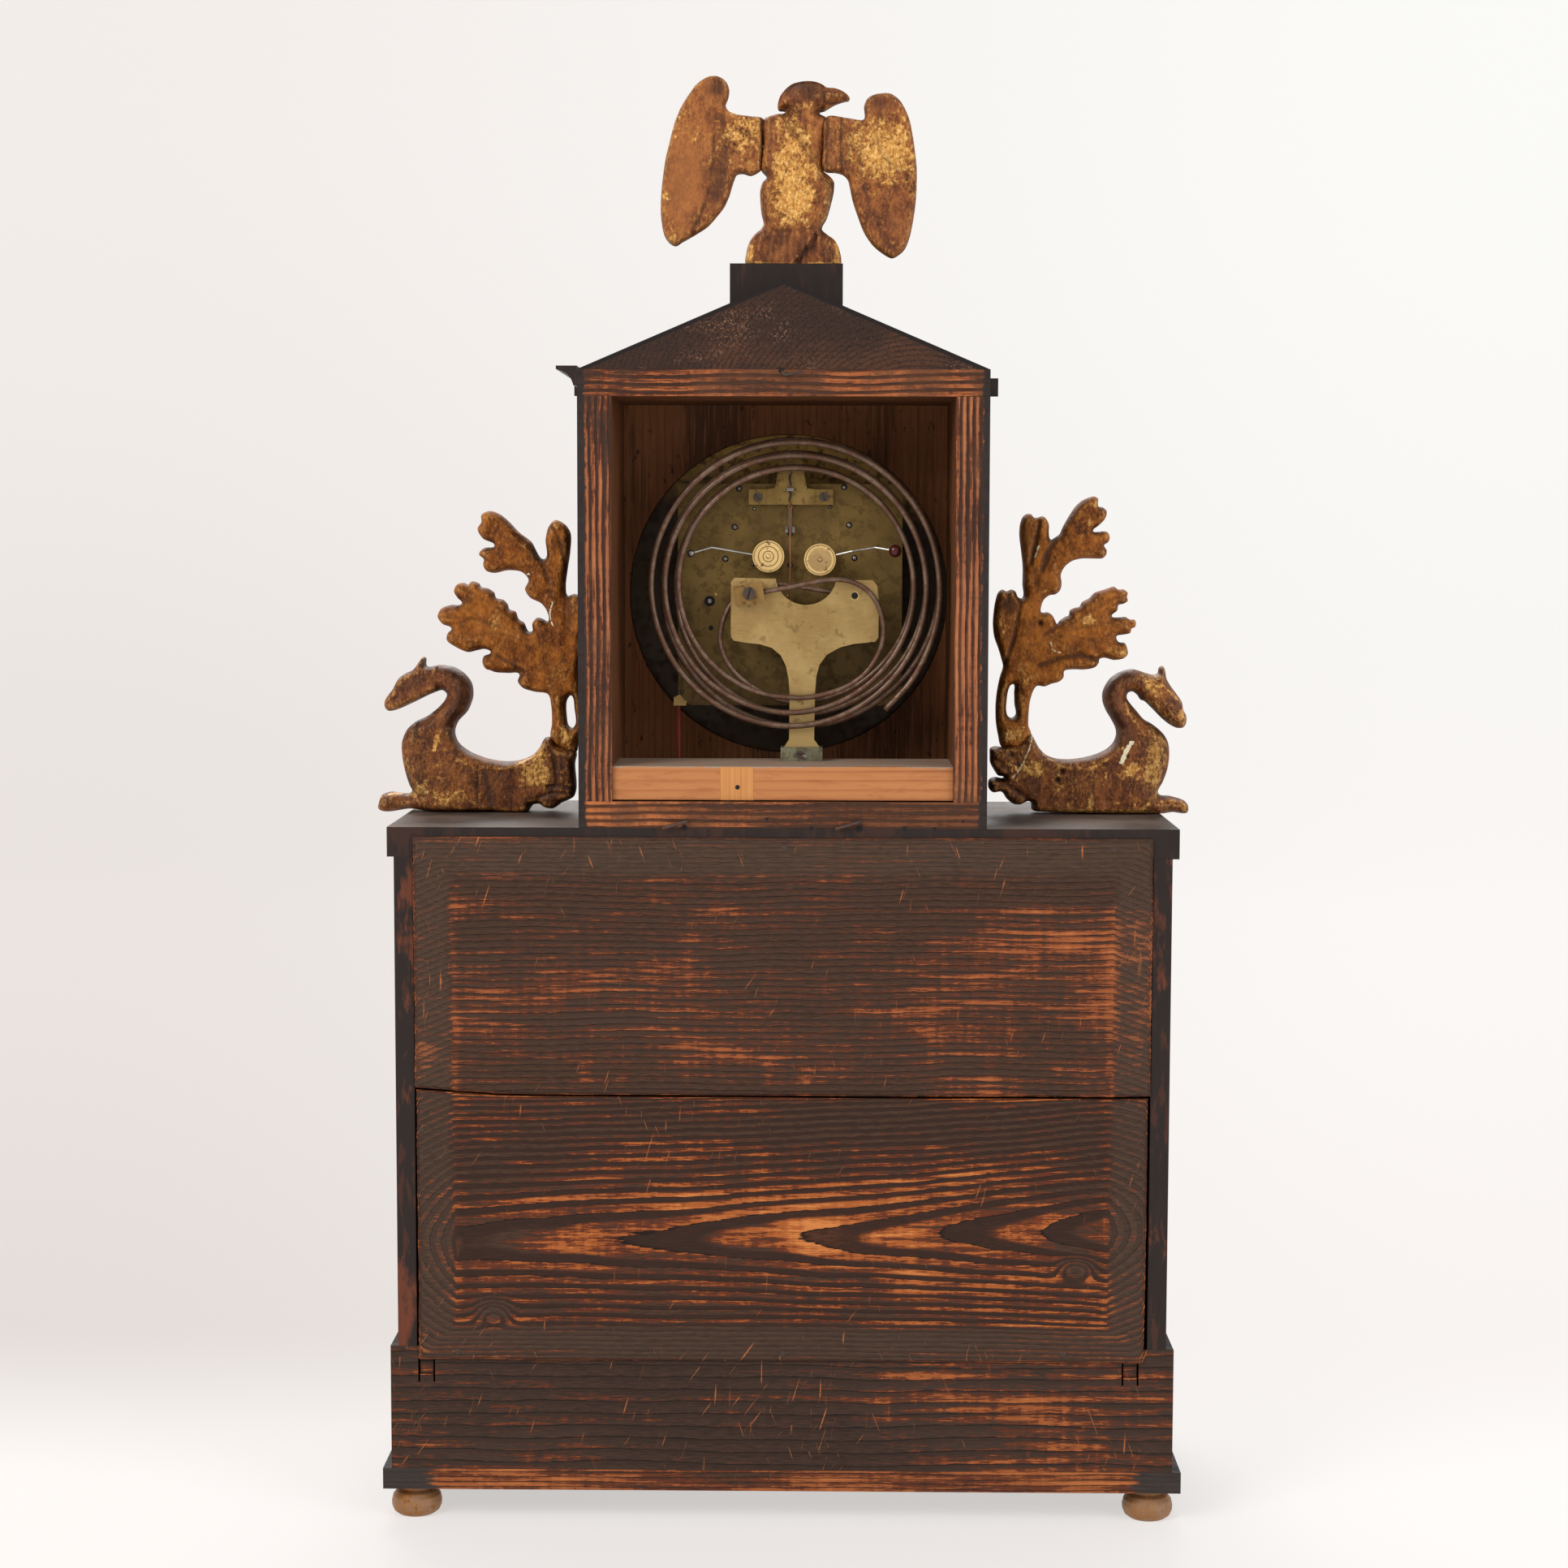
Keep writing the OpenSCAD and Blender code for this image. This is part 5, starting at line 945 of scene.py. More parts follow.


# the darkening laid along carved grooves and into holes is painted shade; the broader dark patches are grime
def paint_swan_left(f, rb, rf):
    U = f.U
    x, y = U[:, 0], U[:, 1]
    neck = (y < 1120) & (x < 520)
    rb[neck] = 5.2
    rf[neck] = 6
    head = (x < 345) & (y < 1060)
    rb[head] = 2.4
    soft = np.exp(-((x - 190) / 70)**2) * (y > 1080)
    rb += soft * 5
    f.blob(235, 930, 75, 38, -24, tone=-0.15, gold=-0.1, dirt=0.25)
    f.line([(150, 985), (160, 930), (230, 890), (300, 872)], 8, back=0.5, gold=0.15)
    f.line([(165, 945), (175, 985), (150, 1000)], 7, back=-0.6, dirt=0.7)
    f.line([(112, 1035), (160, 1040), (250, 1005), (330, 965)], 8, back=-0.3, gold=0.2)
    f.line([(318, 866), (322, 900), (342, 960)], 6, back=-0.5, white=0.35, dirt=0.4)
    f.blob(325, 885, 9, 16, white=0.65)
    f.line([(400, 860), (455, 930), (440, 1030), (390, 1120)], 22, tone=-0.45, gold=-0.5, back=0.3)
    f.line([(350, 1000), (300, 1060), (230, 1110)], 26, tone=-0.4, gold=-0.5)
    f.line([(462, 940), (462, 990), (430, 1060), (390, 1130)], 7, back=-0.35, dirt=0.3, gold=0.25)
    for k in range(7):
        o = k * 15
        f.line([(262 - k * 3, 1110 + k * 9), (205 + o, 1180), (196 + o, 1260), (210 + o, 1350), (262 + o * 0.4, 1440)], 5.0, back=-0.62, dirt=0.55, gold=0.12)
    f.blob(225, 1250, 60, 160, gold=0.10, tone=0.0)
    f.line([(345, 1165), (332, 1225)], 9, white=0.2, gold=0.8, back=-0.3)
    f.line([(370, 1120), (352, 1190), (420, 1260), (520, 1305), (640, 1310), (740, 1280)], 8, back=0.35, gold=0.30)
    f.blob(400, 1370, 170, 120, gold=0.10, tone=0.05, soft=4)
    f.blob(430, 1440, 150, 40, gold=0.28)
    f.line([(527, 1305), (526, 1495)], 4, back=-0.7, dirt=0.95)
    f.line([(555, 1325), (578, 1400), (590, 1500)], 9, back=-0.2, dirt=0.7, tone=-0.3)
    f.line([(632, 1325), (590, 1390), (540, 1470)], 4.5, back=-0.4, dirt=0.85)
    f.blob(600, 1400, 60, 90, gold=-0.25, tone=-0.1)
    f.blob(790, 1300, 60, 110, 10, gold=0.5)
    f.blob(800, 1350, 55, 40, gold=0.35)
    for k in range(6):
        f.line([(790, 1265 + 26 * k), (850, 1255 + 26 * k), (880, 1290 + 20 * k)], 5, back=-0.35, dirt=0.25)
    f.line([(830, 1180), (870, 1250), (885, 1370)], 8, back=-1.0, dirt=0.9)
    f.line([(930, 1230), (950, 1300), (945, 1370)], 8, back=-0.9, dirt=0.9)
    f.blob(940, 1198, 13, 11, back=-2.0, dirt=1.0)
    f.line([(840, 1395), (900, 1385), (955, 1405)], 9, back=-1.0, dirt=0.8)
    f.line([(800, 1440), (860, 1420), (950, 1420)], 7, back=-0.8, dirt=0.7)
    f.line([(850, 1460), (905, 1455), (950, 1450)], 6, back=-0.6, dirt=0.6)
    f.blob(750, 1470, 12, 10, back=-1.2, dirt=1.0)
    f.line([(90, 1470), (150, 1440), (250, 1432)], 9, back=0.6, gold=0.15)
    f.line([(85, 1445), (140, 1428), (240, 1424)], 5, gold=0.6)
    f.line([(230, 1425), (275, 1450), (290, 1490)], 8, back=-0.6, gold=0.4, dirt=0.3)
    f.v["back"] += 0.22 * nz(U, 0.035, 5)
    f.v["front"] += np.where((y > 1150) & (x < 760), scallops(U, 0, 72, 58, 0.9), 0)


# the darkening laid along carved grooves and into holes is painted shade; the broader dark patches are grime
def paint_foliage_left(f, rb, rf):
    U = f.U
    for p in ([(880, 790), (700, 700), (540, 640), (350, 630)], [(800, 740), (640, 600), (520, 530), (430, 490)], [(770, 735), (600, 700), (480, 725), (390, 728)]):
        f.line(p, 22, both=0.55, tone=0.05)
        f.line(p, 5, both=-0.5, dirt=0.4)
    for p in ([(600, 670), (520, 640), (440, 660)], [(500, 520), (480, 560), (455, 570)], [(640, 610), (600, 540), (560, 500)], [(700, 690), (690, 620), (640, 560)],
              [(560, 650), (500, 600), (440, 590)], [(760, 735), (740, 690), (700, 640)], [(560, 700), (540, 760), (500, 785)], [(650, 700), (620, 760), (580, 780)]):
        f.line(p, 7, both=-0.55, dirt=0.25)
    f.line([(840, 850), (700, 845), (550, 830)], 14, both=0.4)
    f.line([(610, 800), (700, 850), (740, 880)], 9, back=-0.9, dirt=0.8)
    f.line([(720, 940), (790, 960), (850, 975)], 20, both=0.4)
    for p in ([(860, 600), (850, 480), (780, 370), (700, 300), (600, 235), (540, 232)], [(700, 300), (640, 220), (560, 175)], [(740, 370), (640, 345), (545, 350)], [(745, 385), (660, 395), (580, 425)]):
        f.line(p, 15, both=0.45)
        f.line(p, 4, both=-0.35, dirt=0.3)
    f.line([(700, 260), (760, 310), (820, 380), (850, 470)], 9, back=-0.7, dirt=0.7)
    for k in range(6):
        f.line([(610 + k * 22, 210 + k * 14), (590 + k * 24, 250 + k * 14)], 6, back=-0.3, dirt=0.35)
    f.blob(765, 510, 34, 36, both=1.4, tone=-0.15)
    f.line([(745, 480), (735, 520), (750, 550)], 5, back=-0.5, dirt=0.6)
    f.line([(868, 225), (905, 300), (925, 400), (918, 470)], 6, both=-0.9, dirt=0.85)
    f.blob(875, 320, 26, 100, both=0.9, tone=0.05)
    f.blob(925, 300, 14, 90, both=0.4, tone=-0.3, dirt=0.3)
    f.blob(880, 222, 26, 20, white=0.25, gold=0.4)
    f.line([(868, 560), (852, 620), (868, 672)], 5, white=0.9, back=0.1)
    f.blob(757, 438, 14, 14, white=0.8)
    f.blob(935, 516, 14, 20, white=0.85)
    f.line([(940, 545), (940, 660)], 16, back=-0.8, tone=-0.2, dirt=0.35)
    f.line([(925, 500), (922, 600), (925, 660)], 5, back=-0.6, dirt=0.6)
    f.line([(885, 400), (880, 560), (900, 700), (920, 900)], 12, both=0.5)
    f.line([(800, 700), (830, 800), (870, 930)], 9, back=-0.35, dirt=0.3)
    f.line([(985, 830), (975, 760), (990, 700)], 8, back=-0.7, dirt=0.6)
    for p in ([(875, 990), (880, 1080), (865, 1180), (890, 1300)], [(905, 990), (905, 1100), (895, 1200), (910, 1300)], [(975, 960), (985, 1060), (975, 1150), (940, 1250)]):
        f.line(p, 5, back=-0.6, dirt=0.5)
    f.blob(910, 990, 60, 40, gold=0.1)
    f.blob(870, 880, 60, 50, gold=0.14, tone=0.2)
    f.blob(540, 640, 190, 110, gold=-0.04, tone=0.12)
    f.blob(620, 640, 70, 60, gold=0.25)
    f.blob(470, 740, 60, 30, gold=0.22)
    f.blob(930, 1170, 30, 50, gold=0.45)
    f.v["back"] += 0.3 * nz(U, 0.02, 9)


# the darkening laid along carved grooves and into holes is painted shade; the broader dark patches are grime
def paint_swan_right(f, rb, rf):
    U = f.U
    x, y = U[:, 0], U[:, 1]
    neck = (y < 1130) & (x > 570)
    rb[neck] = 5.2
    rf[neck] = 6
    rb += 5 * np.exp(-((x - 860) / 60)**2) * (y > 1090)
    f.line([(700, 890), (640, 900), (612, 960), (625, 1040), (670, 1110), (690, 1180)], 24, tone=-0.45, gold=-0.45, back=0.2)
    f.blob(780, 930, 60, 45, 25, gold=0.35, back=0.2)
    f.line([(715, 872), (760, 885), (830, 895)], 12, dirt=0.6, gold=0.3)
    f.blob(855, 1010, 60, 45, 42, gold=0.2, tone=-0.1)
    f.line([(840, 930), (900, 985), (935, 1010)], 8, back=0.5, gold=0.4)
    f.line([(885, 1000), (912, 1035), (905, 1070)], 6, back=-0.5, dirt=0.7)
    f.line([(780, 1000), (850, 1065), (905, 1100)], 7, back=-0.4, gold=0.3, dirt=0.3)
    f.blob(930, 1070, 20, 34, gold=0.4)
    f.line([(680, 1010), (690, 1060), (740, 1120), (760, 1170)], 8, back=0.4, gold=0.35)
    f.line([(770, 960), (755, 1000)], 10, dirt=0.7)
    for k in range(7):
        o = k * 15
        f.line([(790 + k * 2, 1115 + k * 10), (862 - o, 1180), (872 - o, 1260), (856 - o, 1350), (810 - o * 0.4, 1430)], 5.0, back=-0.62, dirt=0.55, gold=0.14)
    f.blob(815, 1260, 50, 90, gold=0.3)
    f.blob(790, 1340, 45, 40, gold=0.5)
    f.blob(700, 1320, 40, 26, -20, gold=0.5, back=-0.3)
    f.line([(705, 1190), (680, 1230), (660, 1275)], 20, white=0.75, back=0.2)
    f.blob(688, 1250, 7, 7, back=-1.5, dirt=1.0)
    f.line([(270, 1180), (330, 1262), (420, 1305), (540, 1302), (640, 1240), (690, 1180)], 8, back=0.35, gold=0.30)
    f.line([(268, 1150), (245, 1230), (205, 1310), (175, 1350)], 6, white=0.8, back=-0.2)
    f.line([(252, 1150), (232, 1230), (196, 1300)], 4, dirt=0.8, back=-0.4)
    for a, b, r in ((397, 1318, 9), (378, 1358, 11), (200, 1190, 14), (170, 1245, 13), (120, 1350, 16)):
        f.blob(a, b, r, back=-2.0, dirt=1.0)
    f.blob(270, 1310, 90, 60, gold=0.45)
    f.blob(170, 1170, 50, 40, gold=0.4)
    f.blob(250, 1360, 30, 30, gold=-0.4, tone=-0.2)
    f.line([(535, 1320), (528, 1400), (540, 1500)], 6, back=-0.5, dirt=0.6, gold=0.2)
    f.line([(525, 1440), (520, 1500)], 10, gold=0.5)
    f.line([(445, 1290), (450, 1360), (430, 1420)], 6, back=-0.4, dirt=0.4)
    f.line([(270, 1495), (500, 1500), (830, 1505)], 9, gold=0.35)
    f.line([(90, 1260), (140, 1300), (160, 1330)], 8, back=-0.6, dirt=0.5)
    f.line([(80, 1390), (150, 1380), (240, 1440)], 8, back=-0.8, dirt=0.7)
    f.line([(160, 1440), (200, 1450), (240, 1430)], 7, back=-0.5, dirt=0.5)
    f.blob(430, 1400, 130, 80, gold=0.12, soft=3)
    f.line([(840, 1455), (900, 1450), (955, 1470)], 7, back=0.5, gold=0.3)
    f.line([(850, 1480), (900, 1478), (960, 1490)], 5, back=-0.5, dirt=0.6)
    f.line([(735, 1505), (800, 1450), (838, 1410)], 10, back=-0.4, gold=0.35, dirt=0.3)
    f.v["back"] += 0.22 * nz(U, 0.035, 15)
    f.v["front"] += np.where((y > 1150) & (x > 280), scallops(U, 180, 72, 58, 0.9), 0)


# the darkening laid along carved grooves and into holes is painted shade; the broader dark patches are grime
def paint_foliage_right(f, rb, rf):
    U = f.U
    for p in ([(250, 760), (400, 690), (560, 662), (718, 656)], [(400, 680), (520, 600), (620, 545), (680, 522)], [(420, 710), (560, 740), (640, 770), (685, 790)]):
        f.line(p, 22, both=0.5, tone=0.05)
        f.line(p, 5, both=-0.5, dirt=0.4)
    for p in ([(480, 640), (480, 600), (440, 600)], [(560, 580), (560, 540), (545, 525)], [(560, 665), (620, 640), (650, 640)], [(520, 730), (560, 790), (600, 805)],
              [(600, 660), (660, 680), (690, 690)], [(580, 600), (620, 600), (640, 590)], [(440, 680), (420, 640), (430, 620)], [(600, 750), (640, 740), (670, 760)]):
        f.line(p, 7, both=-0.5, dirt=0.25)
    f.line([(290, 845), (380, 812), (470, 800), (560, 820)], 10, back=-1.1, dirt=0.9)
    f.line([(300, 870), (420, 840), (540, 840)], 16, both=0.4)
    f.line([(280, 900), (350, 900), (400, 890)], 14, both=0.3)
    f.blob(340, 640, 32, 30, both=0.6)
    f.blob(293, 655, 9, 12, back=-2.0, dirt=1.0)
    f.blob(383, 714, 6, 6, back=-1.0, dirt=0.9)
    f.line([(370, 660), (340, 690), (310, 710)], 8, back=-0.6, dirt=0.7)
    f.line([(340, 742), (350, 775), (390, 790)], 4.5, white=0.85, gold=0.3)
    for p in ([(230, 600), (300, 460), (370, 330), (440, 230), (530, 100)], [(440, 250), (520, 190), (582, 160)], [(430, 300), (520, 272), (598, 270)], [(390, 350), (490, 335), (585, 345)]):
        f.line(p, 16, both=0.45)
        f.line(p, 4, both=-0.3, dirt=0.3)
    f.line([(352, 286), (320, 350), (298, 420)], 13, back=-0.8, dirt=0.75, tone=-0.2)
    f.line([(510, 245), (540, 250)], 8, back=-0.5, dirt=0.5)
    f.blob(365, 490, 30, 34, both=0.8, tone=-0.1)
    f.line([(340, 470), (345, 510)], 6, back=-0.4, dirt=0.3)
    f.blob(232, 280, 26, 110, both=-0.3, white=0.30, dirt=0.5, tone=0.3)
    f.line([(288, 200), (270, 290), (248, 392)], 8, both=-1.3, dirt=1.0)
    f.blob(308, 260, 22, 80, 8, both=0.7, tone=0.15)
    f.line([(283, 308), (268, 362)], 8, white=0.75)
    f.line([(262, 180), (270, 205)], 8, white=0.5, back=-0.5)
    f.blob(150, 570, 46, 50, dirt=0.7, tone=-0.3, both=0.6)
    f.line([(150, 512), (150, 560)], 6, both=-0.8, dirt=0.8)
    f.line([(205, 555), (188, 660), (165, 760), (138, 840)], 8, back=-1.0, dirt=0.85)
    f.blob(125, 680, 30, 60, gold=0.2, both=0.4)
    f.line([(240, 560), (230, 700), (200, 860), (215, 940)], 12, both=0.4, tone=0.1)
    f.line([(205, 870), (210, 940), (222, 1010)], 5, back=-0.6, dirt=0.6)
    f.line([(120, 1000), (118, 1080), (135, 1160)], 6, back=-0.4, dirt=0.4, gold=0.2)
    f.line([(232, 980), (232, 1060), (222, 1140)], 5, back=-0.5, dirt=0.4, gold=0.2)
    f.blob(500, 640, 40, 26, gold=0.5)
    f.blob(505, 205, 10, 22, gold=0.7)
    f.blob(538, 125, 10, 16, gold=0.7)
    f.blob(465, 270, 14, 12, gold=0.8)
    f.blob(310, 515, 14, 10, gold=0.6)
    f.blob(670, 790, 30, 20, gold=0.4)
    f.blob(230, 880, 30, 60, gold=0.3)
    f.blob(180, 1160, 50, 40, gold=0.45)
    f.blob(420, 620, 300, 240, tone=0.12)
    f.v["back"] += 0.3 * nz(U, 0.02, 19)


eb_o = carve("eagle_body_carved", [X10(EB)], [], eagle_mm, (7, 31), 0.62, 3.2, 8.5, paint_eagle_body, "gilt_eagle", "eagle_body", unit=0.0872, wob=0.35)
wl_o = carve("eagle_wing_left", [X10(WL)], [], eagle_mm, (19, 29), 0.5, 2.2, 3.2, lambda f, a, b: wing(f, -1, a, b), "gilt_eagle", "eagle_wings", unit=0.0872, wob=0.5)
wr_o = carve("eagle_wing_right", [X10(WR)], [], eagle_mm, (19, 29), 0.5, 2.2, 3.2, lambda f, a, b: wing(f, 1, a, b), "gilt_eagle", "eagle_wings", unit=0.0872, wob=0.5)
sl_o = carve("swan_left", [X10(SW)], [], left_mm, (-22, 0), 0.55, 3.0, 8.0, paint_swan_left, "gilt_swan", "swans", unit=0.1036, wob=0.25)
sr_o = carve("swan_right", [SR], [], right_mm, (-22, 0), 0.55, 3.0, 8.0, paint_swan_right, "gilt_swan", "swans", unit=0.1036, wob=0.25)
fl_o = carve("foliage_left", [X10(FO)], [X10(FS)], left_mm, (-16, -2), 0.5, 3.6, 4.5, paint_foliage_left, "gilt_leaf", "foliage_sprays", unit=0.1036, wob=0.45)
fr_o = carve("foliage_right", [FR], [FRH], right_mm, (-16, -2), 0.5, 3.6, 4.5, paint_foliage_right, "gilt_leaf", "foliage_sprays", unit=0.1036, wob=0.45)
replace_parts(eb_o, "eagle_body")
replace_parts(wl_o, "eagle_wings")
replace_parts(wr_o, "eagle_wings")
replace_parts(sl_o, "swans")
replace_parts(sr_o, "swans")
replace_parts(fl_o, "foliage_sprays")
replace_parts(fr_o, "foliage_sprays")
# ------------------------------------------------------------------ the two back boards, and other old stained boards
def board_mat(name, field, t1=0.13, t0=0.02, line=(0.62, 0.95), line_amt=0.85, seed=0.0, painted=True, along="x", tongue=0.0, dark=None, light=None,
              mid=None, scr=0.8, grey=0.5, relief=0.00022, sc=1.0, after=None, high=None):
    nt = NT(name)
    x, y, z, p = nt.xyz()
    S = lambda a, c, o: stretch(nt, along, a * sc, c * sc, o)
    n_a = nt.noise(S(0.010, 0.022, seed), 1, 3, 0.5)
    n_b = nt.noise(S(0.028, 0.50, seed + 5), 1, 3, 0.6)
    n_c = nt.noise(S(0.20, 1.9, seed + 9), 1, 3, 0.65)
    n_v = nt.noise(S(0.30, 0.035, seed + 13), 1, 2, 0.6)
    n_f = nt.noise(S(0.06, 4.0, seed + 17), 1, 2, 0.6)
    n_r = nt.noise(S(0.012, 0.02, seed + 21), 1, 2, 0.5)
    F = nt.lin((1.0, field(nt)), (1.5, nt.sub(n_r, 0.5)), (0.22, nt.sub(n_b, 0.5)), (0.14, nt.sub(n_c, 0.5)))
    if painted:
        q = nt.n("SeparateColor")
        nt.put(q.inputs[0], nt.attr("paint"))
        pw, pk, pg = q.outputs[0], q.outputs[1], q.outputs[2]
        F = nt.add(F, nt.mul(pk, 3.0))
    saw = nt.m("FRACT", F)
    wn = nt.n("TexWhiteNoise", noise_dimensions="1D")
    nt.put(wn.inputs["W"], nt.m("FLOOR", F))
    ring = wn.outputs["Value"]
    L = nt.mul(nt.mapr(saw, line[0], line[1]), nt.mapr(saw, 0.985, 1.0, 1.0, 0.0))
    D = nt.mul(nt.mapr(saw, 0.88, 0.93), nt.mapr(saw, 0.985, 1.0, 1.0, 0.0))
    w = nt.lin((0.9, n_a), (1.0, n_b), (0.62, n_c), (0.24, n_v), (0.10, ring), (-0.10 - tongue, L), -1.40)
    if painted:
        w = nt.add(w, nt.mul(nt.sub(pw, 0.5), 0.8))
    W1 = nt.mapr(w, t1, t1 + 0.05)
    W0 = nt.mapr(w, t0 - 0.05, t0 + 0.09)
    W2 = nt.mapr(w, t1 + 0.12, t1 + 0.30)
    dark = dark or srgb(66, 46, 35)
    light = light or srgb(172, 96, 50)
    mid = mid or srgb(98, 50, 30)
    dk = nt.mix(nt.mapr(n_c, 0.35, 0.65), tuple(c * 0.72 for c in dark), tuple(c * 1.22 for c in dark))
    dk = nt.mix(nt.mul(nt.mapr(n_a, 0.4, 0.62), grey), dk, srgb(66, 52, 44))
    col = nt.mix(W0, dk, nt.mix(n_f, tuple(c * 0.6 for c in mid), tuple(c * 1.25 for c in mid)))
    lt = nt.mix(n_f, tuple(c * 0.62 for c in light), tuple(min(1, c * 1.18) for c in light))
    lt = nt.mix(nt.mul(W2, 0.7), lt, high or srgb(206, 130, 74))
    col = nt.mix(W1, col, lt)
    if tongue:
        tg = nt.mul(L, nt.mapr(n_b, 0.30, 0.5, 0.75, 1.0))
        col = nt.mix(nt.mul(tg, line_amt), col, nt.mix(n_c, srgb(36, 23, 18), srgb(58, 38, 30)))
        edge = nt.mul(nt.mapr(saw, 0.93, 0.97), nt.mapr(saw, 0.985, 1.0, 1.0, 0.0))
        col = nt.mix(nt.mul(edge, 0.8), col, srgb(24, 15, 12))
    else:
        col = nt.mix(nt.mul(L, 0.35), col, tuple(c * 0.5 for c in dark))
        col = nt.mix(nt.mul(D, line_amt), col, srgb(30, 20, 16))
    if painted:
        col = nt.mix(nt.mul(pg, nt.mapr(n_c, 0.3, 0.6, 0.35, 0.85)), col, nt.mix(n_f, srgb(50, 38, 32), srgb(96, 78, 64)))
        col = nt.mix(nt.mul(nt.mul(pg, D), 0.8), col, srgb(34, 24, 20))
    for ang, sx, sz_, th, gs in ((0.30, 0.9, 0.05, 0.685, 3.0), (-0.35, 1.1, 0.06, 0.70, 7.0), (0.05, 0.6, 0.04, 0.68, 11.0), (0.62, 1.1, 0.045, 0.70, 15.0)):
        a1 = nt.n("VectorRotate", rotation_type="Y_AXIS")
        nt.put(a1.inputs["Vector"], p)
        a1.inputs["Angle"].default_value = ang
        m1 = nt.n("Mapping")
        nt.put(m1.inputs[0], a1.outputs[0])
        m1.inputs["Scale"].default_value = (sx, 0.2, sz_)
        m1.inputs["Location"].default_value = (gs, 0, gs)
        s1 = nt.noise(m1.outputs[0], 1, 2, 0.5)
        gate = nt.noise(nt.sv(0.02, 0.02, 0.03, seed + gs), 1, 2, 0.5)
        Sx = nt.mul(nt.mul(nt.mapr(s1, th, th + 0.06), nt.mapr(gate, 0.46, 0.6)), nt.mapr(n_c, 0.3, 0.55, 0.35, 1.0))
        col = nt.mix(nt.mul(Sx, scr), col, srgb(178, 106, 60))
    if after:
        col = after(nt, col)
    r = nt.lin((-0.14, W0), (0.12, n_c), (0.10, n_a), 0.50)
    h = nt.lin((1.0, L), (0.55, n_f), (-0.35, W1), (0.6, n_c))
    return nt.done(col, r, 0.0, nt.bump(h, relief, 0.9, nt.soft_edge(0.0005)), Specular_IOR_Level=0.14)


def f_upper(nt):
    x, y, z, p = nt.xyz()
    depth = nt.sub(70.0, y)
    wob = nt.noise(nt.sv(0.02, 0.0, 0.008, 40), 1, 2, 0.5)
    return nt.lin((1 / 2.9, z), (3.4 / 2.9, depth), (0.0016, x), (0.8, wob))


def f_lower(nt):
    x, y, z, p = nt.xyz()
    depth = nt.sub(70.0, y)
    x2 = nt.mul(x, x)
    # the heart's depth under the face grows along the board, so the rings end in long tongues
    fa = nt.lin((0.0150, x), (-0.000038, x2), 2.2)
    d = nt.lin((3.2075, fa), (5.0, depth), 34.32)
    dz = nt.sub(nt.sub(z, 132.0), nt.mul(x, -0.022))
    k = nt.m("SQRT", nt.add(nt.mul(dz, dz), 60.0))
    # the rings crowd together away from the middle
    return nt.lin((1 / 3.4, nt.m("SQRT", nt.add(nt.mul(d, d), nt.mul(dz, dz)))), (0.085, k), -0.659)


M["back_upper"] = board_mat("back_upper", f_upper, t1=0.150, t0=0.03, line=(0.40, 0.95), line_amt=0.95, seed=1.0, tongue=0.0,
                            light=srgb(150, 82, 46), mid=srgb(92, 50, 33), high=srgb(186, 112, 64))
M["back_lower"] = board_mat("back_lower", f_lower, t1=0.095, t0=-0.03, line=(0.42, 0.62), line_amt=0.92, seed=5.0, tongue=0.10, grey=0.4,
                            light=srgb(162, 88, 42), mid=srgb(98, 47, 27), high=srgb(208, 132, 72))


def black_ends(nt, col):
    """ends of the base left black"""
    x, y, z, p = nt.xyz()
    rag = nt.noise(nt.sv(0.08, 0.3, 0.9, 52), 1, 3, 0.6)
    E = nt.mapr(nt.add(nt.m("ABSOLUTE", x), nt.mul(nt.sub(rag, 0.5), 26.0)), 156.0, 160.0)
    return black_front(nt, nt.mix(E, col, nt.mix(rag, srgb(34, 30, 30), srgb(72, 62, 56))), 0.3)


def black_edges(nt, col):
    """an ebonised skin on the outer faces, and quieter wood on the inner ones"""
    x, y, z, p = nt.xyz()
    g = nt.n("NewGeometry")
    q = nt.n("SeparateXYZ")
    nt.t.links.new(g.outputs["Normal"], q.inputs[0])
    ax = nt.m("ABSOLUTE", x)
    rag = nt.noise(nt.sv(0.1, 0.3, 0.25, 50), 1, 3, 0.6)
    rear = nt.mapr(q.outputs[1], 0.4, 0.6)
    f = nt.noise(nt.sv(0.9, 0.9, 0.05, 51), 1, 3, 0.6)
    calm = nt.mix(f, srgb(84, 50, 30), srgb(124, 79, 50))
    col = nt.mix(rear, calm, col)
    n1 = nt.noise(nt.sv(0.03, 0.2, 0.03, 54), 1, 4, 0.65)
    n2 = nt.noise(nt.sv(0.5, 0.5, 0.5, 55), 1, 3, 0.65)
    # grime in noise patches, heavier towards the stiles' ends and outer edges, where the darkening also stands in for
    # painted shade at the joints
    near = nt.m("MAXIMUM", nt.mapr(nt.m("ABSOLUTE", nt.sub(z, 420.0)), 70.0, 97.0, 0.0, 0.13), nt.mapr(ax, 60.0, 88.0, 0.0, 0.05))
    dirt = nt.mapr(nt.add(nt.lin((0.8, n1), (0.25, n2)), near), 0.55, 0.70)
    col = nt.mix(nt.mul(dirt, 0.7), col, nt.mix(n2, srgb(52, 36, 28), srgb(86, 56, 40)))
    E = nt.mapr(nt.add(ax, nt.mul(nt.sub(rag, 0.5), 5.0)), 86.6, 87.6)
    return black_front(nt, nt.mix(E, col, nt.mix(rag, srgb(30, 26, 26), srgb(58, 48, 44))))


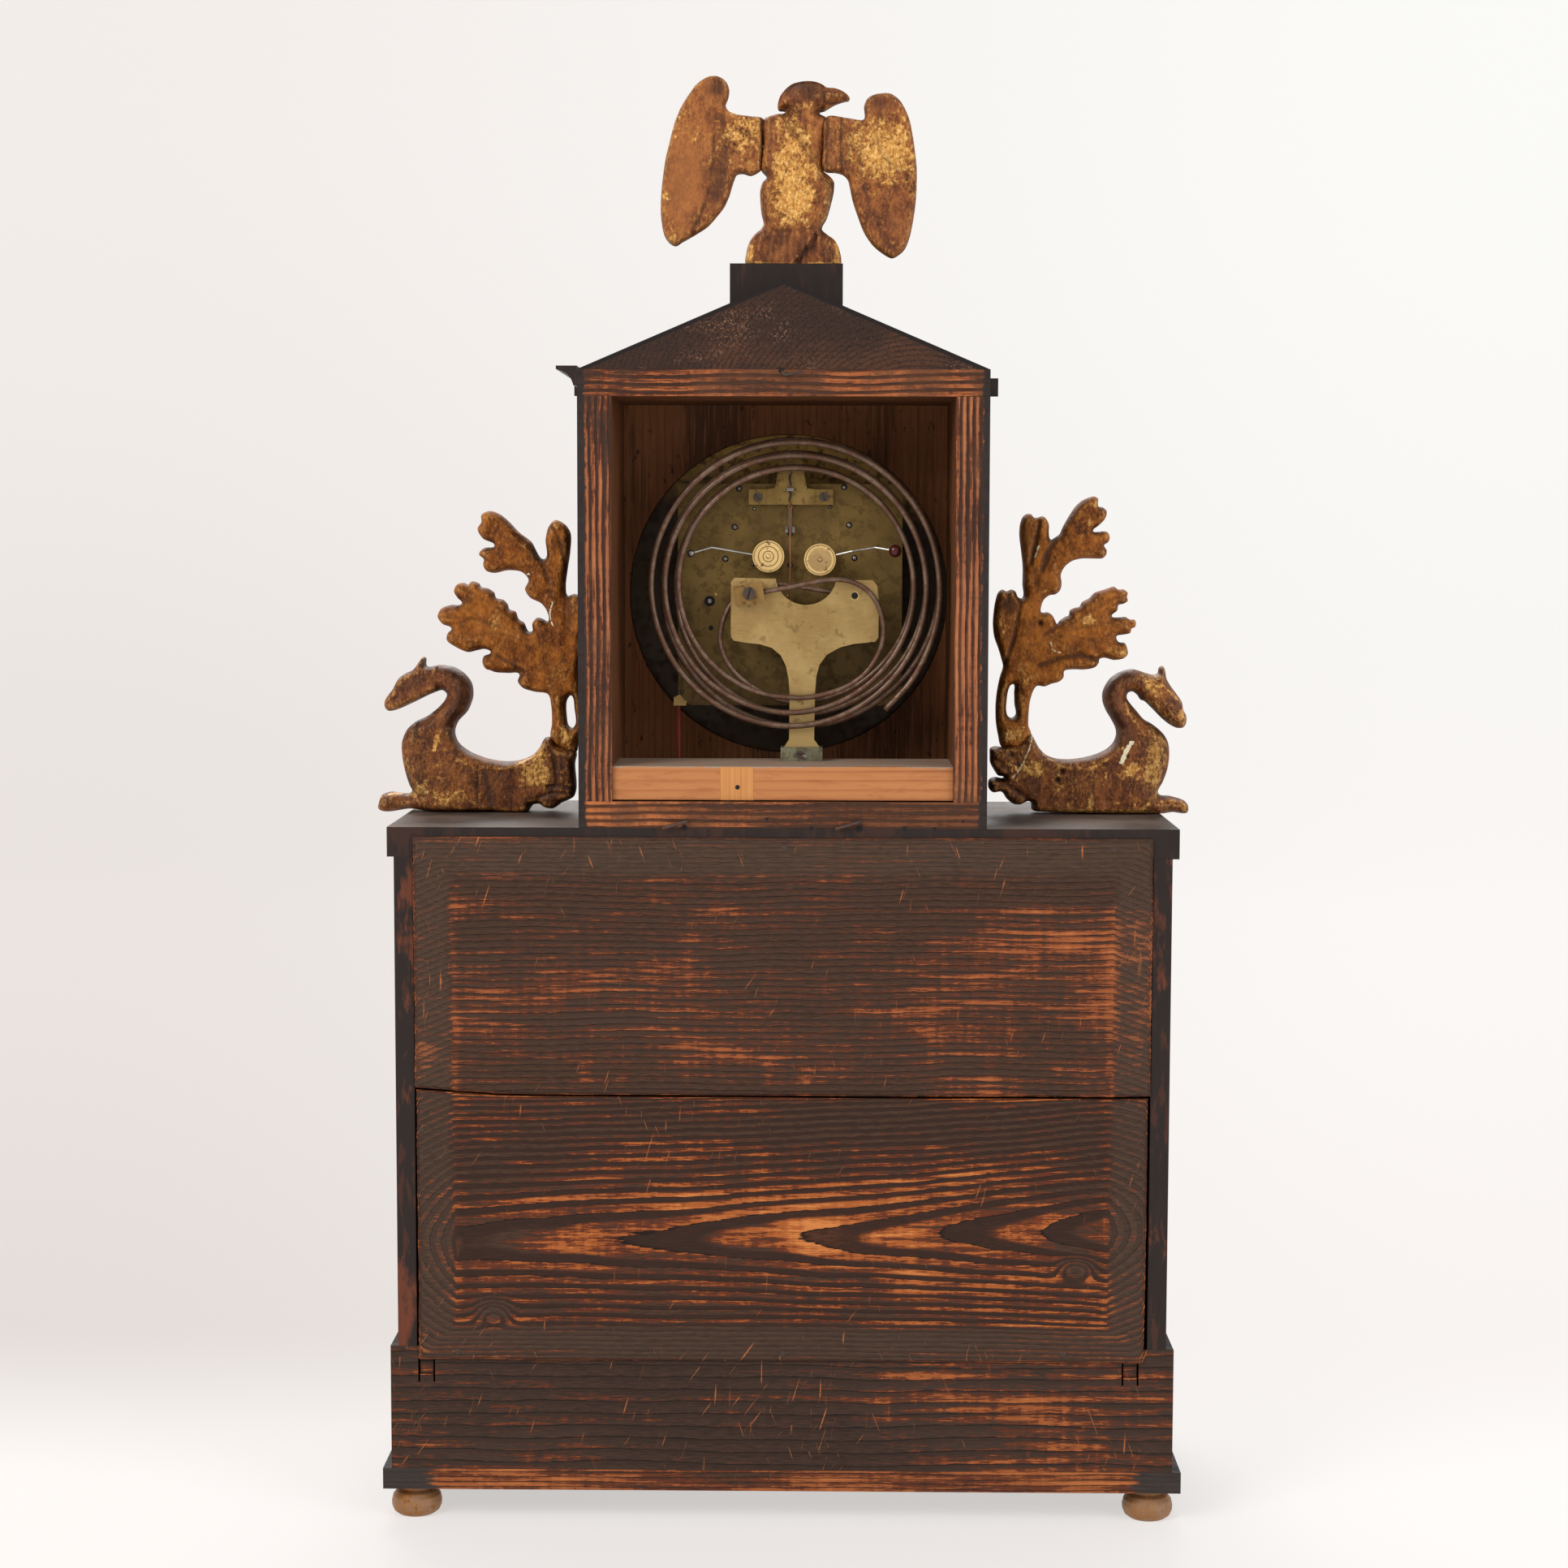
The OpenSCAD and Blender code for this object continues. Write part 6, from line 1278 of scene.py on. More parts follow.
M["plinth"] = board_mat("plinth", plane("z", 5.6, 0.3, 0.4), t1=0.225, t0=0.11, seed=9.0, painted=False, grey=0.4, dark=srgb(58, 42, 34), light=srgb(158, 88, 46), high=srgb(190, 116, 62),
                        line=(0.3, 0.95), sc=0.8, after=lambda nt, col: black_front(nt, col, 0.3))
M["base"] = board_mat("base", plane("z", 2.3, 0.3, 0.3), t1=-0.02, t0=-0.18, seed=12.0, painted=False, grey=0.3, light=srgb(150, 84, 46), high=srgb(180, 108, 58), line=(0.66, 0.9), line_amt=0.95, scr=0.2, after=black_ends)
M["hood_side"] = board_mat("hood_side", plane("x", 2.9, 0.2, 0.5), t1=-0.10, t0=-0.2, seed=21.0, painted=False, along="z", tongue=0.04, line=(0.36, 0.7), line_amt=0.8,
                           light=srgb(152, 90, 56), high=srgb(176, 110, 68), grey=0.3, scr=0.1, sc=1.2, after=black_edges)
M["hood_rail"] = board_mat("hood_rail", plane("z", 3.3, 0.1, 0.4), t1=-0.06, t0=-0.16, seed=25.0, painted=False, tongue=0.03, line=(0.45, 0.7), line_amt=0.8,
                           light=srgb(156, 88, 50), high=srgb(180, 108, 62), grey=0.3, scr=0.15, sc=1.2, after=black_edges)


def smooth01(t):
    t = np.clip(t, 0, 1)
    return t * t * (3 - 2 * t)


def old_board(name, node, mat, xl, xr, zb, zt, bev, splitedge, blobs, seed, crest=0.5):
    """a planted board with bevelled margins; xl..zt give each edge; splitedge has no bevel"""
    def knots(n, lo=0.0, hi=1.0):
        base = list(np.linspace(0, 1, n))
        fine = [0.0006, 0.0015, 0.003, 0.006, 0.012]
        return np.unique(np.round(np.array(base + fine + [1 - q for q in fine]), 5))
    us, vs = knots(170), knots(72)
    Ug, Vg = np.meshgrid(us, vs)
    x0 = np.interp(Vg, *xl)
    x1 = np.interp(Vg, *xr)
    X = x0 + (x1 - x0) * Ug
    z0 = np.interp(X, *zb)
    z1_ = np.interp(X, *zt)
    Z = z0 + (z1_ - z0) * Vg
    nzv = np.vectorize(lambda a, b, s: mnoise.noise((a, b, s)))
    X = X + 0.25 * nzv(X * 0.03, Z * 0.09, seed) * np.where((Ug < 0.02) | (Ug > 0.98), 1, 0)
    ds = [X - x0, x1 - X]
    ds += [] if splitedge == "bottom" else [Z - z0]
    ds += [] if splitedge == "top" else [z1_ - Z]
    dm = np.minimum.reduce(ds)
    alle = np.minimum.reduce([X - x0, x1 - X, Z - z0, z1_ - Z])
    t = np.clip(dm / bev, 0, 1)
    yb = 66 + 1.8 + 2.2 * t
    yb += 0.22 * np.exp(-((dm - bev) / 1.6)**2)
    rnd = smooth01(alle / 1.4)
    yb -= 0.9 * (1 - rnd)
    yb += 0.16 * nzv(X * 0.012, Z * 0.05, seed + 3) * rnd
    yb = np.minimum(yb, 70.0)
    w = np.full(X.shape, 0.5)
    g = np.zeros(X.shape)
    k = np.zeros(X.shape)
    marg = 1 - smooth01((dm - bev * 0.72) / (bev * 0.35))
    w -= (0.09 + 0.10 * nzv(X * 0.02, Z * 0.05, seed + 8)) * marg
    g = np.maximum(g, 0.55 * marg)
    w += crest * 0.30 * np.exp(-((dm - bev) / 2.2)**2)
    w += 0.22 * np.exp(-(alle / 0.9)**2)
    g *= smooth01(alle / 2.0)
    for b in blobs:
        cx, cz, rx, rz, a = b[:5]
        e = np.exp(-(np.abs((X - cx) / rx)**2.5 + np.abs((Z - cz) / rz)**2.5))
        if len(b) > 5 and b[5] == "knot":
            k += a * e
            w -= 0.25 * e
            g = np.maximum(g, 0.4 * e)
        elif len(b) > 5 and b[5] == "grey":
            g = np.maximum(g, a * e)
        else:
            w += a * e
    ny, nx = X.shape
    front = np.stack([X, yb, Z], -1).reshape(-1, 3)
    back = np.stack([X, np.full(X.shape, 66.0), Z], -1).reshape(-1, 3)
    I = np.arange(ny * nx).reshape(ny, nx)
    faces = []
    a_, b_, c_, d_ = I[:-1, :-1], I[:-1, 1:], I[1:, 1:], I[1:, :-1]
    faces += np.stack([d_, c_, b_, a_], -1).reshape(-1, 4).tolist()
    rim_ = np.concatenate([I[0, :], I[1:, -1], I[-1, -2::-1], I[-2:0:-1, 0]])
    n0 = len(front)
    bidx = {int(v): n0 + i for i, v in enumerate(rim_)}
    co = np.concatenate([front, back[rim_]])
    m = len(rim_)
    for i in range(m):
        p_, q_ = int(rim_[i]), int(rim_[(i + 1) % m])
        faces.append((p_, q_, bidx[q_], bidx[p_]))
    faces.append(tuple(bidx[int(v)] for v in rim_[::-1]))
    me = bpy.data.meshes.new(name)
    me.from_pydata((co * MM).tolist(), [], faces)
    me.shade_smooth()
    bm = bmesh.new()
    bm.from_mesh(me)
    bmesh.ops.recalc_face_normals(bm, faces=bm.faces)
    for e in bm.edges:
        if len(e.link_faces) == 2 and e.calc_face_angle(0) > 0.7:
            e.smooth = False
    bm.to_mesh(me)
    bm.free()
    at = me.attributes.new("paint", "FLOAT_COLOR", "POINT")
    col = np.stack([np.clip(w, 0, 1), k, np.clip(g, 0, 1), np.ones(X.shape)], -1).reshape(-1, 4)
    col = np.concatenate([col, col[rim_]])
    at.data.foreach_set("color", col.astype(np.float32).ravel())
    me.materials.append(M[mat])
    o = link(bpy.data.objects.new(name, me))
    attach(o, "case")
    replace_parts(o, node)
    return o


spz = 195.5
old_board("back_board_upper_worn", "back_board_upper", "back_upper", ([0, 0.3, 0.7, 1], [-163.9, -163.7, -163.9, -163.6]), ([0, 0.3, 0.7, 1], [163.8, 163.6, 163.9, 163.8]),
          ([-164, -120, -60, 0, 60, 110, 126, 140, 150, 158, 164], [196.0, 196.1, 195.9, 196.0, 196.1, 196.1, 196.4, 197.2, 197.9, 198.3, 198.6]),
          ([-164, -80, 0, 80, 164], [311.0, 311.1, 310.9, 311.1, 311.0]), 18, "bottom",
          [(128, 280, 22, 6, 0.20), (141, 281, 8, 4, 0.16), (26, 278.6, 11, 2.2, 0.34), (-102, 279.5, 44, 2.0, 0.26), (60, 284, 60, 8, 0.05), (-85, 235, 62, 6.5, 0.13),
           (118, 240, 24, 9, 0.13), (88, 207, 3.2, 6, 0.24), (35, 219, 12, 3, 0.16), (-66, 221, 10, 4, 0.14), (6, 206, 2.4, 7, 0.22), (70, 203, 3, 7, 0.16), (-10, 203, 3, 8, 0.14),
           (-92, 205, 4, 9, 0.13), (0, 300, 140, 5, 0.06), (-100, 262, 50, 10, 0.09), (-60, 255, 20, 14, 0.05), (60, 226, 40, 14, -0.10), (70, 300, 60, 5, -0.10), (-40, 215, 50, 10, -0.04),
           (0, 256, 40, 6, -0.03), (158, 216, 5, 10, 0.2), (-158, 220, 5, 14, 0.12), (160, 265, 4, 20, 0.10), (120, 309, 40, 1.5, 0.2), (40, 308, 60, 2, 0.14)], 2.0)
old_board("back_board_lower_worn", "back_board_lower", "back_lower", ([0, 0.3, 0.7, 1], [-162.4, -162.7, -162.9, -162.8]), ([0, 0.3, 0.7, 1], [163.1, 162.9, 163.2, 163.1]),
          ([-161, -80, 0, 80, 161], [74.6, 74.5, 74.7, 74.5, 74.6]),
          ([-161, -120, -60, 0, 60, 110, 126, 140, 150, 158, 161], [194.9, 195.0, 194.8, 194.9, 195.0, 195.1, 195.4, 196.2, 196.9, 197.3, 197.5]), 18, "top",
          [(-17, 131, 17, 9, 0.36), (-20, 137, 34, 13, 0.14), (-55, 129, 8, 15, 0.12), (-105, 128, 26, 11, 0.16), (-110, 114, 30, 5, 0.18), (90, 127, 18, 10, 0.14), (55, 130, 24, 8, 0.12),
           (112, 146, 30, 5, 0.14), (118, 118, 22, 7, 0.14), (-30, 149, 70, 4, 0.12), (0, 173, 60, 5, 0.08), (137, 108, 12, 8, 0.05), (50, 172, 30, 5, 0.10), (-60, 88, 60, 5, -0.05),
           (129, 97, 7, 6, 0.8, "knot"), (-131.6, 118.4, 7, 4.5, 0.9, "knot"), (-128, 129, 9, 3.6, -0.35), (133, 130.5, 10, 5.2, -0.30), (100, 87, 40, 6, -0.10),
           (-75, 86, 60, 6, -0.10), (20, 87, 60, 6, -0.06), (135, 181, 14, 5, 0.12), (-152, 161, 5, 20, 0.06), (152, 136, 6, 30, 0.12), (0, 183, 150, 11, -0.13), (60, 160, 90, 8, -0.07),
           (-40, 98, 110, 9, -0.08), (-62, 104, 9, 12, 0.12), (10, 166, 5, 12, 0.2), (28, 190, 22, 3, 0.14), (-90, 158, 20, 4, 0.10)], 6.0)

# nail heads and worm holes in the boards
def discs(name, items, mat, body="case", n=14, dome=0.25):
    """items: (x, y, z, r, h, axis) small round heads in millimetres, all facing +Y; the axis is not used; holes are
    low discs in the near-black hole material, painted shade
    """
    bm = bmesh.new()
    for it in items:
        x, y, z, r, h = it[:5]
        rings = [(r * 1.0, 0.0), (r * 0.96, h * 0.75), (r * 0.7, h), (0.0, h * (1 + dome))]
        prev = None
        for rr, hh in rings:
            if rr == 0:
                v = bm.verts.new((x * MM, (y + hh) * MM, z * MM))
                for i in range(n):
                    bm.faces.new((prev[i], prev[(i + 1) % n], v)).smooth = True
            else:
                cur = [bm.verts.new(((x + rr * math.cos(2 * math.pi * i / n)) * MM, (y + hh) * MM, (z + rr * math.sin(2 * math.pi * i / n)) * MM)) for i in range(n)]
                if prev:
                    for i in range(n):
                        bm.faces.new((prev[i], prev[(i + 1) % n], cur[(i + 1) % n], cur[i])).smooth = True
                else:
                    bm.faces.new(cur)
                prev = cur
    bmesh.ops.recalc_face_normals(bm, faces=bm.faces)
    me = bpy.data.meshes.new(name)
    bm.to_mesh(me)
    bm.free()
    me.materials.append(M[mat])
    o = link(bpy.data.objects.new(name, me))
    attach(o, body)
    return o


def px(a, b, y=68.0):
    """a place seen in the picture, on the upright plane y"""
    tilt = math.radians(4.92)
    D = 1316.0 - y
    Z = 442.5 - D * math.tan(tilt + math.atan((b - 966) / 3500))
    s = D * math.cos(tilt) + (442.5 - Z) * math.sin(tilt)
    return (-16 + (1012 - a) * s / 3500, Z)


nt_ = NT("nail_iron")
v_ = nt_.noise(nt_.sv(1.2, 1.2, 1.2), 1, 3, 0.6)
M["nail"] = nt_.done(nt_.mix(v_, srgb(38, 28, 24), srgb(84, 66, 56)), 0.55, 0.4, nt_.bump(v_, 0.0001, 0.6))
# near-black for discs set in holes: painted shade inside the holes
nt_ = NT("painted_hole_shade")
v_ = nt_.noise(nt_.sv(1.5, 1.5, 1.5), 1, 2, 0.6)
M["hole"] = nt_.done(nt_.mix(v_, (0.002, 0.0015, 0.001), (0.008, 0.005, 0.004)), 0.9, 0.0)
nl = []
for a, b in ((566, 1043), (970, 1045), (1376, 1047), (1404, 1322), (523, 1394), (524, 1428), (1404, 1389), (1405, 1458), (569, 1668), (970, 1668), (1314, 1667)):
    X_, Z_ = px(a, b)
    nl.append((X_, 67.9 if abs(X_) > 150 else 68.2, Z_, 1.35, 0.32))
discs("back_nails", nl, "nail", dome=0.1)
# worm holes in the rail as near-black discs: painted shade inside the holes
hl = []
for a, b, r in ((1003, 1021, 1.1), (1118, 1021, 1.0), (1155, 1021, 0.9), (948, 1010, 0.8), (1190, 1012, 0.7), (808, 1024, 0.6)):
    X_, Z_ = px(a, b)
    hl.append((X_, 65.95, Z_, r, 0.08))
discs("rail_holes", hl, "hole", dome=0.0)
BENT = (((965, 457), (968, 462), (976, 461), (984, 459), (990, 458)),)
# ------------------------------------------------------------------ movement: gongs, hubs, pivots, thread
def catmull_open(P, k):
    P = np.array(P, float)
    Q = np.vstack([2 * P[0] - P[1], P, 2 * P[-1] - P[-2]])
    out = []
    for i in range(1, len(Q) - 2):
        t = (np.arange(k) / k)[:, None]
        a, b, c, d = Q[i - 1], Q[i], Q[i + 1], Q[i + 2]
        out.append(0.5 * (2 * b + (c - a) * t + (2 * a - 5 * b + 4 * c - d) * t**2 + (3 * b - a - 3 * c + d) * t**3))
    out.append(P[-1:])
    return np.concatenate(out)


def sweep(name, P, R, mat, body, n=14, flat_ends=True):
    """round wire along points in millimetres; R is one radius or one for each point"""
    P = np.array(P, float)
    R = np.broadcast_to(np.array(R, float), (len(P),))
    T = np.gradient(P, axis=0)
    T /= np.linalg.norm(T, axis=1)[:, None]
    ref = np.array([0, 1.0, 0]) if abs(T[:, 1]).max() < 0.9 else np.array([1.0, 0, 0.1])
    N = np.cross(T, ref)
    N /= np.linalg.norm(N, axis=1)[:, None]
    B = np.cross(N, T)
    a = np.arange(n) * 2 * math.pi / n
    V = P[:, None] + R[:, None, None] * (np.cos(a)[None, :, None] * N[:, None] + np.sin(a)[None, :, None] * B[:, None])
    m = len(P)
    I = np.arange(m * n).reshape(m, n)
    J = np.roll(I, -1, 1)
    F = np.stack([I[:-1], I[1:], J[1:], J[:-1]], -1).reshape(-1, 4).tolist()
    F.append(I[0].tolist())
    F.append(I[-1][::-1].tolist())
    me = bpy.data.meshes.new(name)
    me.from_pydata((V.reshape(-1, 3) * MM).tolist(), [], F)
    bm = bmesh.new()
    bm.from_mesh(me)
    bmesh.ops.recalc_face_normals(bm, faces=bm.faces)
    for f in bm.faces:
        f.smooth = len(f.verts) == 4
    bm.to_mesh(me)
    bm.free()
    me.materials.append(M[mat])
    o = link(bpy.data.objects.new(name, me))
    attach(o, body)
    return o


GX, GZ = -5.0, 422.0
GA = [[-14.3, -3], [-9, -2.1], [-4, -1.2], [1, -0.2], [6, 0.9], [12, 2], [18, 2.5], [23, 2.2], [28, 0.6], [32.6, -2.4], [36.4, -7], [38.8, -12.6], [40, -19],
      [39.6, -25], [37.6, -31], [34, -37], [29.4, -41.8], [23.8, -45.4], [17, -48.2], [10, -50], [4.6, -50.7]]
GT = [[180, 50.8], [225, 51.6], [270, 52.6], [360, 52.4], [450, 53.4], [495, 55], [540, 57.6], [585, 58.6], [630, 58.8], [720, 58], [810, 59], [855, 61],
      [900, 63.7], [945, 64.8], [990, 65], [1080, 64], [1170, 65], [1200, 67], [1224, 69.5]]
HA = [[21.2, -4], [15, -3], [9, -2], [3, -1], [-3, -0.2], [-9, 0.4], [-15, 0.2], [-20.4, -1.2], [-25.4, -4.4], [-29.4, -9], [-32.4, -15], [-34, -21.6], [-33.8, -28],
      [-31.6, -34], [-28, -39.4], [-23, -44], [-17, -48], [-10.4, -51.2], [-4.6, -53]]
HT = [[180, 53.4], [270, 53.6], [360, 53.3], [450, 54], [495, 56.4], [540, 59.2], [630, 59.6], [720, 59.4], [810, 60], [855, 62], [900, 64.6], [990, 65.6], [1080, 65.2], [1140, 65.6]]


def coil_points(start, table, s, y):
    A_, R_ = [q[0] for q in table], [q[1] for q in table]
    P = [(GX - q[0], y, GZ + q[1]) for q in start]
    for u in np.arange(180, table[-1][0] + 0.01, 14.5):
        r = np.interp(u, A_, R_)
        P.append((GX - s * r * math.sin(math.radians(u)), y, GZ + r * math.cos(math.radians(u))))
    return catmull_open(P, 7)


for nm, a_, t_, s_, y_, node_ in (("gong_front_wire", GA, GT, 1, 32.5, "gong_front"), ("gong_rear_wire", HA, HT, -1, 22.0, "gong_rear")):
    P_ = coil_points(a_, t_, s_, y_)
    R_ = np.interp(np.linspace(0, 1, len(P_)), [0, 0.12, 0.35, 1], [1.12, 1.15, 1.25, 1.4])
    R_ = R_ + 0.035 * np.array([mnoise.noise((i * 0.05, 0.3, y_)) for i in range(len(P_))])
    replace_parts(sweep(nm, P_, R_, "gong", "case"), node_)


def lathe(name, prof, origin, mat, body, n=48, sharp=0.5):
    """turned piece about a Y axis: prof is (radius, height) pairs in millimetres, origin its place"""
    bm = bmesh.new()
    rows = []
    for r, h in prof:
        if r <= 1e-6:
            rows.append([bm.verts.new((origin[0] * MM, (origin[1] + h) * MM, origin[2] * MM))])
        else:
            rows.append([bm.verts.new(((origin[0] + r * math.cos(2 * math.pi * i / n)) * MM, (origin[1] + h) * MM, (origin[2] + r * math.sin(2 * math.pi * i / n)) * MM)) for i in range(n)])
    for a, b in zip(rows[:-1], rows[1:]):
        for i in range(n):
            j = (i + 1) % n
            q = [a[i % len(a)], a[j % len(a)], b[j % len(b)], b[i % len(b)]]
            q = [v for k, v in enumerate(q) if v not in q[:k]]
            if len(q) > 2:
                bm.faces.new(q).smooth = True
    bmesh.ops.recalc_face_normals(bm, faces=bm.faces)
    for e in bm.edges:
        if len(e.link_faces) == 2 and e.calc_face_angle(0) > sharp:
            e.smooth = False
    me = bpy.data.meshes.new(name)
    bm.to_mesh(me)
    bm.free()
    me.materials.append(M[mat])
    o = link(bpy.data.objects.new(name, me))
    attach(o, body)
    return o


def hub_material():
    nt = NT("turned_brass")
    a = nt.noise(nt.sv(0.12, 0.12, 0.12, 3), 1, 4, 0.65)
    b = nt.noise(nt.sv(2.0, 0.3, 2.0, 5), 1, 2, 0.5)
    col = nt.mix(a, srgb(206, 166, 98), srgb(236, 206, 142))
    x, y, z, p = nt.xyz()
    hx, hz = nt.sub(nt.m("ABSOLUTE", nt.add(x, 4.45)), 11.75), nt.sub(z, nt.add(434.1, nt.mapr(x, -5.0, -4.0, -0.7, 0.7)))
    rr = nt.m("SQRT", nt.add(nt.mul(hx, hx), nt.mul(hz, hz)))
    left = nt.mapr(x, -5.0, -4.0)
    for r0 in (2.4, 4.5, 6.5):
        g = nt.mapr(nt.m("ABSOLUTE", nt.sub(rr, r0)), 0.12, 0.32, 1.0, 0.0)
        col = nt.mix(nt.mul(g, nt.mul(left, 0.8)) if r0 < 6 else nt.mul(g, 0.7), col, srgb(104, 72, 36))
    col = nt.mix(nt.mul(nt.mapr(rr, 5.6, 5.2), nt.mul(nt.m("SUBTRACT", 1.0, left), nt.mapr(a, 0.35, 0.6, 0.25, 0.7))), col, srgb(136, 100, 62))
    spot = nt.mapr(nt.noise(nt.sv(0.35, 0.35, 0.35, 9), 1, 3, 0.6), 0.62, 0.68)
    col = nt.mix(nt.mul(spot, 0.75), col, srgb(70, 48, 36))
    return nt.done(col, nt.lin((0.2, a), (0.3, spot), 0.3), 0.35, nt.bump(b, 0.00004, 0.6), Specular_IOR_Level=0.5)


M["turned"] = hub_material()
ringed = lambda hs: [(7.28, 0.0), (7.28, 0.3), (7.1, 0.5), (6.55, 0.5), (6.4, 0.22)] + hs + [(1.15, 0.24), (1.1, 0.05), (0.95, 0.05), (0.9, 0.35), (0.5, 0.5), (0, 0.52)]
lathe("hub_turning_left", ringed([(4.75, 0.24), (4.65, 0.1), (4.4, 0.1), (4.3, 0.24), (2.6, 0.25), (2.5, 0.12), (2.3, 0.12), (2.2, 0.25)]), (7.3, 20.55, 434.8), "turned", "hammer_left")
lathe("hub_turning_right", ringed([(5.6, 0.22), (3.0, 0.25)]), (-16.2, 20.55, 433.4), "turned", "hammer_right")

# ends of arbors and pillar screws, seen on the back plate
dark_, tip_ = [], []
for a, b, r0, r1 in ((-25.9, 43.7, 1.5, 0.9), (22.1, 44.4, 1.5, 0.9), (-18.9, 34.5, 0.9, 0.6), (15.9, 35.3, 0.9, 0.6), (-27.9, 26.1, 1.5, 1.0), (24.5, 27.1, 1.5, 1.0),
                     (-2.5, 23, 1.2, 0.8), (-32.1, 11.6, 1.5, 1.0), (27, 12.1, 1.5, 1.0), (-2.4, 8.7, 1.3, 0.9), (-19.6, 9.1, 0.9, 0.6), (-39.3, -7.7, 2.5, 1.2),
                     (-38.7, -20, 1.1, 0.0), (-52.2, -49.2, 0.9, 0.5), (-51.5, -43.0, 0.8, 0.0)):
    dark_.append((GX - a, 12.0, GZ + b, r0, 0.06))
    if r1:
        tip_.append((GX - a, 12.02, GZ + b, r1, 0.45))
# near-black discs round the pivots and pillar screws: painted shade in their holes and sinks
discs("plate_hollows", dark_, "hole", dome=0.0)
discs("plate_pivots", tip_, "steel", dome=0.5)

# silk thread, its clip, and the copper wire's hook
for i_, pts_ in enumerate(BENT):
    Q_ = [px(a_, b_, 66.2 + 3.2 * k_ / (len(pts_) - 1)) for k_, (a_, b_) in enumerate(pts_)]
    P_ = [(Q_[0][0], 64.0, Q_[0][1])] + [(q[0], 66.4 + 3.0 * min(1, (k_ + 0.6) / 2), q[1]) for k_, q in enumerate(Q_)]
    sweep("bent_nail_" + str(i_ + 1), catmull_open(P_, 6), 0.62, "nail", "case", n=10)
# near-black discs where the bent nails enter the wood: painted shade in their holes
discs("bent_nail_holes", [px(846, 1020)[:1] + (66.0, px(846, 1020, 66)[1], 1.3, 0.05), px(1062, 1021)[:1] + (66.0, px(1062, 1021, 66)[1], 1.6, 0.05), px(964, 456, 66)[:1] + (66.0, px(964, 456, 66)[1], 1.3, 0.05)], "hole", dome=0.0)

zz = np.linspace(479.4, 456.8, 26)
th_ = [(-2.5 + 0.22 * math.sin(z * 1.3), 16.2 + (0.9 if z > 478.6 else 0.35 * math.sin(z * 0.9)), z) for z in zz]
sweep("pendulum_thread", th_, 0.42, "thread", "pendulum", n=8)
hook_ = [(-2.5 + 0.9 * math.sin(t), 16.2, 457.2 + 0.9 * math.cos(t)) for t in np.linspace(0.2, 5.6, 14)] + [(-2.55, 16.2, 455.5), (-2.5, 16.2, 453.0)]
sweep("pendulum_hook", hook_, 0.34, "copper", "pendulum", n=8)


def bar(name, x0, x1, y0, y1, z0, z1, mat, body="case", bev=0.25):
    """a small block with broken edges"""
    bm = bmesh.new()
    bmesh.ops.create_cube(bm, size=1)
    for v in bm.verts:
        v.co = (((x0 + x1) / 2 + v.co.x * (x1 - x0)) * MM, ((y0 + y1) / 2 + v.co.y * (y1 - y0)) * MM, ((z0 + z1) / 2 + v.co.z * (z1 - z0)) * MM)
    bmesh.ops.bevel(bm, geom=bm.edges[:], offset=bev * MM, segments=2, profile=0.7, affect="EDGES")
    for f in bm.faces:
        f.smooth = True
    me = bpy.data.meshes.new(name)
    bm.to_mesh(me)
    bm.free()
    me.materials.append(M[mat])
    o = link(bpy.data.objects.new(name, me))
    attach(o, body)
    return o


bar("thread_clip", -4.1, -0.9, 15.7, 16.9, 464.4, 466.0, "steel", "pendulum", 0.2)
q_ = px(1055.4, 733.8, 29.0)
lathe("stand_hole_rim", [(2.05, 0.0), (2.05, 0.12), (1.85, 0.14), (1.7, 0.02), (0.9, 0.02), (0, 0.02)], (q_[0], 29.0, q_[1]), "bright_brass", "case", n=32)
# a near-black disc inside the brass rim: painted shade in the hole
discs("stand_hole", [(q_[0], 29.03, q_[1], 1.55, 0.05)], "hole", dome=0.0)
bar("stand_foot", -17.6, 1.4, 20.4, 33.2, 342.3, 348.6, "verdigris", bev=0.3)
discs("foot_screw", [(-9.5, 33.2, 344.4, 1.2, 0.3)], "steel", dome=0.3)


def hammer(node, body, cx, cz, head):
    """hub in brass; wire and head in their own metals"""
    hx, hz, hr = head
    for part in ("hub", "wire", "head"):
        me = NODE[node].data.copy()
        bm = bmesh.new()
        bm.from_mesh(me)
        bm.transform(NODE[node].matrix_world)
        kill = []
        for f in bm.faces:
            c = f.calc_center_median() / MM
            hub = math.hypot(c.x - cx, c.z - cz) < 7.7
            hd = math.hypot(c.x - hx, c.z - hz) < hr
            if {"hub": hub, "head": hd and not hub, "wire": not hub and not hd}[part] is False:
                kill.append(f)
        bmesh.ops.delete(bm, geom=kill, context="FACES")
        if not bm.faces:
            bm.free()
            continue
        bm.to_mesh(me)
        bm.free()
        me.materials.clear()
        me.materials.append(M[{"hub": "bright_brass", "wire": "bright_steel", "head": "red_ball" if node == "hammer_right" else "steel"}[part]])
        o = link(bpy.data.objects.new(node + "_" + part, me))
        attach(o, body)
        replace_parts(o, node)


hammer("hammer_left", "hammer_left", 7.3, 434.8, (42.4, 436.1, 2.1))
hammer("hammer_right", "hammer_right", -16.2, 433.4, (-50.0, 437.5, 3.3))

M["seat_patch"] = wood("seat_patch", "z", plane("x", 2.6, 0.3, 0.3), srgb(200, 144, 86), srgb(190, 130, 76), srgb(176, 116, 68), wear=(0.2, 0.4), warp=1.4,
                       warp_s=0.02, rough=(0.55, 0.7), seed=83.0, early2=srgb(186, 126, 72), scratch=0.0, late_amt=0.5, lines=0.3)

# patch let into the seat block
bar("seat_patch", 12.9, 27.6, 63.4, 64.12, 327.4, 342.2, "seat_patch", bev=0.06)
# a near-black disc in the patch: painted shade in the small hole
discs("seat_hole", [(20, 64.1, 333.2, 1.1, 0.05)], "hole", dome=0.0)
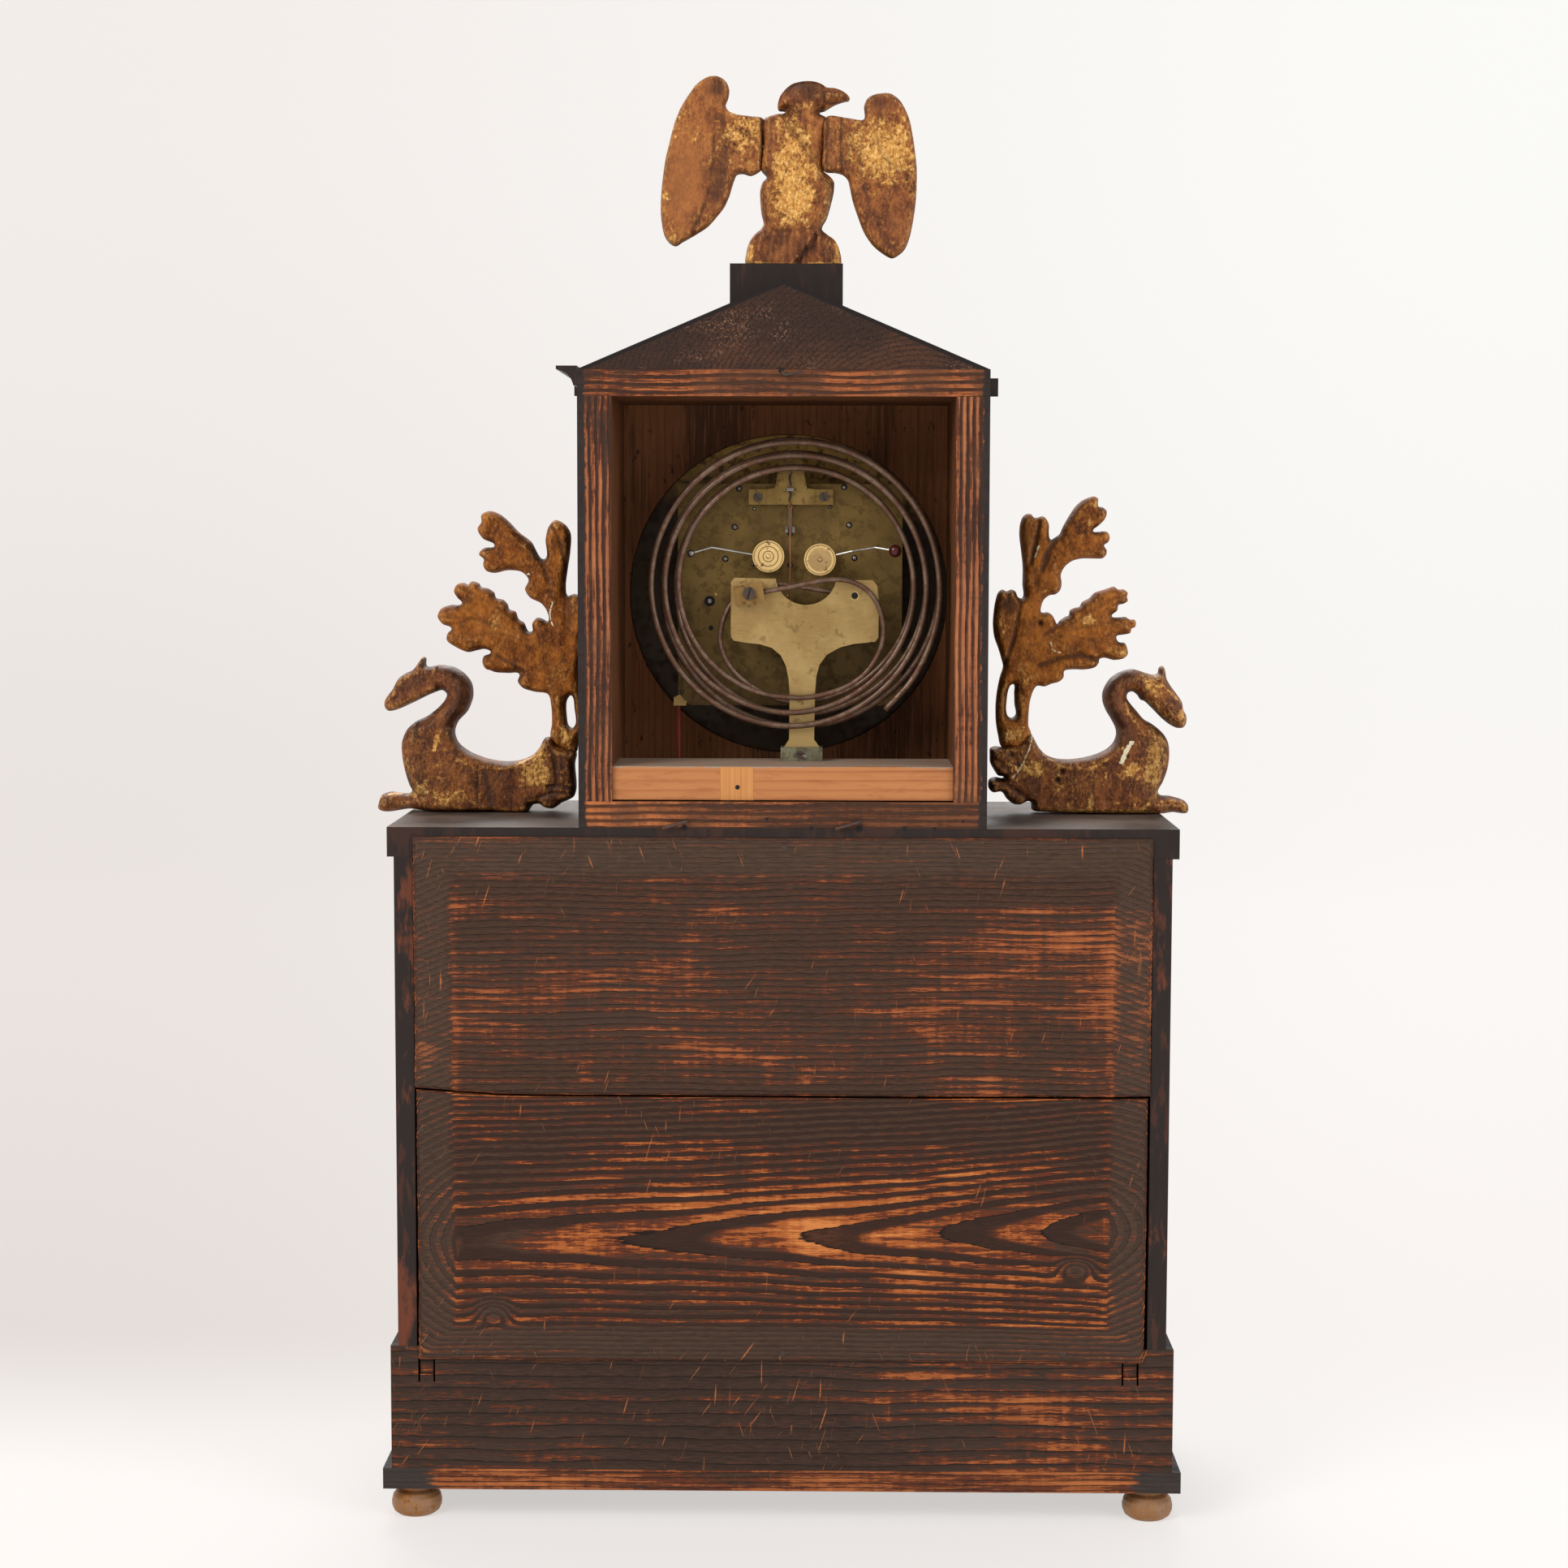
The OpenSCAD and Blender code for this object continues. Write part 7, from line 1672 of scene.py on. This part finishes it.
# ------------------------------------------------------------------ dial: plain Roman hours and a minute track
def dial_marks():
    ex, ez, yf_ = -1.5, 417.0, -30.6
    bm = bmesh.new()

    def slab(pts):
        top = [bm.verts.new(((ex + a) * MM, (yf_ - 0.04) * MM, (ez + b) * MM)) for a, b in pts]
        low = [bm.verts.new(((ex + a) * MM, (yf_ + 0.05) * MM, (ez + b) * MM)) for a, b in pts]
        bm.faces.new(top)
        bm.faces.new(low[::-1])
        for i in range(len(pts)):
            j = (i + 1) % len(pts)
            bm.faces.new((top[i], low[i], low[j], top[j]))

    def ring(r0, r1, n=120):
        for i in range(n):
            a, b = 2 * math.pi * i / n, 2 * math.pi * (i + 1) / n
            slab([(r * math.sin(t), r * math.cos(t)) for r, t in ((r0, a), (r1, a), (r1, b), (r0, b))])
    H, W_ = 11.5, {"I": 3.3, "V": 8.0, "X": 8.0}
    bars = {"I": [((1.65, 0), (1.65, H), 1.5), ((0.2, 0.2), (3.1, 0.2), 0.4), ((0.2, H - 0.2), (3.1, H - 0.2), 0.4)],
            "V": [((4.0, 0.1), (1.8, H), 1.5), ((4.1, 0.1), (6.4, H), 0.5), ((0.4, H - 0.2), (3.4, H - 0.2), 0.4), ((5.3, H - 0.2), (7.6, H - 0.2), 0.4)],
            "X": [((6.2, 0), (1.8, H), 1.5), ((1.8, 0), (6.2, H), 0.5), ((0.4, H - 0.2), (3.4, H - 0.2), 0.4), ((5.0, H - 0.2), (7.6, H - 0.2), 0.4),
                  ((0.4, 0.2), (3.0, 0.2), 0.4), ((4.8, 0.2), (7.7, 0.2), 0.4)]}
    for h, word in enumerate(("I", "II", "III", "IIII", "V", "VI", "VII", "VIII", "IX", "X", "XI", "XII"), 1):
        th = math.radians(30 * h)
        k = 0.82 if len(word) > 3 else 1.0
        u = -sum(W_[c] for c in word) * k / 2
        for c in word:
            for (a0, b0), (a1, b1), w in bars[c]:
                dx_, dz_ = a1 - a0, b1 - b0
                L_ = math.hypot(dx_, dz_)
                nx_, nz_ = -dz_ / L_ * w / 2, dx_ / L_ * w / 2
                P_ = []
                for q0, q1 in ((a0 + nx_, b0 + nz_), (a0 - nx_, b0 - nz_), (a1 - nx_, b1 - nz_), (a1 + nx_, b1 + nz_)):
                    uu, vv = u + q0 * k, 47.0 + min(max(q1, 0), H)
                    P_.append((uu * math.cos(th) + vv * math.sin(th), -uu * math.sin(th) + vv * math.cos(th)))
                slab(P_)
            u += W_[c] * k
    ring(61.4, 61.7)
    ring(64.4, 64.7)
    for i in range(60):
        t, w = math.radians(6 * i), 0.42 if i % 5 == 0 else 0.16
        slab([(a * math.cos(t) + r * math.sin(t), -a * math.sin(t) + r * math.cos(t)) for a, r in ((-w, 61.6), (w, 61.6), (w, 64.5), (-w, 64.5))])
    bmesh.ops.recalc_face_normals(bm, faces=bm.faces)
    me = bpy.data.meshes.new("dial_marks")
    bm.to_mesh(me)
    bm.free()
    me.materials.append(M["ink"])
    o = link(bpy.data.objects.new("dial_marks", me))
    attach(o, "case")


dial_marks()

dress()


# ------------------------------------------------------------------ stage and light
def stage():
    me = bpy.data.meshes.new("floor")
    bm = bmesh.new()
    prof = [(6.0, 0.0), (-2.2, 0.0)] + [(-2.2 - 1.2 * math.sin(a), 1.2 - 1.2 * math.cos(a)) for a in np.linspace(0.1, math.pi / 2, 14)] + [(-3.4, 6.0)]
    rows = [[bm.verts.new((x, y, z)) for y, z in prof] for x in (-7, 7)]
    for i in range(len(prof) - 1):
        bm.faces.new((rows[0][i], rows[0][i + 1], rows[1][i + 1], rows[1][i])).smooth = True
    bm.to_mesh(me)
    bm.free()
    nt = NT("floor_paper")
    x, y, z, p = nt.xyz()
    # painted light: the sweep glows by its own emission, far off graded brighter to the right and upward, near the
    # clock a steadier glow over a dim albedo that still takes the lamps' shadows
    away = nt.sub(1320.0, y)
    side = nt.mapr(nt.m("DIVIDE", x, away), -0.26, 0.26)
    up = nt.mapr(nt.m("DIVIDE", nt.sub(z, 420.0), away), -0.30, 0.16)
    far = nt.mix(side, nt.mix(up, (0.895, 0.855, 0.835), (0.93, 0.925, 0.905)), nt.mix(up, (0.72, 0.67, 0.64), (0.865, 0.82, 0.795)))
    near = nt.mapr(y, -260.0, 40.0)
    glow = nt.mix(near, far, nt.mix(nt.mapr(x, -700.0, 900.0), (0.60, 0.585, 0.57), (0.55, 0.52, 0.505)))
    base = nt.mix(near, (0.02, 0.02, 0.02), (0.30, 0.293, 0.29))
    me.materials.append(nt.done(base, 0.8, Specular_IOR_Level=0.1, Emission_Color=glow, Emission_Strength=1.0))
    o = link(bpy.data.objects.new("floor", me))


stage()
world = bpy.data.worlds.new("studio")
world.use_nodes = True
bpy.context.scene.world = world
world.node_tree.nodes["Background"].inputs[0].default_value = (1.0, 0.985, 0.975, 1)
world.node_tree.nodes["Background"].inputs[1].default_value = 0.55


def lamp(name, loc, aim, size, power, color=(1, 1, 1)):
    l = bpy.data.lights.new(name, "AREA")
    l.shape, l.size, l.size_y, l.energy, l.color = "RECTANGLE", size[0], size[1], power, color
    o = link(bpy.data.objects.new(name, l))
    o.location = loc
    o.rotation_euler = (Vector(aim) - Vector(loc)).to_track_quat("-Z", "Y").to_euler()
    return o


lamp("key", (1.5, 1.7, 1.7), (0, 0, 0.35), (1.3, 1.3), 42, (1, 0.98, 0.95))
lamp("fill", (-1.9, 1.5, 1.1), (0, 0, 0.35), (1.4, 1.8), 26, (0.97, 0.98, 1))
lamp("front_side", (0.3, -1.8, 1.6), (0, 0, 0.3), (1.6, 1.2), 30, (1, 0.99, 0.97))
lamp("back_wall", (0, -1.6, 2.4), (0, -3.2, 0.9), (3.0, 1.0), 40, (1, 1, 1))
sc = bpy.context.scene
sc.view_settings.view_transform = "Standard"
sc.view_settings.look = "None"
sc.view_settings.exposure = 0.0
sc.cycles.use_denoising = True if hasattr(sc, "cycles") else False
